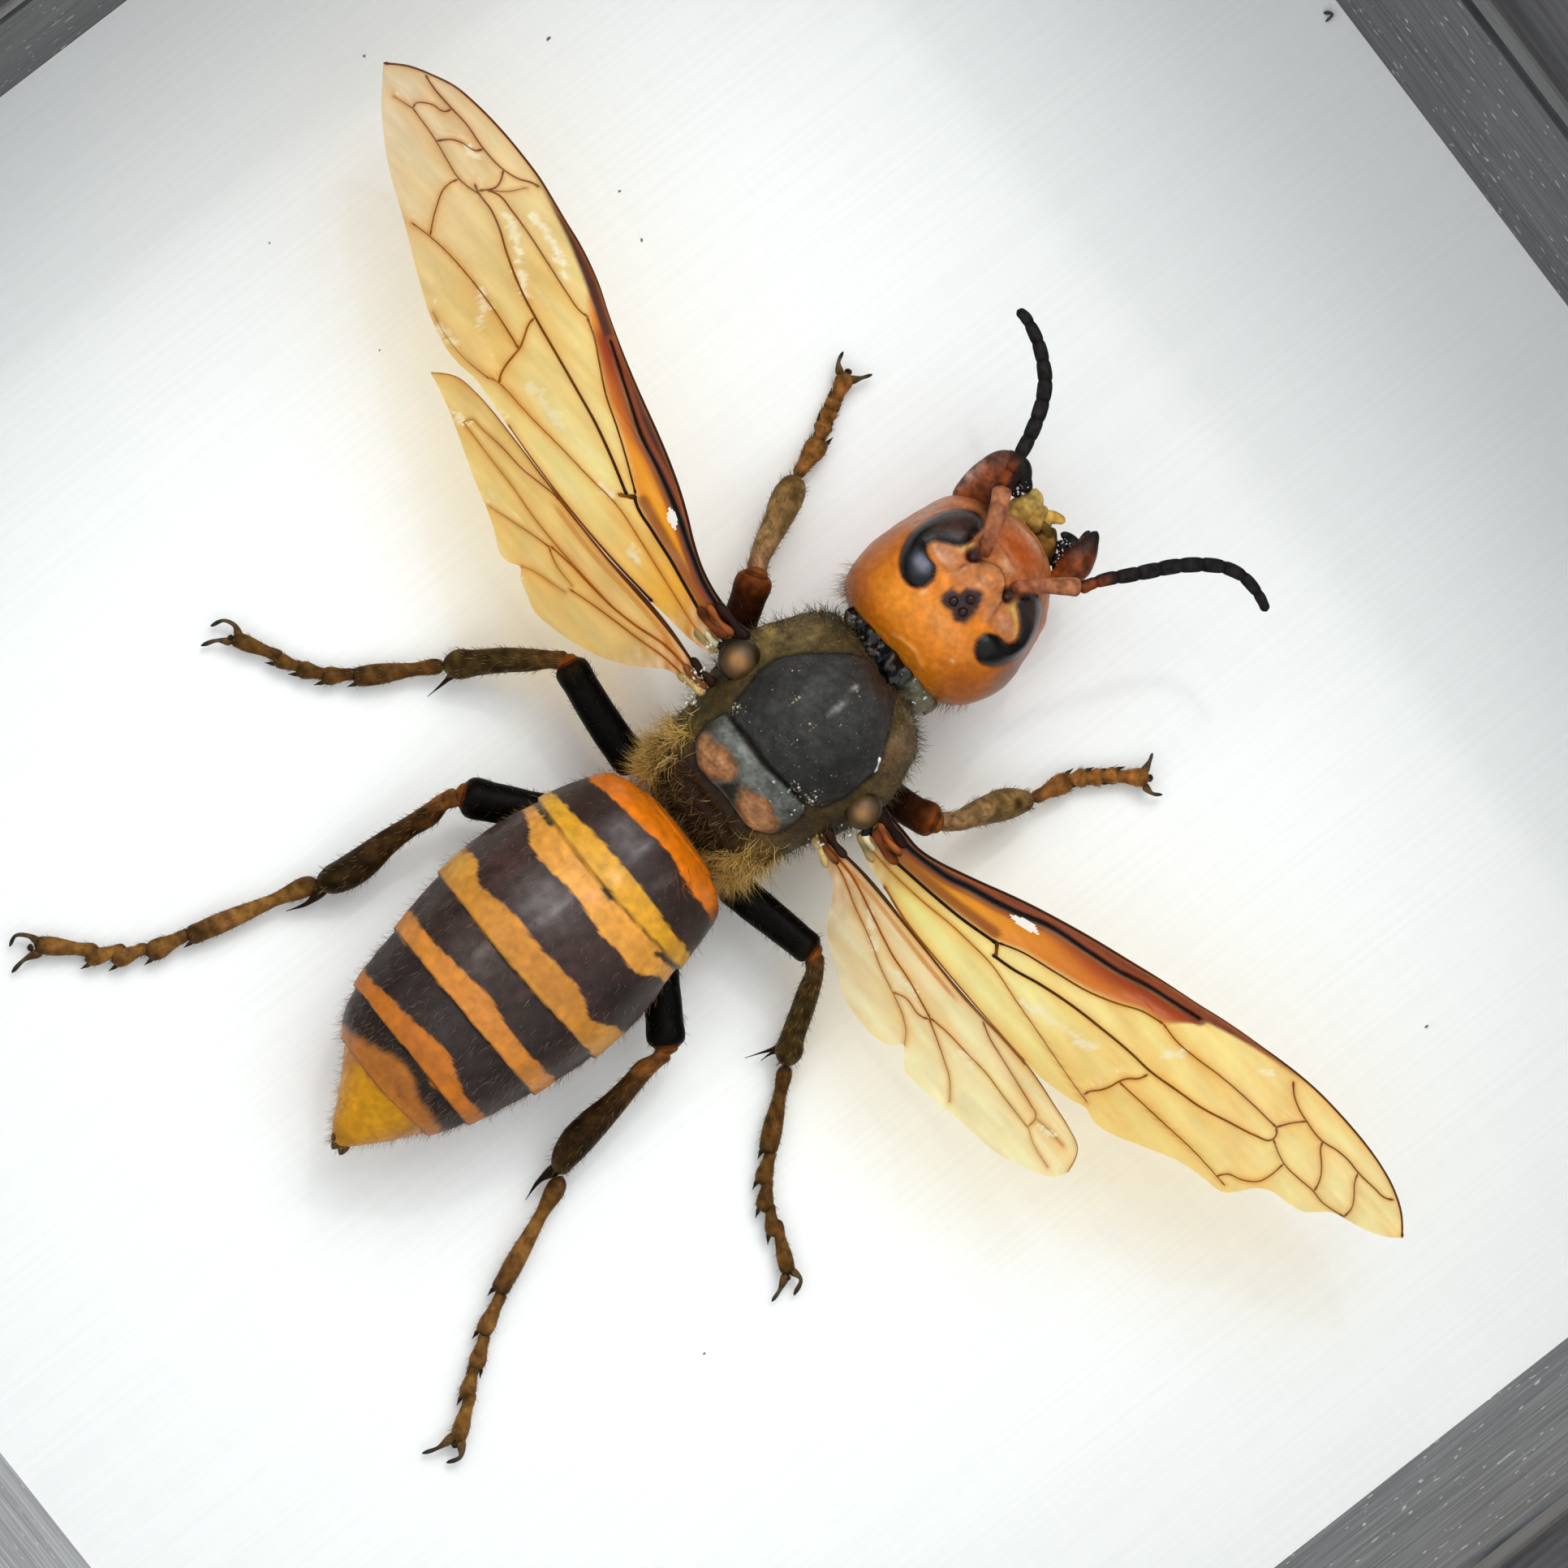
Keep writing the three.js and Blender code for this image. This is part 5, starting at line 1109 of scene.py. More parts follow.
def make_mouth(jaw_look, soft_look):
    for side, rods in JAWS.items():
        form = Form()
        for index, rod in enumerate(rods):
            stops = JAW_TOOTH if index else JAW_BODY
            add_tube(form, rod, stops, rough=0.42, sides=30, spacing=0.05, wear=0.6,
                     flat=0.7, tints=JAW_TINTS_AND_SHADE)
        form.piece(f"{side}_mandible_shell", jaw_look, [f"{side}_mandible"], "mandible_shell")
    form = Form()
    for lobe, stops in MOUTH_LOBES:
        add_tube(form, lobe, stops, rough=0.55, sides=22, spacing=0.05, wear=0.3)
    form.piece("mouthparts_skin", soft_look, ["mouthparts"], "mouthpart_skin")


# Legs: femur and tibia as stations, then the five foot joints from (x, y) to (x, y) with
# their widths, the spurs, the claws and the pad between them

LEGS = {
    "left_foreleg": {
        "femur": [(-4.6, 5.0, 3.2, 0.8), (-5.5, 5.7, 3.8, 0.85), (-6.2, 6.7, 4.3, 0.87),
                  (-6.85, 7.7, 4.7, 0.82)],
        "tibia": [(-7.05, 7.9, 4.65, 0.4), (-7.5, 8.5, 4.4, 0.5), (-7.9, 9.2, 3.9, 0.58),
                  (-8.3, 10.1, 3.2, 0.66), (-8.8, 11.0, 2.6, 0.78), (-9.15, 11.7, 2.1, 0.74),
                  (-9.4, 12.15, 1.8, 0.5)],
        "foot": [((-9.55, 12.4), (-10.2, 14.3), 0.28, 0.56), ((-10.25, 14.35), (-10.75, 15.0), 0.3, 0.46),
                 ((-10.7, 14.9), (-11.1, 15.65), 0.28, 0.44), ((-11.0, 15.5), (-11.35, 16.1), 0.26, 0.42),
                 ((-11.25, 16.0), (-11.95, 17.3), 0.28, 0.46)],
        "spurs": [],
        "claws": [[(-12.2, 17.1, 0.8, 0.17), (-12.7, 17.4, 0.8, 0.1), (-12.98, 17.9, 0.5, 0.03)],
                  [(-11.65, 17.3, 0.8, 0.17), (-11.4, 17.85, 0.8, 0.1), (-11.22, 18.35, 0.5, 0.03)]],
        "pad": (-12.05, 17.5),
    },
    "right_foreleg": {
        "femur": [(5.3, 6.2, 3.2, 0.8), (6.2, 6.5, 3.8, 0.82), (7.1, 6.8, 4.3, 0.82),
                  (8.05, 7.3, 4.7, 0.78)],
        "tibia": [(8.3, 7.6, 4.65, 0.4), (8.75, 8.2, 4.4, 0.48), (9.0, 9.0, 3.9, 0.6),
                  (9.25, 9.8, 3.2, 0.72), (9.6, 10.7, 2.5, 0.78), (9.95, 11.35, 2.0, 0.6),
                  (10.15, 11.7, 1.8, 0.42)],
        "foot": [((10.2, 11.9), (10.55, 13.8), 0.28, 0.52), ((10.55, 13.8), (10.95, 14.6), 0.3, 0.48),
                 ((10.95, 14.5), (11.4, 15.2), 0.28, 0.46), ((11.35, 15.1), (11.8, 15.85), 0.26, 0.44),
                 ((11.75, 15.7), (12.8, 16.95), 0.28, 0.46)],
        "spurs": [],
        "claws": [[(12.55, 17.0, 0.8, 0.16), (12.28, 17.6, 0.8, 0.1), (12.05, 17.95, 0.5, 0.03)],
                  [(13.1, 16.65, 0.8, 0.16), (13.6, 16.72, 0.8, 0.1), (13.98, 17.08, 0.5, 0.03)]],
        "pad": (12.95, 17.1),
    },
    "left_midleg": {
        "femur": [(-3.2, -2.6, 3.6, 0.85), (-4.6, -2.65, 3.8, 0.9), (-6.1, -2.55, 4.0, 0.88),
                  (-7.8, -2.35, 4.2, 0.84), (-9.0, -2.2, 4.3, 0.76)],
        "tibia": [(-9.3, -2.2, 4.2, 0.4), (-9.8, -2.75, 3.9, 0.44), (-10.4, -3.55, 3.4, 0.56),
                  (-11.2, -4.6, 2.7, 0.62), (-11.9, -5.7, 2.0, 0.64), (-12.5, -6.65, 1.5, 0.68),
                  (-12.7, -6.95, 1.3, 0.4)],
        "foot": [((-12.8, -7.1), (-14.95, -10.8), 0.25, 0.52),
                 ((-15.15, -10.8), (-15.95, -12.05), 0.28, 0.45),
                 ((-15.95, -11.9), (-16.95, -12.75), 0.27, 0.44),
                 ((-16.95, -12.65), (-18.0, -13.35), 0.25, 0.38),
                 ((-17.95, -13.1), (-20.05, -14.35), 0.26, 0.4)],
        "spurs": [[(-12.2, -6.8, 1.2, 0.2), (-12.13, -7.4, 1.0, 0.12), (-12.06, -8.6, 0.7, 0.02)]],
        "claws": [[(-19.95, -14.15, 0.7, 0.15), (-20.6, -13.96, 0.8, 0.12), (-21.07, -14.2, 0.7, 0.09),
                   (-21.27, -14.9, 0.4, 0.03)],
                  [(-20.05, -14.6, 0.7, 0.14), (-20.5, -15.05, 0.7, 0.1), (-20.8, -15.85, 0.4, 0.03)]],
        "pad": (-20.2, -14.5),
    },
    "right_midleg": {
        "femur": [(4.3, -2.5, 3.6, 0.85), (5.4, -2.3, 3.8, 0.9), (7.3, -1.85, 4.0, 0.85),
                  (8.6, -1.55, 4.2, 0.8), (9.35, -1.38, 4.3, 0.74)],
        "tibia": [(9.7, -1.4, 4.2, 0.4), (10.3, -1.85, 3.8, 0.44), (10.9, -2.7, 3.1, 0.55),
                  (11.6, -3.75, 2.4, 0.58), (12.2, -4.7, 1.8, 0.6), (12.75, -5.4, 1.4, 0.66),
                  (13.0, -5.7, 1.2, 0.4)],
        "foot": [((13.15, -5.85), (15.9, -9.1), 0.25, 0.5), ((16.0, -8.95), (16.95, -10.25), 0.28, 0.44),
                 ((17.0, -9.95), (18.05, -11.0), 0.27, 0.43), ((18.05, -10.65), (19.3, -11.4), 0.25, 0.38),
                 ((18.9, -10.9), (21.25, -11.98), 0.26, 0.4)],
        "spurs": [[(12.3, -5.4, 1.2, 0.2), (12.05, -5.95, 1.0, 0.1), (11.58, -7.18, 0.7, 0.02)],
                  [(12.4, -5.5, 1.2, 0.18), (12.2, -6.0, 0.9, 0.08), (12.16, -6.65, 0.7, 0.02)]],
        "claws": [[(21.2, -11.85, 0.7, 0.15), (21.9, -11.7, 0.8, 0.1), (22.35, -12.45, 0.4, 0.03)],
                  [(21.3, -12.15, 0.7, 0.14), (21.72, -12.87, 0.7, 0.1), (21.92, -13.5, 0.4, 0.03)]],
        "pad": (21.45, -12.2),
    },
    "left_hindleg": {
        "femur": [(-3.6, -7.3, 3.3, 0.75), (-4.9, -8.3, 3.5, 0.9), (-6.0, -9.3, 3.6, 0.98),
                  (-7.0, -10.1, 3.7, 0.92)],
        "tibia": [(-7.3, -10.5, 3.75, 0.42), (-7.5, -11.2, 3.6, 0.42), (-7.42, -12.1, 3.4, 0.54),
                  (-7.54, -13.2, 3.1, 0.52), (-7.62, -14.6, 2.7, 0.62), (-7.57, -16.2, 2.3, 0.8),
                  (-7.66, -17.2, 1.95, 0.8), (-7.95, -18.1, 1.6, 0.62), (-8.1, -18.35, 1.5, 0.4)],
        "foot": [((-8.2, -18.5), (-9.9, -25.0), 0.26, 0.5), ((-10.05, -25.05), (-10.45, -27.05), 0.28, 0.52),
                 ((-10.75, -27.0), (-11.2, -28.6), 0.28, 0.44), ((-11.4, -27.9), (-12.05, -29.6), 0.26, 0.42),
                 ((-12.1, -29.0), (-14.1, -31.1), 0.28, 0.46)],
        "spurs": [[(-7.8, -18.3, 1.5, 0.2), (-7.66, -19.5, 1.1, 0.12), (-7.98, -20.55, 0.8, 0.02)]],
        "claws": [[(-14.0, -30.95, 0.7, 0.15), (-14.75, -31.22, 0.8, 0.12), (-15.12, -31.67, 0.7, 0.09),
                   (-14.9, -32.25, 0.4, 0.03)],
                  [(-13.75, -31.2, 0.7, 0.15), (-13.94, -32.1, 0.7, 0.1), (-13.82, -32.95, 0.4, 0.03)]],
        "pad": (-14.2, -31.45),
    },
    "right_hindleg": {
        "femur": [(5.2, -7.6, 3.3, 0.75), (6.35, -8.34, 3.5, 0.9), (7.6, -9.15, 3.6, 0.92),
                  (8.6, -9.8, 3.7, 0.86)],
        "tibia": [(8.95, -10.15, 3.75, 0.4), (9.0, -10.7, 3.65, 0.38), (8.96, -11.4, 3.5, 0.5),
                  (9.15, -12.4, 3.2, 0.52), (9.38, -13.7, 2.9, 0.62), (9.55, -15.2, 2.5, 0.78),
                  (9.75, -16.4, 2.1, 0.8), (10.1, -17.4, 1.8, 0.6), (10.35, -17.75, 1.6, 0.4)],
        "foot": [((10.7, -17.95), (13.2, -23.75), 0.26, 0.48), ((13.4, -23.75), (14.35, -25.65), 0.27, 0.43),
                 ((14.5, -25.65), (15.45, -26.95), 0.27, 0.43), ((15.35, -26.95), (16.35, -28.25), 0.26, 0.4),
                 ((16.3, -27.9), (17.75, -29.85), 0.27, 0.42)],
        "spurs": [[(10.2, -17.7, 1.5, 0.2), (10.13, -18.9, 1.1, 0.12), (10.46, -20.0, 0.8, 0.02)]],
        "claws": [[(17.75, -29.7, 0.7, 0.15), (18.5, -30.28, 0.8, 0.11), (18.32, -31.0, 0.4, 0.03)],
                  [(17.5, -29.85, 0.7, 0.14), (17.47, -30.9, 0.7, 0.1), (17.22, -31.65, 0.4, 0.03)]],
        "pad": (17.85, -30.1),
    },
}
BLACK_FEMUR = [(0, "060403"), (0.8, "080604"), (0.93, "20140a"), (1, "5c3722")]
FEMUR_STOPS = {
    "fore": [(0, "0c0705"), (0.4, "140a05"), (0.7, "3a1a08"), (0.9, "7c3e12"), (1, "a05c2c")],
    "mid": BLACK_FEMUR,
    "hind": BLACK_FEMUR,
}
SHIN_STOPS = {
    "fore": [(0, "a8785c"), (0.2, "96704c"), (0.5, "80643c"), (0.85, "7a5a30"), (1, "3a2814")],
    "mid": [(0, "6a3f20"), (0.15, "4e361c"), (0.5, "403216"), (0.9, "423214"), (1, "1e150a")],
    "hind": [(0, "6a3c1e"), (0.12, "7a4a20"), (0.3, "42290f"), (0.7, "2c1d0d"), (1, "3a2a12")],
}
FOOT_STOPS = {
    "fore": [(0, "523418"), (0.3, "905a28"), (0.7, "94602c"), (1, "3a2816")],
    "mid": [(0, "33210e"), (0.3, "64401a"), (0.7, "66441c"), (1, "20170c")],
    "hind": [(0, "4a3016"), (0.3, "7e5626"), (0.7, "80562a"), (1, "2c2010")],
}
CLAW_STOPS = [(0, "6a4418"), (0.5, "5a4a34"), (1, "2a2a2a")]
SPUR_STOPS = [(0, "2a1c10"), (1, "1a1512")]
THORN_STOPS = [(0, "4a3418"), (1, "1c140c")]
PAD_STOPS = [(0, "3a2a1c"), (1, "1e1712")]
BROWN_HAIRS = ("2a1c10", "7a5c30", "a08450")
DARK_HAIRS = ("120c08", "241a10", "4a3820")

# The two lobes of a knee, as (place past the femur, share of its radius, tone)
KNEE_LOBES = [(0.12, 0.8, "5a2c0e"), (0.38, 0.62, "7c4618")]

# How high the middle of a foot lies over the board, and after how many joints it gets there
FOOT_HEIGHT = 0.75
JOINTS_TO_BOARD = 1.6

# Where a foot starts, as a share of the height of the tibia's end
FOOT_START = 0.8
THORN_LENGTH = 0.5

# How much farther out than its start a pad ends, as a factor of its place
PAD_END = 1.004


LIMB_HAIR_WIDTH = 0.014


def limb_hairs(form, tube, count, length, lean, codes):
    """Short hairs all round a tube, which lean towards its far end."""
    ring = randoms.integers(2, len(tube.middles) - 1, count)
    turn = randoms.integers(0, len(tube.turn), count)
    out = tube.out()[ring, turn]
    roots = tube.middles[ring] + tube.radius[ring][:, None] * out
    ways = out + tube.along[ring] * lean + randoms.normal(size=(count, 3)) * 0.25
    lengths = length * randoms.uniform(0.5, 1.1, count)
    hairs(form, roots, ways, lengths, LIMB_HAIR_WIDTH, mixed_tones(count, *codes))


def add_knee(form, femur):
    """Two short lobes between the femur and the tibia."""
    knee = np.array(femur[-1])
    way = knee[:2] - np.array(femur[-2][:2])
    way /= np.hypot(*way)
    for past, share, code in KNEE_LOBES:
        lobe = [
            (*(knee[:2] - way * 0.3), knee[2], share * knee[3] * 0.9),
            (*(knee[:2] + way * past), knee[2], share * knee[3]),
        ]
        add_tube(form, lobe, [(0, "2a1a10"), (0.6, code), (1, code)], sides=24, spacing=0.06)


def add_thorns(form, start, end, height, thick):
    """A thorn on each side of the end of a foot joint."""
    along = (end - start) / np.hypot(*(end - start))
    across = np.array([-along[1], along[0]])
    for side in (-1, 1):
        root = end + across * side * thick * 0.6
        tip = root + along * THORN_LENGTH + across * side * 0.1
        thorn = [(*root, height, 0.07), (*tip, height * 0.8, 0.02)]
        add_tube(form, thorn, THORN_STOPS, sides=6, spacing=0.1)


def add_foot(form, fur, joints, high, stops):
    """The joints of a foot, which comes down from the tibia and then lies on the board."""
    high *= FOOT_START
    for index, (start, end, thin, thick) in enumerate(joints):
        shares = [min((index + part) / JOINTS_TO_BOARD, 1) for part in (0, 1)]
        near, far = (high + (FOOT_HEIGHT - high) * share for share in shares)
        start, end = np.array(start), np.array(end)
        stations = [
            (*start, near, thin * 0.8),
            (*(start + (end - start) * 0.35), near * 0.6 + far * 0.4, (thin + thick) / 2 * 0.86),
            (*(start + (end - start) * 0.9), far, thick * 0.97),
            (*end, far, thick * 0.85),
        ]
        joint = add_tube(form, stations, stops, rough=0.42, wear=0.35, sides=18, spacing=0.08)
        count = 70 if index else 150
        limb_hairs(fur, joint, count, length=0.28, lean=1.4, codes=BROWN_HAIRS)
        if index < len(joints) - 1:
            add_thorns(form, start, end, far, thick)


def make_leg(name, look, hair_look):
    leg = LEGS[name]
    kind = name.split("_")[1].replace("leg", "")
    form, fur = Form(), Form()
    femur = add_tube(form, leg["femur"], FEMUR_STOPS[kind], rough=0.42, sides=28, spacing=0.09)
    limb_hairs(fur, femur, 160, length=0.35, lean=0.9, codes=DARK_HAIRS)
    add_knee(form, leg["femur"])
    shin = add_tube(form, leg["tibia"], SHIN_STOPS[kind], wear=0.5, sides=26, spacing=0.09)
    limb_hairs(fur, shin, 320, length=0.38, lean=1.3, codes=BROWN_HAIRS)
    add_foot(form, fur, leg["foot"], leg["tibia"][-1][2], FOOT_STOPS[kind])
    for rod in leg["spurs"]:
        add_tube(form, rod, SPUR_STOPS, rough=0.3, sides=10, spacing=0.08)
    for rod in leg["claws"]:
        add_tube(form, rod, CLAW_STOPS, rough=0.25, sides=10, spacing=0.05)
    x, y = leg["pad"]
    pad = [(x, y, FOOT_HEIGHT, 0.2), (x * PAD_END, y * PAD_END, 0.7, 0.14)]
    add_tube(form, pad, PAD_STOPS, sides=12, spacing=0.05)
    form.piece(f"{name}_shell", look, [name], "leg_shell")
    fur.piece(f"{name}_hairs", hair_look, [], "leg_shell")


# Wings: the leading and the trailing edge from the root to the tip, the height of the root,
# the veins as (points, first radius, last radius, first tone, last tone), and for a fore wing
# the coloured zones, where a tear is a hole in the membrane

DARK, BROWN, RUST, PINK, FAINT = "1c0d06", "94500c", "944008", "b0661c", "b07c2c"
VEIN_SCALE = 0.66

# The tones of each membrane, and how far from the body's middle each of them is
WING_TONE_PLACES = (9.0, 16.0, 25.0, 35.0)
WING_TONES = {
    "left_forewing": ("fdc650", "fff2ae", "f2d892", "f8e2bc"),
    "right_forewing": ("ffeb94", "fff7b2", "ffe598", "ffe9a8"),
    "left_hindwing": ("f8dc94", "f2da96", "f0da98", "f0da9c"),
    # The left hind wing's darker, deeper tones paint the shade of the fore wing over it
    "right_hindwing": ("fff0cc", "fff6ce", "fff6ce", "fff6ce"),
}

# Painted highlights: bright glints along creases of the membranes, as lines of (x, y)
CREASE_GLINTS = {
    "left_forewing": [
        [(-28.4, 8.9), (-27.6, 8.75), (-27.0, 8.4), (-26.3, 8.1), (-25.8, 7.7), (-24.6, 7.2)],
        [(-27.6, 9.84), (-26.9, 9.95), (-26.3, 9.93), (-25.2, 9.7), (-24.1, 9.3)],
        [(-26.2, 5.6), (-25.5, 5.4), (-24.9, 4.5)],
        [(-21.1, 4.6), (-20.4, 4.8), (-19.5, 4.7), (-18.6, 4.7)],
        [(-15.2, 4.4), (-14.5, 4.5)], [(-32.2, 9.3), (-31.4, 9.5)], [(-26, 2.8), (-24.9, 3.0)],
        [(-11.6, 3.8), (-11.0, 3.5)],
    ],
    "right_forewing": [
        [(18.4, 5.7), (19.6, 6.0), (20.5, 6.2), (21.8, 6.7)], [(13.7, 2.8), (14.4, 3.0)],
        [(24.3, 9.4), (24.7, 10.1)], [(28.0, 12.6), (28.4, 13.0)], [(17.9, 5.3), (18.6, 5.5)],
    ],
    "left_hindwing": [[(-22.3, 0.8), (-21.5, 1.0)], [(-14.0, -1.6), (-12.6, -2.4), (-11.0, -2.9)]],
    "right_hindwing": [
        [(12.5, 1.2), (13.4, 1.3), (14.5, 1.4)], [(9.6, 2.1), (11.1, 1.2)],
        [(18.1, 1.4), (18.9, 1.4)], [(23.4, 2.3), (23.9, 2.5)], [(26.8, 3.3), (27.3, 3.0)],
    ],
}
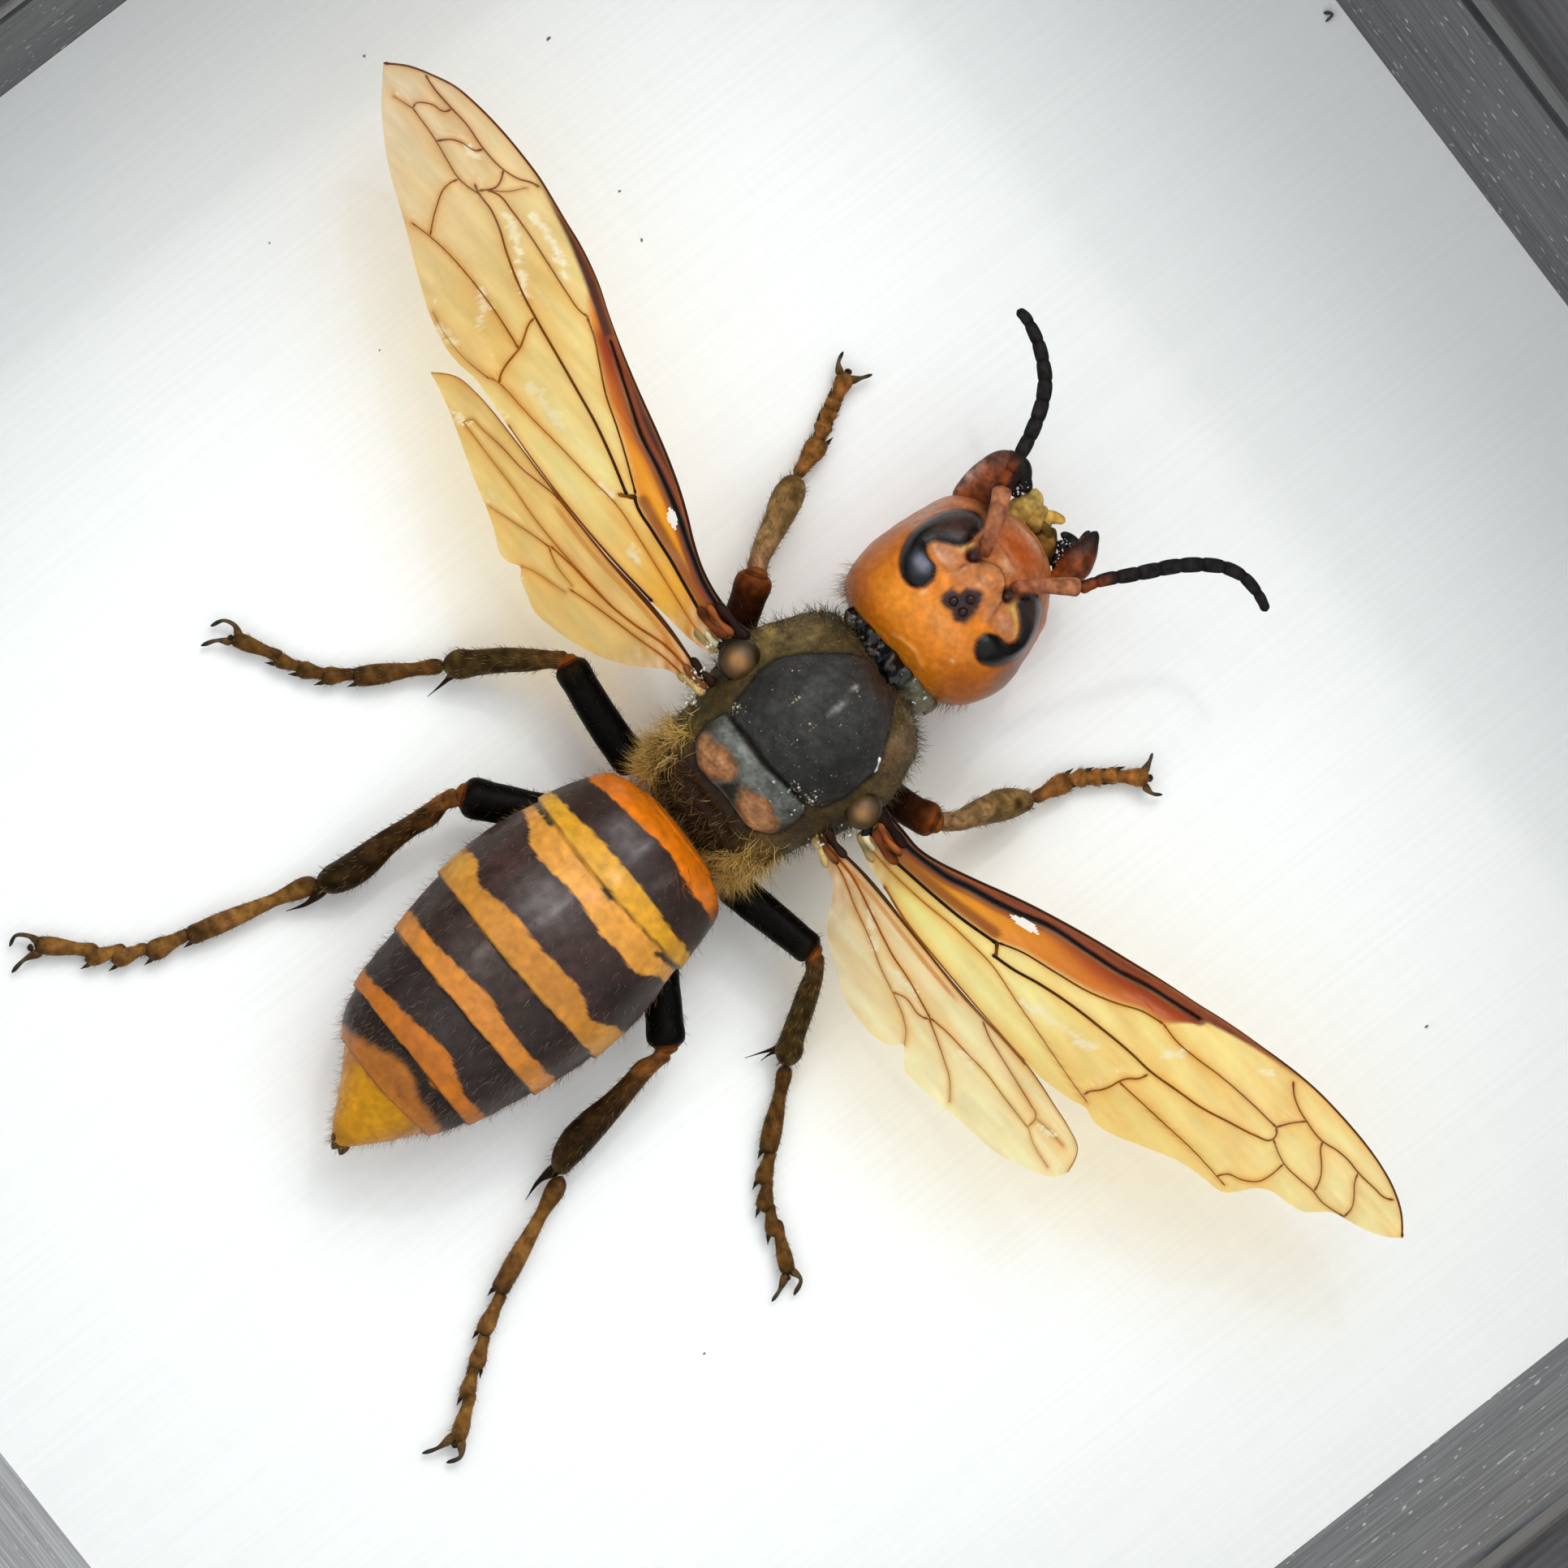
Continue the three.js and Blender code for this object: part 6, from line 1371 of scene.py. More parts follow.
WINGS = {
    "left_forewing": {
        "lead": [(-5.2, 5.62), (-7.47, 5.64), (-8.53, 5.81), (-10.03, 6.31), (-11.73, 7.06),
                 (-13.87, 7.79), (-15.73, 8.28), (-17.6, 8.72), (-19.47, 9.22), (-21.33, 9.79),
                 (-23.2, 10.44), (-25.07, 10.83), (-26.93, 11.03), (-28.43, 11.23), (-30.1, 11.27),
                 (-31.97, 11.19), (-33.65, 10.98), (-34.96, 10.67), (-36.08, 10.1), (-37.2, 9.36),
                 (-37.85, 8.66)],
        "trail": [(-5.2, 3.6), (-6.6, 3.25), (-8.0, 3.07), (-9.07, 2.9), (-10.9, 2.78), (-13, 2.62),
                  (-15.7, 2.52), (-18, 2.5), (-20.4, 2.62), (-22.1, 2.75), (-23.1, 2.74),
                  (-23.76, 2.6), (-25.07, 2.55), (-26.1, 2.73), (-27.1, 3.01), (-28.05, 3.39),
                  (-29.55, 4.0), (-31.04, 4.66), (-32.53, 5.25), (-34.03, 5.9), (-35.33, 6.65),
                  (-36.45, 7.4), (-37.2, 8.05), (-37.85, 8.62)],
        "tear": [(-12.2, 6.45), (-11.65, 6.5), (-11.2, 6.2), (-11.08, 5.95), (-11.75, 5.98)],
        "root": 8.3,
        "amber": [(-6.2, 4.72), (-8.5, 4.98), (-11.0, 5.3), (-13.2, 5.62)],
        "stripe": [(-5.6, 5.35), (-6.93, 5.39), (-8, 5.49), (-9.6, 5.92), (-11.73, 6.6), (-13.87, 7.15),
                   (-16, 7.57), (-17.6, 8.15), (-20.4, 9.17)],
        "costa_end": 28.3,
        "costa": "4c2012",
        "amber_end": "e88c14",
        "taper": 0.16,
        "wedge": [(-6.4, 5.2), (-8.5, 5.3), (-9.6, 5.7), (-11.73, 6.45), (-13.87, 7.0), (-16, 7.45),
                  (-17.6, 8.0), (-20.4, 9.05), (-23.4, 10.1), (-22.6, 9.3), (-21.9, 8.95),
                  (-19.84, 8.05), (-18.53, 7.4), (-16.67, 6.75), (-14.99, 6.09), (-13.68, 5.53),
                  (-11.73, 5.2), (-8.53, 4.8), (-6.4, 4.6)],
        "veins": [
            ([(-13.68, 5.53), (-14.99, 6.09), (-16.67, 6.75), (-18.53, 7.4), (-19.84, 8.05),
              (-20.96, 8.61), (-21.99, 8.95)], 0.07, 0.07, DARK, BROWN),
            ([(-13.87, 5.14), (-15.73, 5.66), (-17.6, 6.09), (-19.47, 6.37), (-21.33, 6.63),
              (-23.2, 6.88), (-25.07, 7.21), (-26.93, 7.77), (-28.05, 8.2), (-28.99, 8.43),
              (-30.11, 8.46), (-30.48, 8.56)], 0.12, 0.07, DARK, BROWN),
            ([(-5.6, 4.5), (-6.93, 4.5), (-8.53, 4.69), (-10.03, 4.91), (-11.73, 5.07), (-13.33, 5.28),
              (-13.68, 5.44)], 0.13, 0.12, DARK, DARK),
            ([(-13.55, 5.45), (-13.75, 5.25), (-14.0, 5.0), (-14.2, 4.85)], 0.16, 0.1, DARK, BROWN),
            ([(-5.6, 3.85), (-6.72, 3.84), (-8.53, 4.0), (-10.13, 4.16), (-11.73, 4.32), (-13.87, 4.46),
              (-15.73, 4.23), (-17.6, 4.04), (-19.47, 3.8), (-20.5, 3.7), (-22.08, 3.54),
              (-22.55, 3.39)], 0.07, 0.045, PINK, PINK),
            ([(-9, 2.95), (-12, 2.66), (-15.9, 2.52), (-18.2, 2.56), (-20.2, 2.66)], 0.1, 0.05,
             DARK, BROWN),
            ([(-23.54, 6.84), (-23.48, 6.52), (-23.11, 5.91), (-22.83, 5.44), (-22.73, 5.07),
              (-22.55, 4.32), (-22.27, 3.76), (-22.08, 3.57)], 0.07, 0.08, BROWN, BROWN),
            ([(-22.83, 5.35), (-24.69, 5.53), (-26.93, 5.57), (-28.8, 5.44), (-29.83, 5.25),
              (-30.85, 4.97)], 0.07, 0.04, BROWN, BROWN),
            ([(-29.83, 5.31), (-30.29, 5.81), (-30.85, 6.56), (-31.19, 7.12), (-31.26, 7.68),
              (-31.17, 8.05)], 0.05, 0.05, BROWN, BROWN),
            ([(-35.24, 8.43), (-33.28, 8.35), (-32.16, 8.2), (-31.17, 8.11), (-30.39, 8.28),
              (-29.92, 8.48)], 0.04, 0.06, BROWN, BROWN),
            ([(-29.92, 8.86), (-29.36, 9.17), (-28.43, 9.21), (-26.93, 9.17), (-25.07, 9.02),
              (-23.57, 8.89), (-22.27, 8.89), (-21.99, 8.99)], 0.07, 0.06, BROWN, BROWN),
            ([(-30.2, 10.11), (-29.83, 9.64), (-29.73, 9.23), (-29.92, 8.86), (-30.11, 8.52)],
             0.07, 0.07, BROWN, BROWN),
            ([(-36.17, 9.92), (-35.71, 9.86), (-34.21, 9.92), (-33.09, 10.03), (-31.6, 9.96),
              (-30.2, 10.11), (-29.36, 10.44), (-28.8, 10.85), (-28.46, 10.98)], 0.06, 0.07,
             BROWN, BROWN),
            ([(-31.6, 9.92), (-31.79, 9.55), (-32.35, 9.36), (-32.91, 8.99), (-33.28, 8.39)],
             0.06, 0.06, BROWN, BROWN),
            ([(-34.08, 9.92), (-34.18, 9.55), (-34.77, 9.32), (-35.18, 8.99), (-35.37, 8.65),
              (-35.24, 8.43)], 0.05, 0.05, BROWN, BROWN),
            ([(-29.92, 8.86), (-29.27, 9.55), (-28.8, 10.48)], 0.035, 0.03, FAINT, FAINT),
            ([(-35.24, 8.43), (-36.27, 8.05)], 0.035, 0.02, FAINT, FAINT),
            ([(-22.5, 3.3), (-24, 2.95), (-25.5, 2.9), (-26.8, 3.1)], 0.04, 0.02, RUST, FAINT),
        ],
    },
    "right_forewing": {
        "lead": [(6.2, 5.76), (7.47, 5.81), (8.32, 5.82), (9.17, 5.99), (10.24, 6.47), (11.73, 7.22),
                 (13.87, 8.36), (15.9, 9.3), (17.6, 10.02), (19.47, 10.74), (21.33, 11.45),
                 (23.2, 12.09), (25.07, 12.78), (26.93, 13.35), (28.8, 13.89), (30.29, 14.21),
                 (32.16, 14.42), (34.03, 14.51), (35.33, 14.46), (36.64, 14.25), (37.76, 13.84),
                 (38.5, 13.43), (38.77, 13.14)],
        "trail": [(6.2, 4.2), (6.83, 3.95), (7.25, 3.6), (8.0, 3.43), (9.07, 3.39), (10.13, 3.22),
                  (12, 3.15), (13.87, 3.22), (15.7, 3.31), (17.4, 3.41), (18.5, 3.5), (19.84, 3.59),
                  (20.96, 3.69), (22.08, 3.95), (23.2, 4.3), (24.04, 4.62), (24.5, 4.52),
                  (25.07, 4.58), (26, 4.97), (26.93, 5.53), (27.87, 6.1), (29, 6.7), (30.3, 7.12),
                  (31.5, 7.5), (31.94, 8.15), (32.25, 8.8), (32.72, 9.27), (34.03, 9.73),
                  (34.68, 10.01), (35.15, 10.57), (35.61, 11.13), (36.17, 11.41), (36.83, 11.69),
                  (37.76, 12.16), (38.41, 12.68), (38.77, 13.1)],
        "tear": [(14.0, 7.5), (14.7, 7.98), (15.3, 8.16), (15.75, 8.0), (15.2, 7.7), (14.6, 7.45)],
        "root": 8.3,
        "amber": [(7.0, 4.75), (9.0, 5.0), (11.5, 5.55), (14.3, 6.35)],
        "stripe": [(6.6, 5.5), (8.53, 5.6), (9.6, 5.87), (10.67, 6.19), (11.73, 6.72), (13.12, 7.31),
                   (14.24, 7.87), (15.73, 8.71), (17.6, 9.36), (19.47, 10.01), (21.33, 10.85),
                   (23.2, 11.51), (23.95, 11.79)],
        "costa_end": 28.6,
        "costa": "763620",
        "amber_end": "d4700c",
        "taper": 0.08,
        "wedge": [(7, 5.35), (9.6, 5.7), (11.73, 6.5), (14.24, 7.7), (15.73, 8.5), (17.6, 9.2),
                  (19.47, 9.85), (21.33, 10.7), (23.2, 11.4), (24.3, 11.8), (23.67, 11.04),
                  (23.01, 10.2), (21.89, 9.77), (20.77, 8.99), (19.47, 8.24), (17.6, 7.49),
                  (15.73, 6.75), (14.8, 6.19), (12.8, 5.6), (9.07, 4.8), (7, 4.6)],
        "veins": [
            ([(14.8, 6.19), (15.73, 6.75), (17.6, 7.49), (19.47, 8.24), (20.77, 8.99),
              (21.89, 9.77), (22.64, 10.07), (23.01, 10.2)], 0.07, 0.07, DARK, BROWN),
            ([(15.08, 5.59), (16.29, 5.96), (17.6, 6.52), (19.47, 7.16), (21.33, 7.64), (23.2, 8.05),
              (24.41, 8.24), (26, 8.71), (27.49, 9.17), (28.8, 9.77), (30.29, 10.48),
              (30.85, 10.85), (30.91, 11.08), (30.76, 11.38), (30.54, 11.51)], 0.12, 0.07,
             DARK, BROWN),
            ([(6.6, 4.5), (7.79, 4.5), (9.07, 4.71), (10.67, 5.01), (12.8, 5.49), (13.87, 5.81),
              (14.72, 6.08)], 0.13, 0.12, DARK, DARK),
            ([(14.7, 6.15), (15.0, 5.9), (15.25, 5.65)], 0.14, 0.1, DARK, BROWN),
            ([(6.6, 4.0), (8, 4.05), (10.67, 4.43), (12.8, 4.9), (13.87, 5.07), (15.36, 5.25),
              (17.6, 5.12), (19.47, 5.03), (21.33, 4.92), (23.2, 4.84), (23.76, 4.84)], 0.07,
             0.045, PINK, PINK),
            ([(9.07, 3.42), (11, 3.22), (13.87, 3.27), (17.4, 3.45), (20.2, 3.64)], 0.09, 0.05,
             BROWN, BROWN),
            ([(24.51, 8.05), (24.41, 7.59), (24.04, 7.12), (23.91, 6.71), (23.85, 6.28), (23.67, 5.72),
              (23.39, 5.25), (23.35, 4.97)], 0.07, 0.07, BROWN, BROWN),
            ([(23.95, 6.71), (25.07, 6.9), (26.93, 7.21), (28.8, 7.53), (30.48, 7.68), (31.23, 7.72)],
             0.06, 0.04, BROWN, BROWN),
            ([(32.2, 10.67), (32.25, 9.92), (32.16, 9.27), (31.6, 8.61), (30.85, 8.15),
              (30.63, 7.68)], 0.05, 0.05, BROWN, BROWN),
            ([(30.91, 11.04), (31.6, 10.82), (32.25, 10.72), (33.28, 10.85), (34.21, 11.04),
              (34.87, 11.04), (35.52, 11.23), (36.14, 11.47)], 0.06, 0.05, BROWN, BROWN),
            ([(23.01, 10.2), (24.13, 10.2), (25.07, 10.39), (26.93, 10.89), (28.8, 11.26),
              (30.54, 11.51)], 0.06, 0.07, BROWN, BROWN),
            ([(30.54, 11.51), (30.76, 12.07), (30.95, 12.44), (31.23, 12.87)], 0.06, 0.06,
             BROWN, BROWN),
            ([(29.27, 13.56), (29.83, 13.19), (30.39, 13.0), (31.23, 12.89), (32.53, 12.91),
              (33.28, 13.19), (34.03, 13.35), (34.87, 13.37), (35.89, 13.52), (36.73, 13.69),
              (37.01, 13.93)], 0.07, 0.06, BROWN, BROWN),
            ([(32.53, 12.91), (32.72, 12.63), (33.28, 12.25), (33.75, 11.88), (34.03, 11.51),
              (34.21, 11.08)], 0.06, 0.06, BROWN, BROWN),
            ([(34.87, 13.32), (35.15, 12.91), (35.71, 12.44), (36.08, 11.97), (36.14, 11.47)],
             0.05, 0.05, BROWN, BROWN),
        ],
    },
    "left_hindwing": {
        "lead": [(-4.6, 2.6), (-6.4, 2.76), (-7.47, 2.82), (-9.6, 2.74), (-12, 2.5), (-16, 2.43),
                 (-20.2, 2.45), (-21.7, 2.42), (-22.8, 2.28), (-23.76, 1.99), (-24.2, 1.61),
                 (-24.5, 1.25)],
        "trail": [(-4.6, 1.8), (-5.87, 1.5), (-6.4, 0.96), (-7.04, 0.3), (-8.2, -0.6), (-9.6, -1.28),
                  (-11, -1.72), (-12.2, -1.92), (-13.1, -1.69), (-13.87, -1.47), (-14.3, -1.15),
                  (-14.9, -1.48), (-15.36, -1.52), (-16.5, -1.06), (-17.8, -0.63), (-18.9, -0.35),
                  (-20.2, 0.06), (-21.5, 0.49), (-22.8, 0.87), (-23.9, 1.11), (-24.5, 1.2)],
        "root": 7.75,
        "veins": [
            ([(-4.4, 2.62), (-6.4, 2.74), (-8.53, 2.7), (-10.03, 2.6), (-11.73, 2.5), (-13.87, 2.44),
              (-16, 2.38)], 0.12, 0.08, DARK, RUST),
            ([(-15.92, 2.4), (-16.85, 2.17), (-17.97, 1.89), (-19.47, 1.74), (-20.77, 1.52),
              (-21.52, 1.37), (-21.61, 0.96)], 0.06, 0.04, RUST, FAINT),
            ([(-4.4, 2.3), (-5.87, 2.27), (-6.93, 2.13), (-8.53, 1.6), (-10.03, 1.23), (-11.73, 1.01),
              (-12.8, 0.91), (-14.2, 0.66)], 0.1, 0.06, RUST, BROWN),
            ([(-10.03, 1.23), (-14.2, 0.9), (-15.73, 0.87), (-17.6, 0.96), (-19.65, 0.96),
              (-21.61, 1.0)], 0.05, 0.04, BROWN, FAINT),
            ([(-14.2, 0.59), (-15.17, 0.31), (-16.29, -0.07), (-17.6, -0.53)], 0.05, 0.03,
             BROWN, FAINT),
            ([(-14.2, 0.55), (-13.31, 0.31), (-12, 0.31)], 0.05, 0.03, BROWN, FAINT),
            ([(-4.6, 2.0), (-6.4, 1.75), (-8, 1.28), (-9.6, 0.85), (-11.2, 0.37), (-11.95, 0.11)],
             0.08, 0.05, BROWN, BROWN),
            ([(-12, -0.16), (-13.12, -0.53), (-13.87, -0.81), (-14.33, -1.09)], 0.04, 0.03,
             FAINT, FAINT),
        ],
    },
    "right_hindwing": {
        "lead": [(5.7, 2.6), (7.5, 2.95), (9.07, 3.07), (12.05, 3.1), (15.7, 3.22), (18.5, 3.45),
                 (20.4, 3.6), (21.7, 3.56), (23.2, 3.42), (24.9, 3.2), (25.35, 3.01), (25.8, 2.36),
                 (25.9, 2.0)],
        "trail": [(5.7, 2.1), (6.8, 1.7), (7.47, 1.5), (8.1, 0.9), (8.75, 0.1), (9.6, -0.45),
                  (11.2, -1.06), (12, -1.43), (13.5, -1.62), (14.8, -1.47), (15.5, -1.13),
                  (15.9, -0.6), (16.2, -0.81), (16.7, -1.24), (18.2, -1.19), (19.5, -0.94),
                  (21, -0.63), (22.1, -0.44), (23.2, -0.16), (23.95, 0.21), (24.9, 0.68),
                  (25.44, 1.05), (25.83, 1.61), (25.9, 1.95)],
        "root": 7.75,
        "veins": [
            ([(5.5, 2.56), (7.47, 2.9), (9.07, 3.0), (10.67, 3.05), (12.8, 3.1), (16, 3.17),
              (17.41, 3.3), (18.53, 3.42), (20.4, 3.55)], 0.1, 0.05, DARK, BROWN),
            ([(17.41, 3.2), (18.16, 2.98), (19.47, 2.83), (20.96, 2.68), (22.08, 2.55), (22.73, 2.42),
              (22.88, 2.08), (22.88, 1.8)], 0.05, 0.04, BROWN, FAINT),
            ([(5.5, 2.42), (7.9, 2.45), (9.6, 2.13), (11.2, 1.81), (12, 1.67), (13.49, 1.56),
              (14.8, 1.37), (15.64, 1.24)], 0.09, 0.06, RUST, BROWN),
            ([(15.64, 1.24), (16.67, 1.46), (18.16, 1.61), (19.47, 1.76), (20.96, 1.74),
              (22.88, 1.74)], 0.05, 0.04, BROWN, FAINT),
            ([(22.88, 2.36), (23.57, 2.49), (24.69, 2.58)], 0.025, 0.02, FAINT, FAINT),
            ([(22.88, 1.8), (23.57, 1.52), (25.07, 1.33)], 0.025, 0.02, FAINT, FAINT),
            ([(15.64, 1.18), (16.67, 0.87), (17.79, 0.49), (18.53, 0.21), (19.19, -0.25),
              (19.52, -0.53)], 0.05, 0.03, BROWN, FAINT),
            ([(15.64, 1.15), (15.36, 0.96), (14.05, 0.87), (13.49, 0.55)], 0.05, 0.04, BROWN, BROWN),
            ([(5.7, 2.2), (6.93, 2.2), (9.07, 1.65), (10.67, 1.28), (12.27, 0.8), (13.49, 0.55),
              (14.8, 0.21), (15.45, -0.12), (15.92, -0.59)], 0.07, 0.03, BROWN, FAINT),
        ],
    },
}
BODY_MIDDLE_X = 0.6

# Small plates at the roots, as (distance from the body's middle, y, height, radius)
FORE_PLATES = [
    ([(5.2, 5.0, 8.6, 0.26), (5.7, 4.6, 8.5, 0.24), (5.9, 4.1, 8.3, 0.12)], "1e1e20"),
    ([(5.3, 5.5, 8.6, 0.26), (6.4, 5.45, 8.5, 0.2), (7.6, 5.42, 8.4, 0.1)], "24120c"),
    ([(5.7, 4.1, 8.2, 0.16), (6.4, 3.8, 8.2, 0.14), (7.2, 3.75, 8.15, 0.08)], "a8905c"),
    ([(6.0, 4.8, 8.6, 0.14), (6.9, 4.5, 8.5, 0.16), (8.0, 4.6, 8.4, 0.1)], "6a3418"),
    ([(5.6, 4.4, 8.3, 0.12), (6.3, 4.1, 8.3, 0.16), (6.8, 4.15, 8.2, 0.08)], "d8c8a0"),
    ([(5.9, 5.1, 8.6, 0.1), (6.8, 4.95, 8.6, 0.12), (7.8, 5.0, 8.4, 0.08)], "8a4a24"),
]
HIND_PLATES = [
    ([(4.5, 2.9, 7.8, 0.2), (5.3, 2.75, 7.8, 0.18), (6.2, 2.8, 7.8, 0.1)], "2e1c12"),
    ([(4.5, 2.2, 7.7, 0.2), (5.2, 2.0, 7.7, 0.14), (6.0, 1.75, 7.7, 0.08)], "b0925c"),
    ([(4.6, 2.5, 7.8, 0.14), (5.3, 2.3, 7.8, 0.12), (6.2, 2.3, 7.7, 0.07)], "7a4420"),
]

# A wing sinks by this share of its length. It is a grid whose rows come closer to each other
# towards the front edge, and whose last column stays just short of the tip
WING_SLOPE = -0.02
WING_COLUMNS = 330
WING_ROWS = 52
ROW_POWER = 1.5
LAST_COLUMN = 0.999
FAR_FROM_EDGE = 9.0


class Wing:
    """A wing as a grid of seen points, with how far each is from the edge and the veins."""

    def __init__(self, name):
        self.name, self.table = name, WINGS[name]
        self.fore = name.endswith("forewing")
        lead, trail = (curve(self.table[key], spacing=0.08) for key in ("lead", "trail"))
        spread = np.sin(np.linspace(0, 1, WING_COLUMNS) * math.pi / 2 * LAST_COLUMN)
        self.sign = np.sign(lead[-1, 0])
        root, tip = abs(lead[0, 0]), max(abs(lead[-1, 0]), abs(trail[-1, 0]))
        self.columns = root + (tip - root) * spread
        high = np.interp(self.columns, np.abs(lead[:, 0]), lead[:, 1])
        low = np.interp(self.columns, np.abs(trail[:, 0]), trail[:, 1])
        share = 1 - (1 - np.linspace(0, 1, WING_ROWS)) ** ROW_POWER
        y = low[:, None] + (high - low)[:, None] * share
        self.seen = np.stack([np.repeat(self.columns * self.sign, WING_ROWS), y.ravel()], -1)
        self.reach = np.abs(self.seen[:, 0])
        self.edge = np.minimum(gap_to(self.seen, lead), FAR_FROM_EDGE)
        gaps = [gap_to(self.seen, curve(vein[0], spacing=0.12)) for vein in self.table["veins"]]
        self.rib = np.minimum.reduce([*gaps, self.edge])
        self.outer = smooth(self.reach, 8, 30 if self.fore else 20)
        self.flat = np.column_stack([self.seen, np.zeros(len(self.seen))])
        self.along = self.flat * (0.3, 1.7, 1)
        self.from_body = np.abs(self.seen[:, 0] - BODY_MIDDLE_X)
        self.level = self.table["root"] + WING_SLOPE * self.from_body

    def level_at(self, points):
        """The height of the level wing at seen points."""
        return np.interp(np.abs(points[:, 0]), self.columns, self.level[::WING_ROWS])

    def height(self):
        """The height of every point of the wing, which sags between its veins."""
        sag = -0.2 * smooth(self.rib, 0, 0.9)
        folds = 0.07 * ripple(self.along, 0.8, 41) + 0.03 * ripple(self.along, 0.36, 42)
        y = self.seen[:, 1]
        sweep = 0.25 * self.outer * np.sin((y - y.mean()) * 0.8)
        bends = (sag + folds * smooth(self.rib, 0.05, 0.4)) * (0.4 + 0.6 * self.outer)
        return self.level + bends + sweep * 0.3


def paint_wedge(wing, stripe_gap, colours, opaque):
    """The amber wedge of a fore wing, red along the stripe, and the strip at its root."""
    outline = curve([*wing.table["wedge"], wing.table["wedge"][0]], spacing=0.2)[:-1]
    wedge = depth_in(wing.seen, outline)
    amber = blend(tone("f4a410"), tone(wing.table["amber_end"]), smooth(wing.reach, 9, 20))
    colours = blend(colours, amber, smooth(wedge, -0.05, 0.3) * 0.95)
    farther = smooth(wing.reach, 14, 20)
    near = smooth(-stripe_gap, -0.7 - 0.7 * farther, -0.2)
    red = smooth(wedge, -0.02, 0.12) * near * (0.6 + 0.4 * farther)
    colours = coat(colours, "962c04", red)
    opaque = np.maximum(opaque, 0.3 * smooth(wedge, -0.05, 0.2) + 0.3 * red)
    strip = smooth(-gap_to(wing.seen, curve(wing.table["amber"], spacing=0.2)), -0.42, -0.14)
    return coat(colours, "8c4a0c", strip * 0.9), np.maximum(opaque, 0.55 * strip)


def paint_front(wing, stripe, stripe_gap, colours, opaque):
    """The dark front edge of a fore wing and the black stripe behind it."""
    reach, end = wing.reach, wing.table["costa_end"]
    under = np.interp(reach, np.abs(stripe[:, 0]), stripe[:, 1])
    past = np.abs(stripe[-1, 0])
    ahead = smooth(wing.seen[:, 1] - under, -0.1, 0.12) * smooth(-reach, -past - 0.8, -past + 0.4)
    rim = smooth(0.55 - 0.38 * smooth(reach, 23, 28) - wing.edge, -0.12, 0.08)
    band = np.maximum(ahead, rim * smooth(-reach, -end - 2, -end + 2))
    costa = blend(tone("2c120a"), tone(wing.table["costa"]), smooth(reach, 9, 20))
    costa = costa * (1 + 0.2 * ripple(wing.flat, 0.4, 49))[:, None]
    colours = blend(colours, costa, band)
    opaque = np.maximum(opaque, (0.94 - 0.16 * smooth(reach, 14, 26)) * band)
    half = 0.3 - wing.table["taper"] * smooth(reach, 10, 21)
    halo = smooth(half + 0.22 - stripe_gap, 0, 0.2)
    colours = coat(colours, "8e3e10", halo * 0.85)
    opaque = np.maximum(opaque, 0.6 * halo)
    black = smooth(half - stripe_gap, 0, 0.2)
    return coat(colours, "120b09", black), np.maximum(opaque, 0.97 * black)


def paint_hindwing(wing, colours, opaque):
    """The amber line close behind the front edge of a hind wing."""
    band = smooth(-np.abs(wing.edge - 0.42), -0.16, -0.06) * smooth(-wing.reach, -16.2, -15)
    return coat(colours, "cf8a32", band * 0.8), np.maximum(opaque, 0.5 * band)


def wing_paint(wing):
    """The colours of a membrane, and how opaque it is."""
    flat, along = wing.flat, wing.along
    tones = np.array([tone(code) for code in WING_TONES[wing.name]])
    colours = [np.interp(wing.reach, WING_TONE_PLACES, part) for part in tones.T]
    colours = np.stack(colours, -1)
    front = smooth(-wing.edge, -3.5, -0.5) * (1 - wing.outer)
    colours = blend(colours, colours * tone("fff0d0"), front * 0.6)
    streaks = 0.05 * ripple(along, 1.0, 43) + 0.045 * ripple(along, 0.3, 50)
    colours = np.minimum(colours * (1 + streaks)[:, None], 1)
    root = smooth(-wing.from_body, -9.5, -6.5)
    cloudy = 0.5 + 0.5 * ripple(flat, 0.35, 45)
    colours = blend(colours, blend(tone("b07a48"), tone("e6cdb0"), cloudy), root * 0.8)
    opaque = np.maximum(0.15 + 0.05 * ripple(along, 0.6, 44), 0.6 * root)
    if wing.fore:
        stripe = curve(wing.table["stripe"], spacing=0.15)
        stripe_gap = gap_to(wing.seen, stripe)
        colours, opaque = paint_wedge(wing, stripe_gap, colours, opaque)
        colours, opaque = paint_front(wing, stripe, stripe_gap, colours, opaque)
    else:
        colours, opaque = paint_hindwing(wing, colours, opaque)
    near_veins = 0.3 * bell(wing.rib, 0.4) + 0.2 * smooth(ripple(along, 1.4, 46), 0.0, 0.7)
    colours = blend(colours, colours * tone("f8c060"), near_veins)
    colours = coat(colours, "b86c10", bell(wing.rib, 0.13) * 0.45)
    uneven = 0.16 * ripple(flat, 0.3, 47) + 0.1 * ripple(flat, 0.12, 48)
    # painted glints along the creases
    for line in CREASE_GLINTS[wing.name]:
        shine = smooth(-gap_to(wing.seen, line) + uneven, -0.26, 0.0)
        colours = coat(colours, "fff8dc", shine * 0.85)
    return painted(colours, opaque)


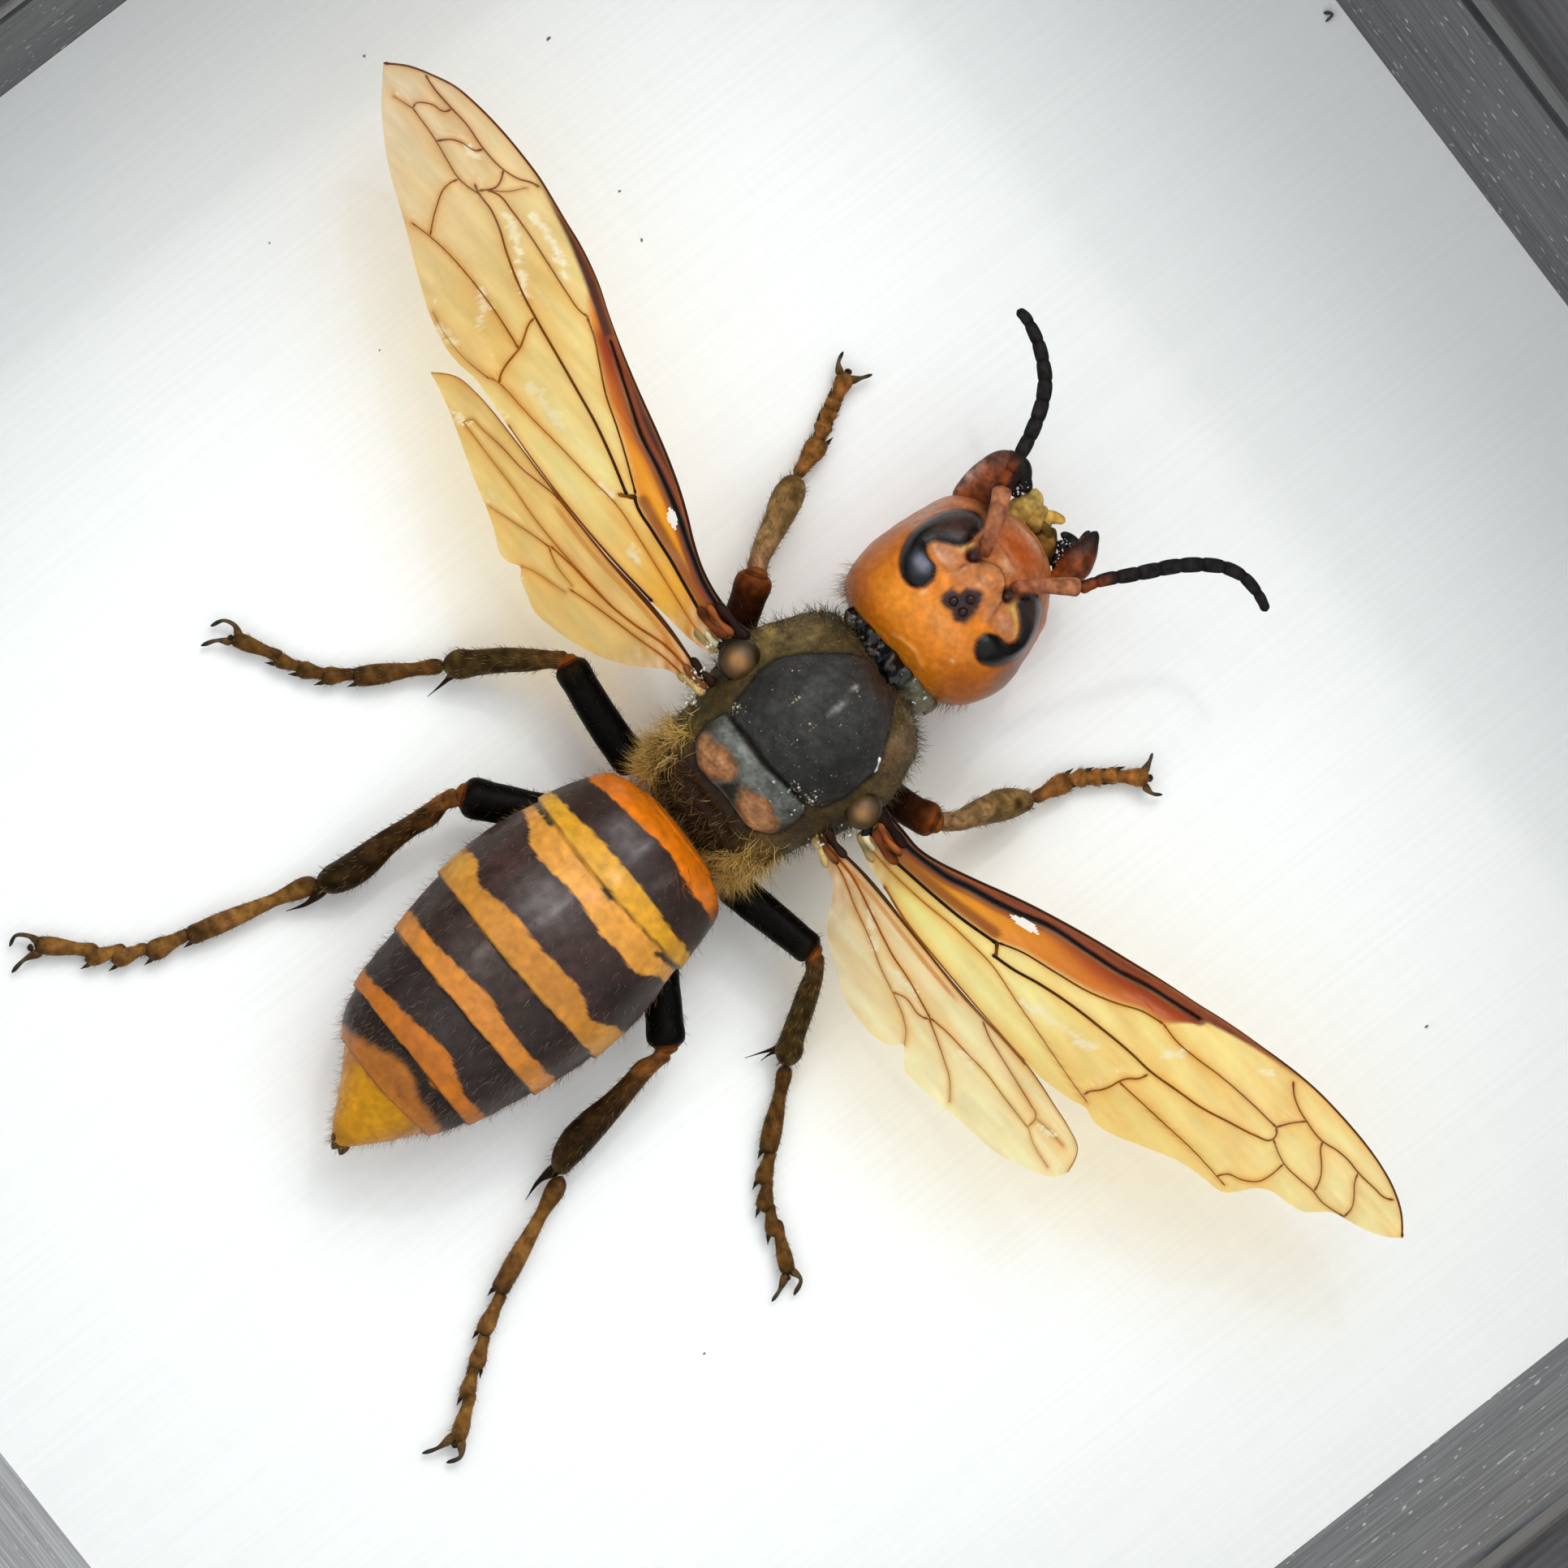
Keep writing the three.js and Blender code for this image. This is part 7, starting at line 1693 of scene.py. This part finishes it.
def make_membrane(wing, look):
    ids = np.arange(len(wing.seen)).reshape(-1, WING_ROWS)
    quads = np.stack([ids[:-1, :-1], ids[1:, :-1], ids[1:, 1:], ids[:-1, 1:]], -1)
    quads = quads.reshape(-1, 4)
    if wing.sign < 0:
        quads = quads[:, ::-1]
    if "tear" in wing.table:
        middles = wing.seen[quads].mean(1)
        quads = quads[depth_in(middles, np.array(wing.table["tear"])) < 0]
    form = Form()
    form.add(real(np.column_stack([wing.seen, wing.height()])), [quads], wing_paint(wing))
    form.piece(f"{wing.name}_membrane", look, [wing.name], "wing_membrane")


def make_veins(wing, look):
    form = Form()
    rods = list(wing.table["veins"])
    lead = curve(wing.table["lead"], spacing=1.2)
    if wing.fore:
        rods.append((wing.table["stripe"], 0.13, 0.08, "0e0908", "1a0e0a"))
        rods.append((lead, 0.11, 0.08, "1a0f0c", "6a3414"))
    else:
        rods.append((lead, 0.12, 0.03, "1a100c", "9a6828"))
    for line, first, last, start, end in rods:
        line = curve(line, spacing=0.3)
        size = np.linspace(first, last, len(line)) * VEIN_SCALE
        rows = np.column_stack([line, wing.level_at(line), size])
        add_tube(form, rows, [(0, start), (1, end)], rough=0.3, sides=7, spacing=0.16, flat=0.8)
    for rod, code in FORE_PLATES if wing.fore else HIND_PLATES:
        places = [(BODY_MIDDLE_X + wing.sign * x, *rest) for x, *rest in rod]
        add_tube(form, places, [(0, code), (1, code)], sides=12, spacing=0.06, wear=0.5)
    form.piece(f"{wing.name}_veins", look, [wing.name], "wing_membrane")


# Fur of the body


def fur_on(form, trunk, count, density, length, flow, codes, width, rise=0.8, curl=0.35):
    """Hairs on a trunk where density is high, which lean along flow."""
    weight = np.maximum(np.asarray(density), 0).ravel()
    picks = randoms.choice(len(weight), count, p=weight / weight.sum())
    roots = trunk.points()[picks]
    roots = roots + randoms.normal(size=roots.shape) * 0.03
    out = trunk.out.reshape(-1, 3)[picks]
    ways = out * rise + np.asarray(flow) + randoms.normal(size=out.shape) * 0.35
    lengths = length * randoms.uniform(0.45, 1.15, count)
    hairs(form, roots, ways, lengths, width, mixed_tones(count, *codes), curl)


def make_thorax_fur(thorax, look):
    """Fur round the plates, long pale fur beside the waist, and short hairs on the plates."""
    x, y = thorax.seen.T
    facing = thorax.out[..., 2].ravel()
    low = smooth(-facing, -0.75, -0.2)
    rear = smooth(-y, -0.2, 0.8)
    plate = depth_in(thorax.seen, np.array(SCUTUM)) * thorax.upper
    shield = depth_in(thorax.seen, np.array(SCUTELLUM)) * thorax.upper
    bare = np.clip(smooth(plate, -0.1, 0.1) + smooth(shield, -0.1, 0.1), 0, 1)
    open_skin = 1 - bare
    side = low * smooth(facing, -0.9, -0.3) * open_skin
    pale = bell(np.abs(x - 0.35) - 3.3, 0.85) * smooth(-y, -2.0, 0.5) * low
    clumps = smooth(ripple(thorax.points(), 0.75, 61), -0.25, 0.55)
    collar = smooth(y, 5.6, 7.0) * open_skin * thorax.upper
    fur = Form()
    fur_on(fur, thorax, 3400, side + 0.5 * rear * open_skin, 0.75, (0, -0.25, 0.15),
           ("2a1c0c", "4c3a18", "806630"), 0.015)
    fur_on(fur, thorax, 3000, pale**1.5 * open_skin * (0.1 + clumps), 1.1, (0, -0.7, 0.15),
           ("b8802c", "ecc060", "fcdc94"), 0.021, rise=0.5, curl=1.2)
    fur_on(fur, thorax, 420, rear * open_skin, 1.0, (0, -0.4, 0.1), ("7a5a2c", "c8ac74"),
           0.013, curl=0.9)
    fur_on(fur, thorax, 1700, collar, 0.3, (0, -0.5, 0), ("4a341c", "866c44", "b49c70"),
           0.01, rise=0.4)
    fur_on(fur, thorax, 900, bare, 0.2, (0, -0.6, 0), ("2a2622", "6e665c"), 0.009, rise=0.5)
    fur.piece("thorax_fur", look, [], "dark_thorax")


def make_body_hairs(head, abdomen, look):
    """Short hairs of the abdomen, which lie towards its tip, and of the back of the head."""
    x, y = abdomen.seen.T
    facing = abdomen.out[..., 2].ravel()
    top = smooth(facing, -0.3, 0.2)
    laid = abdomen.dark * top * (0.35 + smooth(-y, 4, 14)) * smooth(y, -21.8, -21.0)
    tuft = np.exp(-(((x - 2.6) / 0.9) ** 2) - ((y + 4.3) / 0.3) ** 2) * top
    rim = smooth(-np.abs(facing), -0.45, -0.1)
    tail = smooth(-y, 19, 22)
    hair = Form()
    fur_on(hair, abdomen, 1700, laid, 0.6, (0.1, -1.1, 0), ("42302a", "6e5648", "b49682"),
           0.009, rise=0.16, curl=0.3)
    fur_on(hair, abdomen, 700, (1 - abdomen.dark) * top, 0.4, (0.1, -1.1, 0),
           ("b4782c", "e0ac60"), 0.008, rise=0.2, curl=0.3)
    fur_on(hair, abdomen, 45, tuft, 1.0, (0.5, -1.0, 0), ("7a3c20", "b87848"), 0.014,
           rise=0.25, curl=0.5)
    fur_on(hair, abdomen, 900, rim, 0.55, (0, -0.7, 0), ("5a3a18", "c09048"), 0.01)
    fur_on(hair, abdomen, 300, tail, 0.5, (0, -0.9, 0), ("8a5a1c", "c89a48"), 0.008, rise=0.4)
    x, y = head.seen.T
    nape = smooth(-y, -12.8, -11.0) * smooth(-head.out[..., 2].ravel(), -0.7, 0.1)
    fur_on(hair, head, 700, nape, 0.45, (0, -0.3, 0), ("6e4a20", "a8803e"), 0.01, rise=0.9)
    corner = nape * smooth(np.abs(x - 0.1), 2.8, 4.2)
    fur_on(hair, head, 130, corner, 0.9, (0, -0.7, 0), ("6a4c28", "a88450"), 0.01)
    hair.piece("body_hairs", look, [], "banded_abdomen")


# Glue, crumbs, painted glints and specks

GLUE_SIDES = 60
NECK_GLUE = [
    (-2.5, 10.25, 6.6, 0.55), (-1.6, 10.3, 7.2, 0.95), (-0.6, 10.35, 7.4, 1.25),
    (0.6, 10.45, 7.5, 1.35), (1.8, 10.55, 7.3, 1.15), (2.8, 10.5, 6.9, 0.8),
    (3.4, 10.4, 6.5, 0.5),
]
BUBBLES = 34
BEAD_SIDES = 48
BEAD_WAVE = 0.03

# The rings of a glue bead, as (share of its width, share of its height)
BEAD_RINGS = [(0.98, 0.0), (1.0, 0.12), (0.97, 0.35), (0.9, 0.62), (0.8, 0.85), (0.72, 0.96)]


def make_neck_glue(look, wet_look):
    neck, bubbles = Form(), Form()
    tube = Tube(NECK_GLUE, sides=GLUE_SIDES, spacing=0.06)
    points, faces = skin(tube.rings())
    lumps = 0.2 * ripple(points, 0.55, 51) + 0.06 * ripple(points, 0.22, 52)
    middles = np.repeat(tube.middles, GLUE_SIDES, 0)
    out = points - np.vstack([middles, tube.middles[0], tube.middles[-1]])
    out /= np.maximum(np.linalg.norm(out, axis=1), 1e-6)[:, None]
    points = points + out * lumps[:, None]
    # Near black where the glue shows the gap between head and thorax, which is partly the dark neck and
    # partly painted shade; milky grey-olive towards the right, which is the glue's own clouding
    milky = smooth(points[:, 0], 0.8, 2.4) * 0.55 + smooth(lumps, 0.12, 0.28) * 0.12
    colours = blend(tone("0a0a0a"), tone("8a8468"), milky)
    neck.add(points, faces, painted(colours, 0.1))
    for _ in range(BUBBLES):
        x = randoms.uniform(-2.6, 3.5)
        place = (x, 10.42 + randoms.uniform(-0.5, 0.4), 8.3 - 0.13 * x * x)
        size = randoms.uniform(0.05, 0.15)
        points, faces = ball(real(place), (size, size, size), rows=8, sides=12)
        bubbles.add(points, faces, painted(tone("e8e6dc"), 0.05))
    neck.piece("neck_glue_shaded_and_clouded", wet_look, ["neck_glue"], "clear_glue")
    bubbles.piece("neck_glue_bubbles", look, ["neck_glue"], "clear_glue")


def make_glue_bead(name, look):
    """A flat round bead of glue in the place of its solid."""
    low, high = (np.array(corner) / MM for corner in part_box(name))
    turn = np.arange(BEAD_SIDES) / BEAD_SIDES * 2 * math.pi
    rings = []
    for share, rise in BEAD_RINGS:
        wave = 1 - BEAD_WAVE + BEAD_WAVE * np.sin(turn * 3 + rise)
        reach = (high - low)[:2] / 2 * share
        x = (low[0] + high[0]) / 2 + np.cos(turn) * reach[0] * wave
        y = (low[1] + high[1]) / 2 + np.sin(turn) * reach[1] * wave
        rings.append(np.stack([x, y, np.full(BEAD_SIDES, low[2] + (high - low)[2] * rise)], -1))
    bead = Form()
    points, faces = skin(np.array(rings))
    bead.add(points, faces, painted(tone("e8e4d6"), 0.1))
    bead.piece(f"{name}_bead", look, [name], "clear_glue")


def flake(form, centre, size, code):
    """One crumb: a small uneven lump."""
    points, faces = ball(np.zeros(3), (1, 1, 1), rows=5, sides=6)
    points *= 1 + 0.5 * randoms.uniform(-1, 1, (len(points), 1))
    points *= size * randoms.uniform(0.4, 1.0, 3)
    form.add(points + centre, faces, painted(tone(code), 0.7))


# Crumbs in heaps of (x, y, height, spread, count), those of the scutum without a height
CRUMB_PLACES = [
    (-5.5, 3.9, 8.4, 0.25, 16), (-4.4, 2.2, 7.9, 0.35, 40), (-4.1, 1.6, 7.6, 0.3, 20),
    (5.3, 2.3, 7.9, 0.3, 22), (5.8, 3.9, 8.3, 0.2, 8), (-2.5, 10.2, 7.4, 0.35, 18),
    (2.2, 10.7, 8.0, 0.6, 22), (1.6, 10.9, 8.4, 0.3, 10),
]
SCUTUM_CRUMBS = [
    (3.5, 3.1, 0.3, 34), (2.6, 2.8, 0.25, 22), (-2.2, 3.1, 0.25, 16), (-0.8, 5.5, 0.12, 7),
    (0.45, 5.3, 0.12, 6), (-1.8, 6.4, 0.15, 4), (1.2, 6.4, 0.1, 3), (0.7, 4.2, 0.15, 4),
    (3.1, 4.8, 0.1, 2), (0.6, 7.9, 0.15, 5), (2.1, 2.0, 0.4, 5),
]
# White flecks on the teeth, in heaps of the same kind: painted glints, not crumbs
JAW_GLINTS = [
    (1.2, 20.8, 5.8, 0.16, 16), (1.5, 20.4, 5.8, 0.14, 10), (1.7, 20.0, 5.65, 0.1, 6),
    (-2.3, 20.8, 5.95, 0.12, 9), (-2.3, 20.45, 5.85, 0.08, 5),
]
CRUMB_TONES = ("f0ecdc", "dcd2b0", "c0b080", "f6f4ea")
SCUTUM_CRUMB_TONES = ("c4beac", "a49a7c", "7c6e4a", "dcd8cc")
DUST_GRAINS = 120
# A white rod along the scutum's edge that stands for a glint: a painted highlight
GLINT_DASH = [(3.82, 7.06), (4.1, 6.8), (4.37, 6.53)]

# Specks on the board as (x, y, size), and the fibre that lies there
BOARD_SPECKS = [
    (31.2, 20.5, 0.12), (21.9, -17.7, 0.1), (-33.9, 15.8, 0.12), (-25.9, 14.0, 0.1),
    (-23.35, 13.4, 0.09), (-38.7, 8.1, 0.1), (-34.3, -1.15, 0.1), (-26.9, -0.1, 0.08),
]
BOARD_HAIR = [(-11.7, 47.0, 0.1, 0.05), (-11.4, 47.3, 0.3, 0.06), (-11.3, 46.8, 0.15, 0.03)]


def make_crumbs_and_glints(look, thorax):
    form = Form()
    for x, y, height, spread, count in CRUMB_PLACES:
        for _ in range(count):
            place = real((x, y, height)) + randoms.normal(size=3) * spread * (1, 1, 0.4)
            flake(form, place, randoms.uniform(0.04, 0.12), CRUMB_TONES[randoms.integers(4)])
    for _ in range(DUST_GRAINS):
        x, y = randoms.uniform(-2.4, 3.8), randoms.uniform(2.9, 8.8)
        flake(form, thorax.on_top(x, y), randoms.uniform(0.02, 0.055), "8a8880")
    for x, y, spread, count in SCUTUM_CRUMBS:
        for _ in range(count):
            near = randoms.normal(size=2) * spread
            place = thorax.on_top(x + near[0], y + near[1])
            flake(form, place, randoms.uniform(0.04, 0.11), SCUTUM_CRUMB_TONES[randoms.integers(4)])
    # white flecks that stand for glints on the teeth: painted highlights
    for x, y, height, spread, count in JAW_GLINTS:
        for _ in range(count):
            place = real((x, y, height)) + randoms.normal(size=3) * spread * (1, 1, 0.2)
            flake(form, place, randoms.uniform(0.03, 0.07), "e4e2de")
    # the painted glint along the scutum's edge
    glint = [thorax.on_top(*spot, lift=0.02) for spot in GLINT_DASH]
    rod = [(*as_seen(spot[None])[0], spot[2] - BOARD_FACE, 0.05) for spot in glint]
    add_tube(form, rod, [(0, "f4f2ee"), (1, "f4f2ee")], rough=0.3, sides=8, spacing=0.05)
    form.piece("crumbs", look, [], "clear_glue")
    specks = Form()
    for x, y, size in BOARD_SPECKS:
        flake(specks, real((x, y, size * 0.3)), size, "8a8a8c")
    add_tube(specks, BOARD_HAIR, [(0, "3a3a3e"), (1, "5a5a5e")], sides=6, spacing=0.05)
    specks.piece("board_specks", look, [], "white_card")


# The box's own looks, on the CAD solids


def card_look():
    look, tree, shader = new_look("white_card")
    across = ramp(tree, grain(tree, 0.22, (80, 1, 1), detail=0.0), (0.35, 0.98), (0.65, 0.99))
    along = ramp(tree, grain(tree, 0.22, (1, 80, 1), detail=0.0), (0.35, 0.975), (0.65, 1.0))
    colour = mixed(tree, "MULTIPLY", across, along)
    tree.links.new(colour, shader.inputs["Base Color"])
    shader.inputs["Roughness"].default_value = 0.8
    return look


def wood_look(name, along, dark, light, rough, flecked=False):
    """Painted wood with its grain along an axis, and pale flecks if asked."""
    look, tree, shader = new_look(name)
    stretch = [14 if axis == along else 1 for axis in "xyz"]
    fibres = grain(tree, 0.35, stretch, detail=2.0)
    cloud_stretch = [3 if axis == along else 1 for axis in "xyz"]
    clouds = grain(tree, 3.0, cloud_stretch, detail=1.0)
    colour = ramp(tree, fibres, (0.3, tone(dark)), (0.72, tone(light)))
    colour = mixed(tree, "MULTIPLY", colour, ramp(tree, clouds, (0.3, 0.8), (0.7, 1.15)))
    if flecked:
        spots = ramp(tree, grain(tree, 0.5, (1, 1, 1), detail=0.0), (0.76, 0.0), (0.8, 1.0))
        colour = mixed(tree, "MIX", colour, tone("b8b8b6"), spots)
    tree.links.new(colour, shader.inputs["Base Color"])
    rough_share = ramp(tree, clouds, (0.3, rough - 0.06), (0.7, rough + 0.08))
    tree.links.new(rough_share, shader.inputs["Roughness"])
    relief(tree, shader, fibres, depth=0.05, strength=0.6)
    return look


def board_back_look():
    look, tree, shader = new_look("hardboard")
    fibres = grain(tree, 0.5, (1, 1, 1), detail=4.0)
    colour = ramp(tree, fibres, (0.3, tone("5a3f28")), (0.7, tone("8a6748")))
    tree.links.new(colour, shader.inputs["Base Color"])
    shader.inputs["Roughness"].default_value = 0.85
    relief(tree, shader, fibres, depth=0.06, strength=0.7)
    return look


def steel_look():
    look, tree, shader = new_look("zinc_steel")
    brushed = grain(tree, 0.15, (12, 1, 1), detail=3.0)
    colour = ramp(tree, brushed, (0.3, tone("8e9094")), (0.7, tone("b8babd")))
    tree.links.new(colour, shader.inputs["Base Color"])
    shader.inputs["Metallic"].default_value = 1.0
    tree.links.new(ramp(tree, brushed, (0.3, 0.28), (0.7, 0.42)), shader.inputs["Roughness"])
    relief(tree, shader, brushed, depth=0.01, strength=0.5)
    return look


def glass_look():
    """A clean pane with a thin coating: clear from the front, and mirror-like aslant."""
    look, tree, shader = new_look("clear_pane")
    tree.nodes.remove(shader)
    clear = node(tree, "ShaderNodeBsdfTransparent")
    clear.inputs["Color"].default_value = (0.99, 0.995, 0.99, 1)
    gloss = node(tree, "ShaderNodeBsdfGlossy", Roughness=0.03)
    facing = node(tree, "ShaderNodeLayerWeight", Blend=0.5)
    aslant = node(tree, "ShaderNodeMath", operation="POWER")
    aslant.inputs[1].default_value = 4.0
    tree.links.new(facing.outputs["Facing"], aslant.inputs[0])
    both = node(tree, "ShaderNodeMixShader")
    tree.links.new(aslant.outputs["Value"], both.inputs["Fac"])
    tree.links.new(clear.outputs["BSDF"], both.inputs[1])
    tree.links.new(gloss.outputs["BSDF"], both.inputs[2])
    tree.links.new(both.outputs["Shader"], tree.nodes["Material Output"].inputs["Surface"])
    return look


def glue_look():
    look, tree, shader = new_look("clear_glue")
    shader.inputs["Base Color"].default_value = (0.9, 0.9, 0.86, 1)
    shader.inputs["Roughness"].default_value = 0.06
    shader.inputs["IOR"].default_value = 1.48
    shader.inputs["Transmission Weight"].default_value = 0.9
    relief(tree, shader, grain(tree, 0.12), depth=0.02, strength=0.6)
    return look


def dress(look, *names):
    """Gives solids of the box their look."""
    for name in names:
        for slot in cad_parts[name].material_slots:
            slot.material = look


# Each lining strip is lit in its own way, and that light and shade is painted into its own dark and light
# tone
LINING_LIT_TONES = {
    "top": ("3c3d40", "6a6b6e"),
    "bottom": ("7a7b7e", "b8b9bc"),
    "left": ("343538", "5c5d60"),
    "right": ("4a4b4e", "7e7f82"),
}


def dress_box():
    dress(card_look(), "mounting_board")
    dress(glass_look(), "glass")
    dress(board_back_look(), "backing_panel")
    dress(steel_look(), "hanger", "hanger_screw_left", "hanger_screw_right",
          *[f"back_tab_{side}" for side in ("top", "bottom", "left", "right")])
    for along, sides in (("x", ("top", "bottom")), ("y", ("left", "right"))):
        rail = wood_look(f"black_moulding_{along}", along, "1a191b", "3a3a3e", 0.42)
        dress(rail, *[f"frame_rail_{side}" for side in sides])
        for side in sides:
            dark, light = LINING_LIT_TONES[side]
            lining = wood_look(f"grey_lining_{side}", along, dark, light, 0.6, flecked=True)
            dress(lining, f"spacer_{side}")


# Stage


def make_stage():
    scene = bpy.context.scene
    scene.view_settings.view_transform = "Standard"
    floor = bpy.data.meshes.new("floor")
    corners = [(-1, -1), (1, -1), (1, 1), (-1, 1)]
    corners = [(x * FLOOR_REACH, y * FLOOR_REACH, FLOOR_HEIGHT) for x, y in corners]
    floor.from_pydata(corners, [], [(0, 1, 2, 3)])
    look, _, shader = new_look("pale_floor")
    shader.inputs["Base Color"].default_value = FLOOR_COLOUR
    shader.inputs["Roughness"].default_value = 0.7
    floor.materials.append(look)
    ground = bpy.data.objects.new("floor", floor)
    scene.collection.objects.link(ground)

    eye = Vector((*FOOT, BOARD_FACE + HEIGHT)) * MM
    aim = Vector((*AIM, BOARD_FACE)) * MM
    roll = math.radians(ROLL_DEGREES)
    back = (eye - aim).normalized()
    right = Vector((-math.sin(roll), math.cos(roll), 0)).cross(back).normalized()
    up = back.cross(right)
    camera = bpy.data.objects.new("camera", bpy.data.cameras.new("camera"))
    camera.data.lens = LENS
    camera.data.sensor_width = SENSOR
    camera.data.clip_start = CLIP_START
    scene.collection.objects.link(camera)
    camera.matrix_world = Matrix([[*row] for row in zip(right, up, back, eye)] + [[0, 0, 0, 1]])
    scene.camera = camera

    place = Vector((KEY_PLACE[0], KEY_PLACE[1], KEY_PLACE[2] + BOARD_FACE)) * MM
    away = place - Vector((0, 0, BOARD_FACE * MM))
    for name, (size, watts) in LAMPS.items():
        lamp = bpy.data.lights.new(name, "AREA")
        lamp.shape = "DISK"
        lamp.size = size * MM
        lamp.energy = watts
        made = bpy.data.objects.new(name, lamp)
        made.location = place
        made.rotation_euler = away.to_track_quat("Z", "Y").to_euler()
        scene.collection.objects.link(made)

    world = bpy.data.worlds.new("room")
    world.use_nodes = True
    sky = world.node_tree.nodes["Background"]
    sky.inputs["Color"].default_value = ROOM_COLOUR
    sky.inputs["Strength"].default_value = ROOM_STRENGTH
    scene.world = world


make_stage()
dress_box()
shell_look = chitin("hornet_shell", mottle=0.16, mottle_size=0.5, shine=0.3)
thorax_look = chitin("hornet_thorax", mottle=0.3, mottle_size=0.3, dents=0.06, dent_size=0.08,
                     shine=0.22)
leg_look = chitin("hornet_leg", mottle=0.42, mottle_size=0.4, dents=0.015, shine=0.05)
hair_look = chitin("hornet_hair", mottle=0.1, dents=0.0)
head_look = chitin("hornet_head", mottle=0.16, mottle_size=0.35, dents=0.02, dent_size=0.07,
                   shine=0.25)
jaw_look = chitin("hornet_jaw", mottle=0.35, mottle_size=0.25, dents=0.03, dent_size=0.1, shine=0.2)
vein_look = chitin("wing_veins", mottle=0.15, dents=0.0, shine=0.06)
head_trunk = make_head(head_look)
thorax_trunk = make_thorax(thorax_look)
make_tegulae(shell_look)
abdomen_trunk = make_abdomen(shell_look)
for side in ("left", "right"):
    make_antenna(side, leg_look)
make_mouth(jaw_look, leg_look)
for leg_name in LEGS:
    make_leg(leg_name, leg_look, hair_look)
wing_look = membrane("wing_membrane")
for wing_name in WINGS:
    wing = Wing(wing_name)
    make_membrane(wing, wing_look)
    make_veins(wing, vein_look)
make_thorax_fur(thorax_trunk, hair_look)
make_body_hairs(head_trunk, abdomen_trunk, hair_look)
glue = glue_look()
make_neck_glue(glue, chitin("wet_glue", mottle=0.1, dents=0.02, dent_size=0.08, shine=0.45))
for bead_name in ("mounting_glue_front", "mounting_glue_rear"):
    make_glue_bead(bead_name, glue)
make_crumbs_and_glints(thorax_look, thorax_trunk)
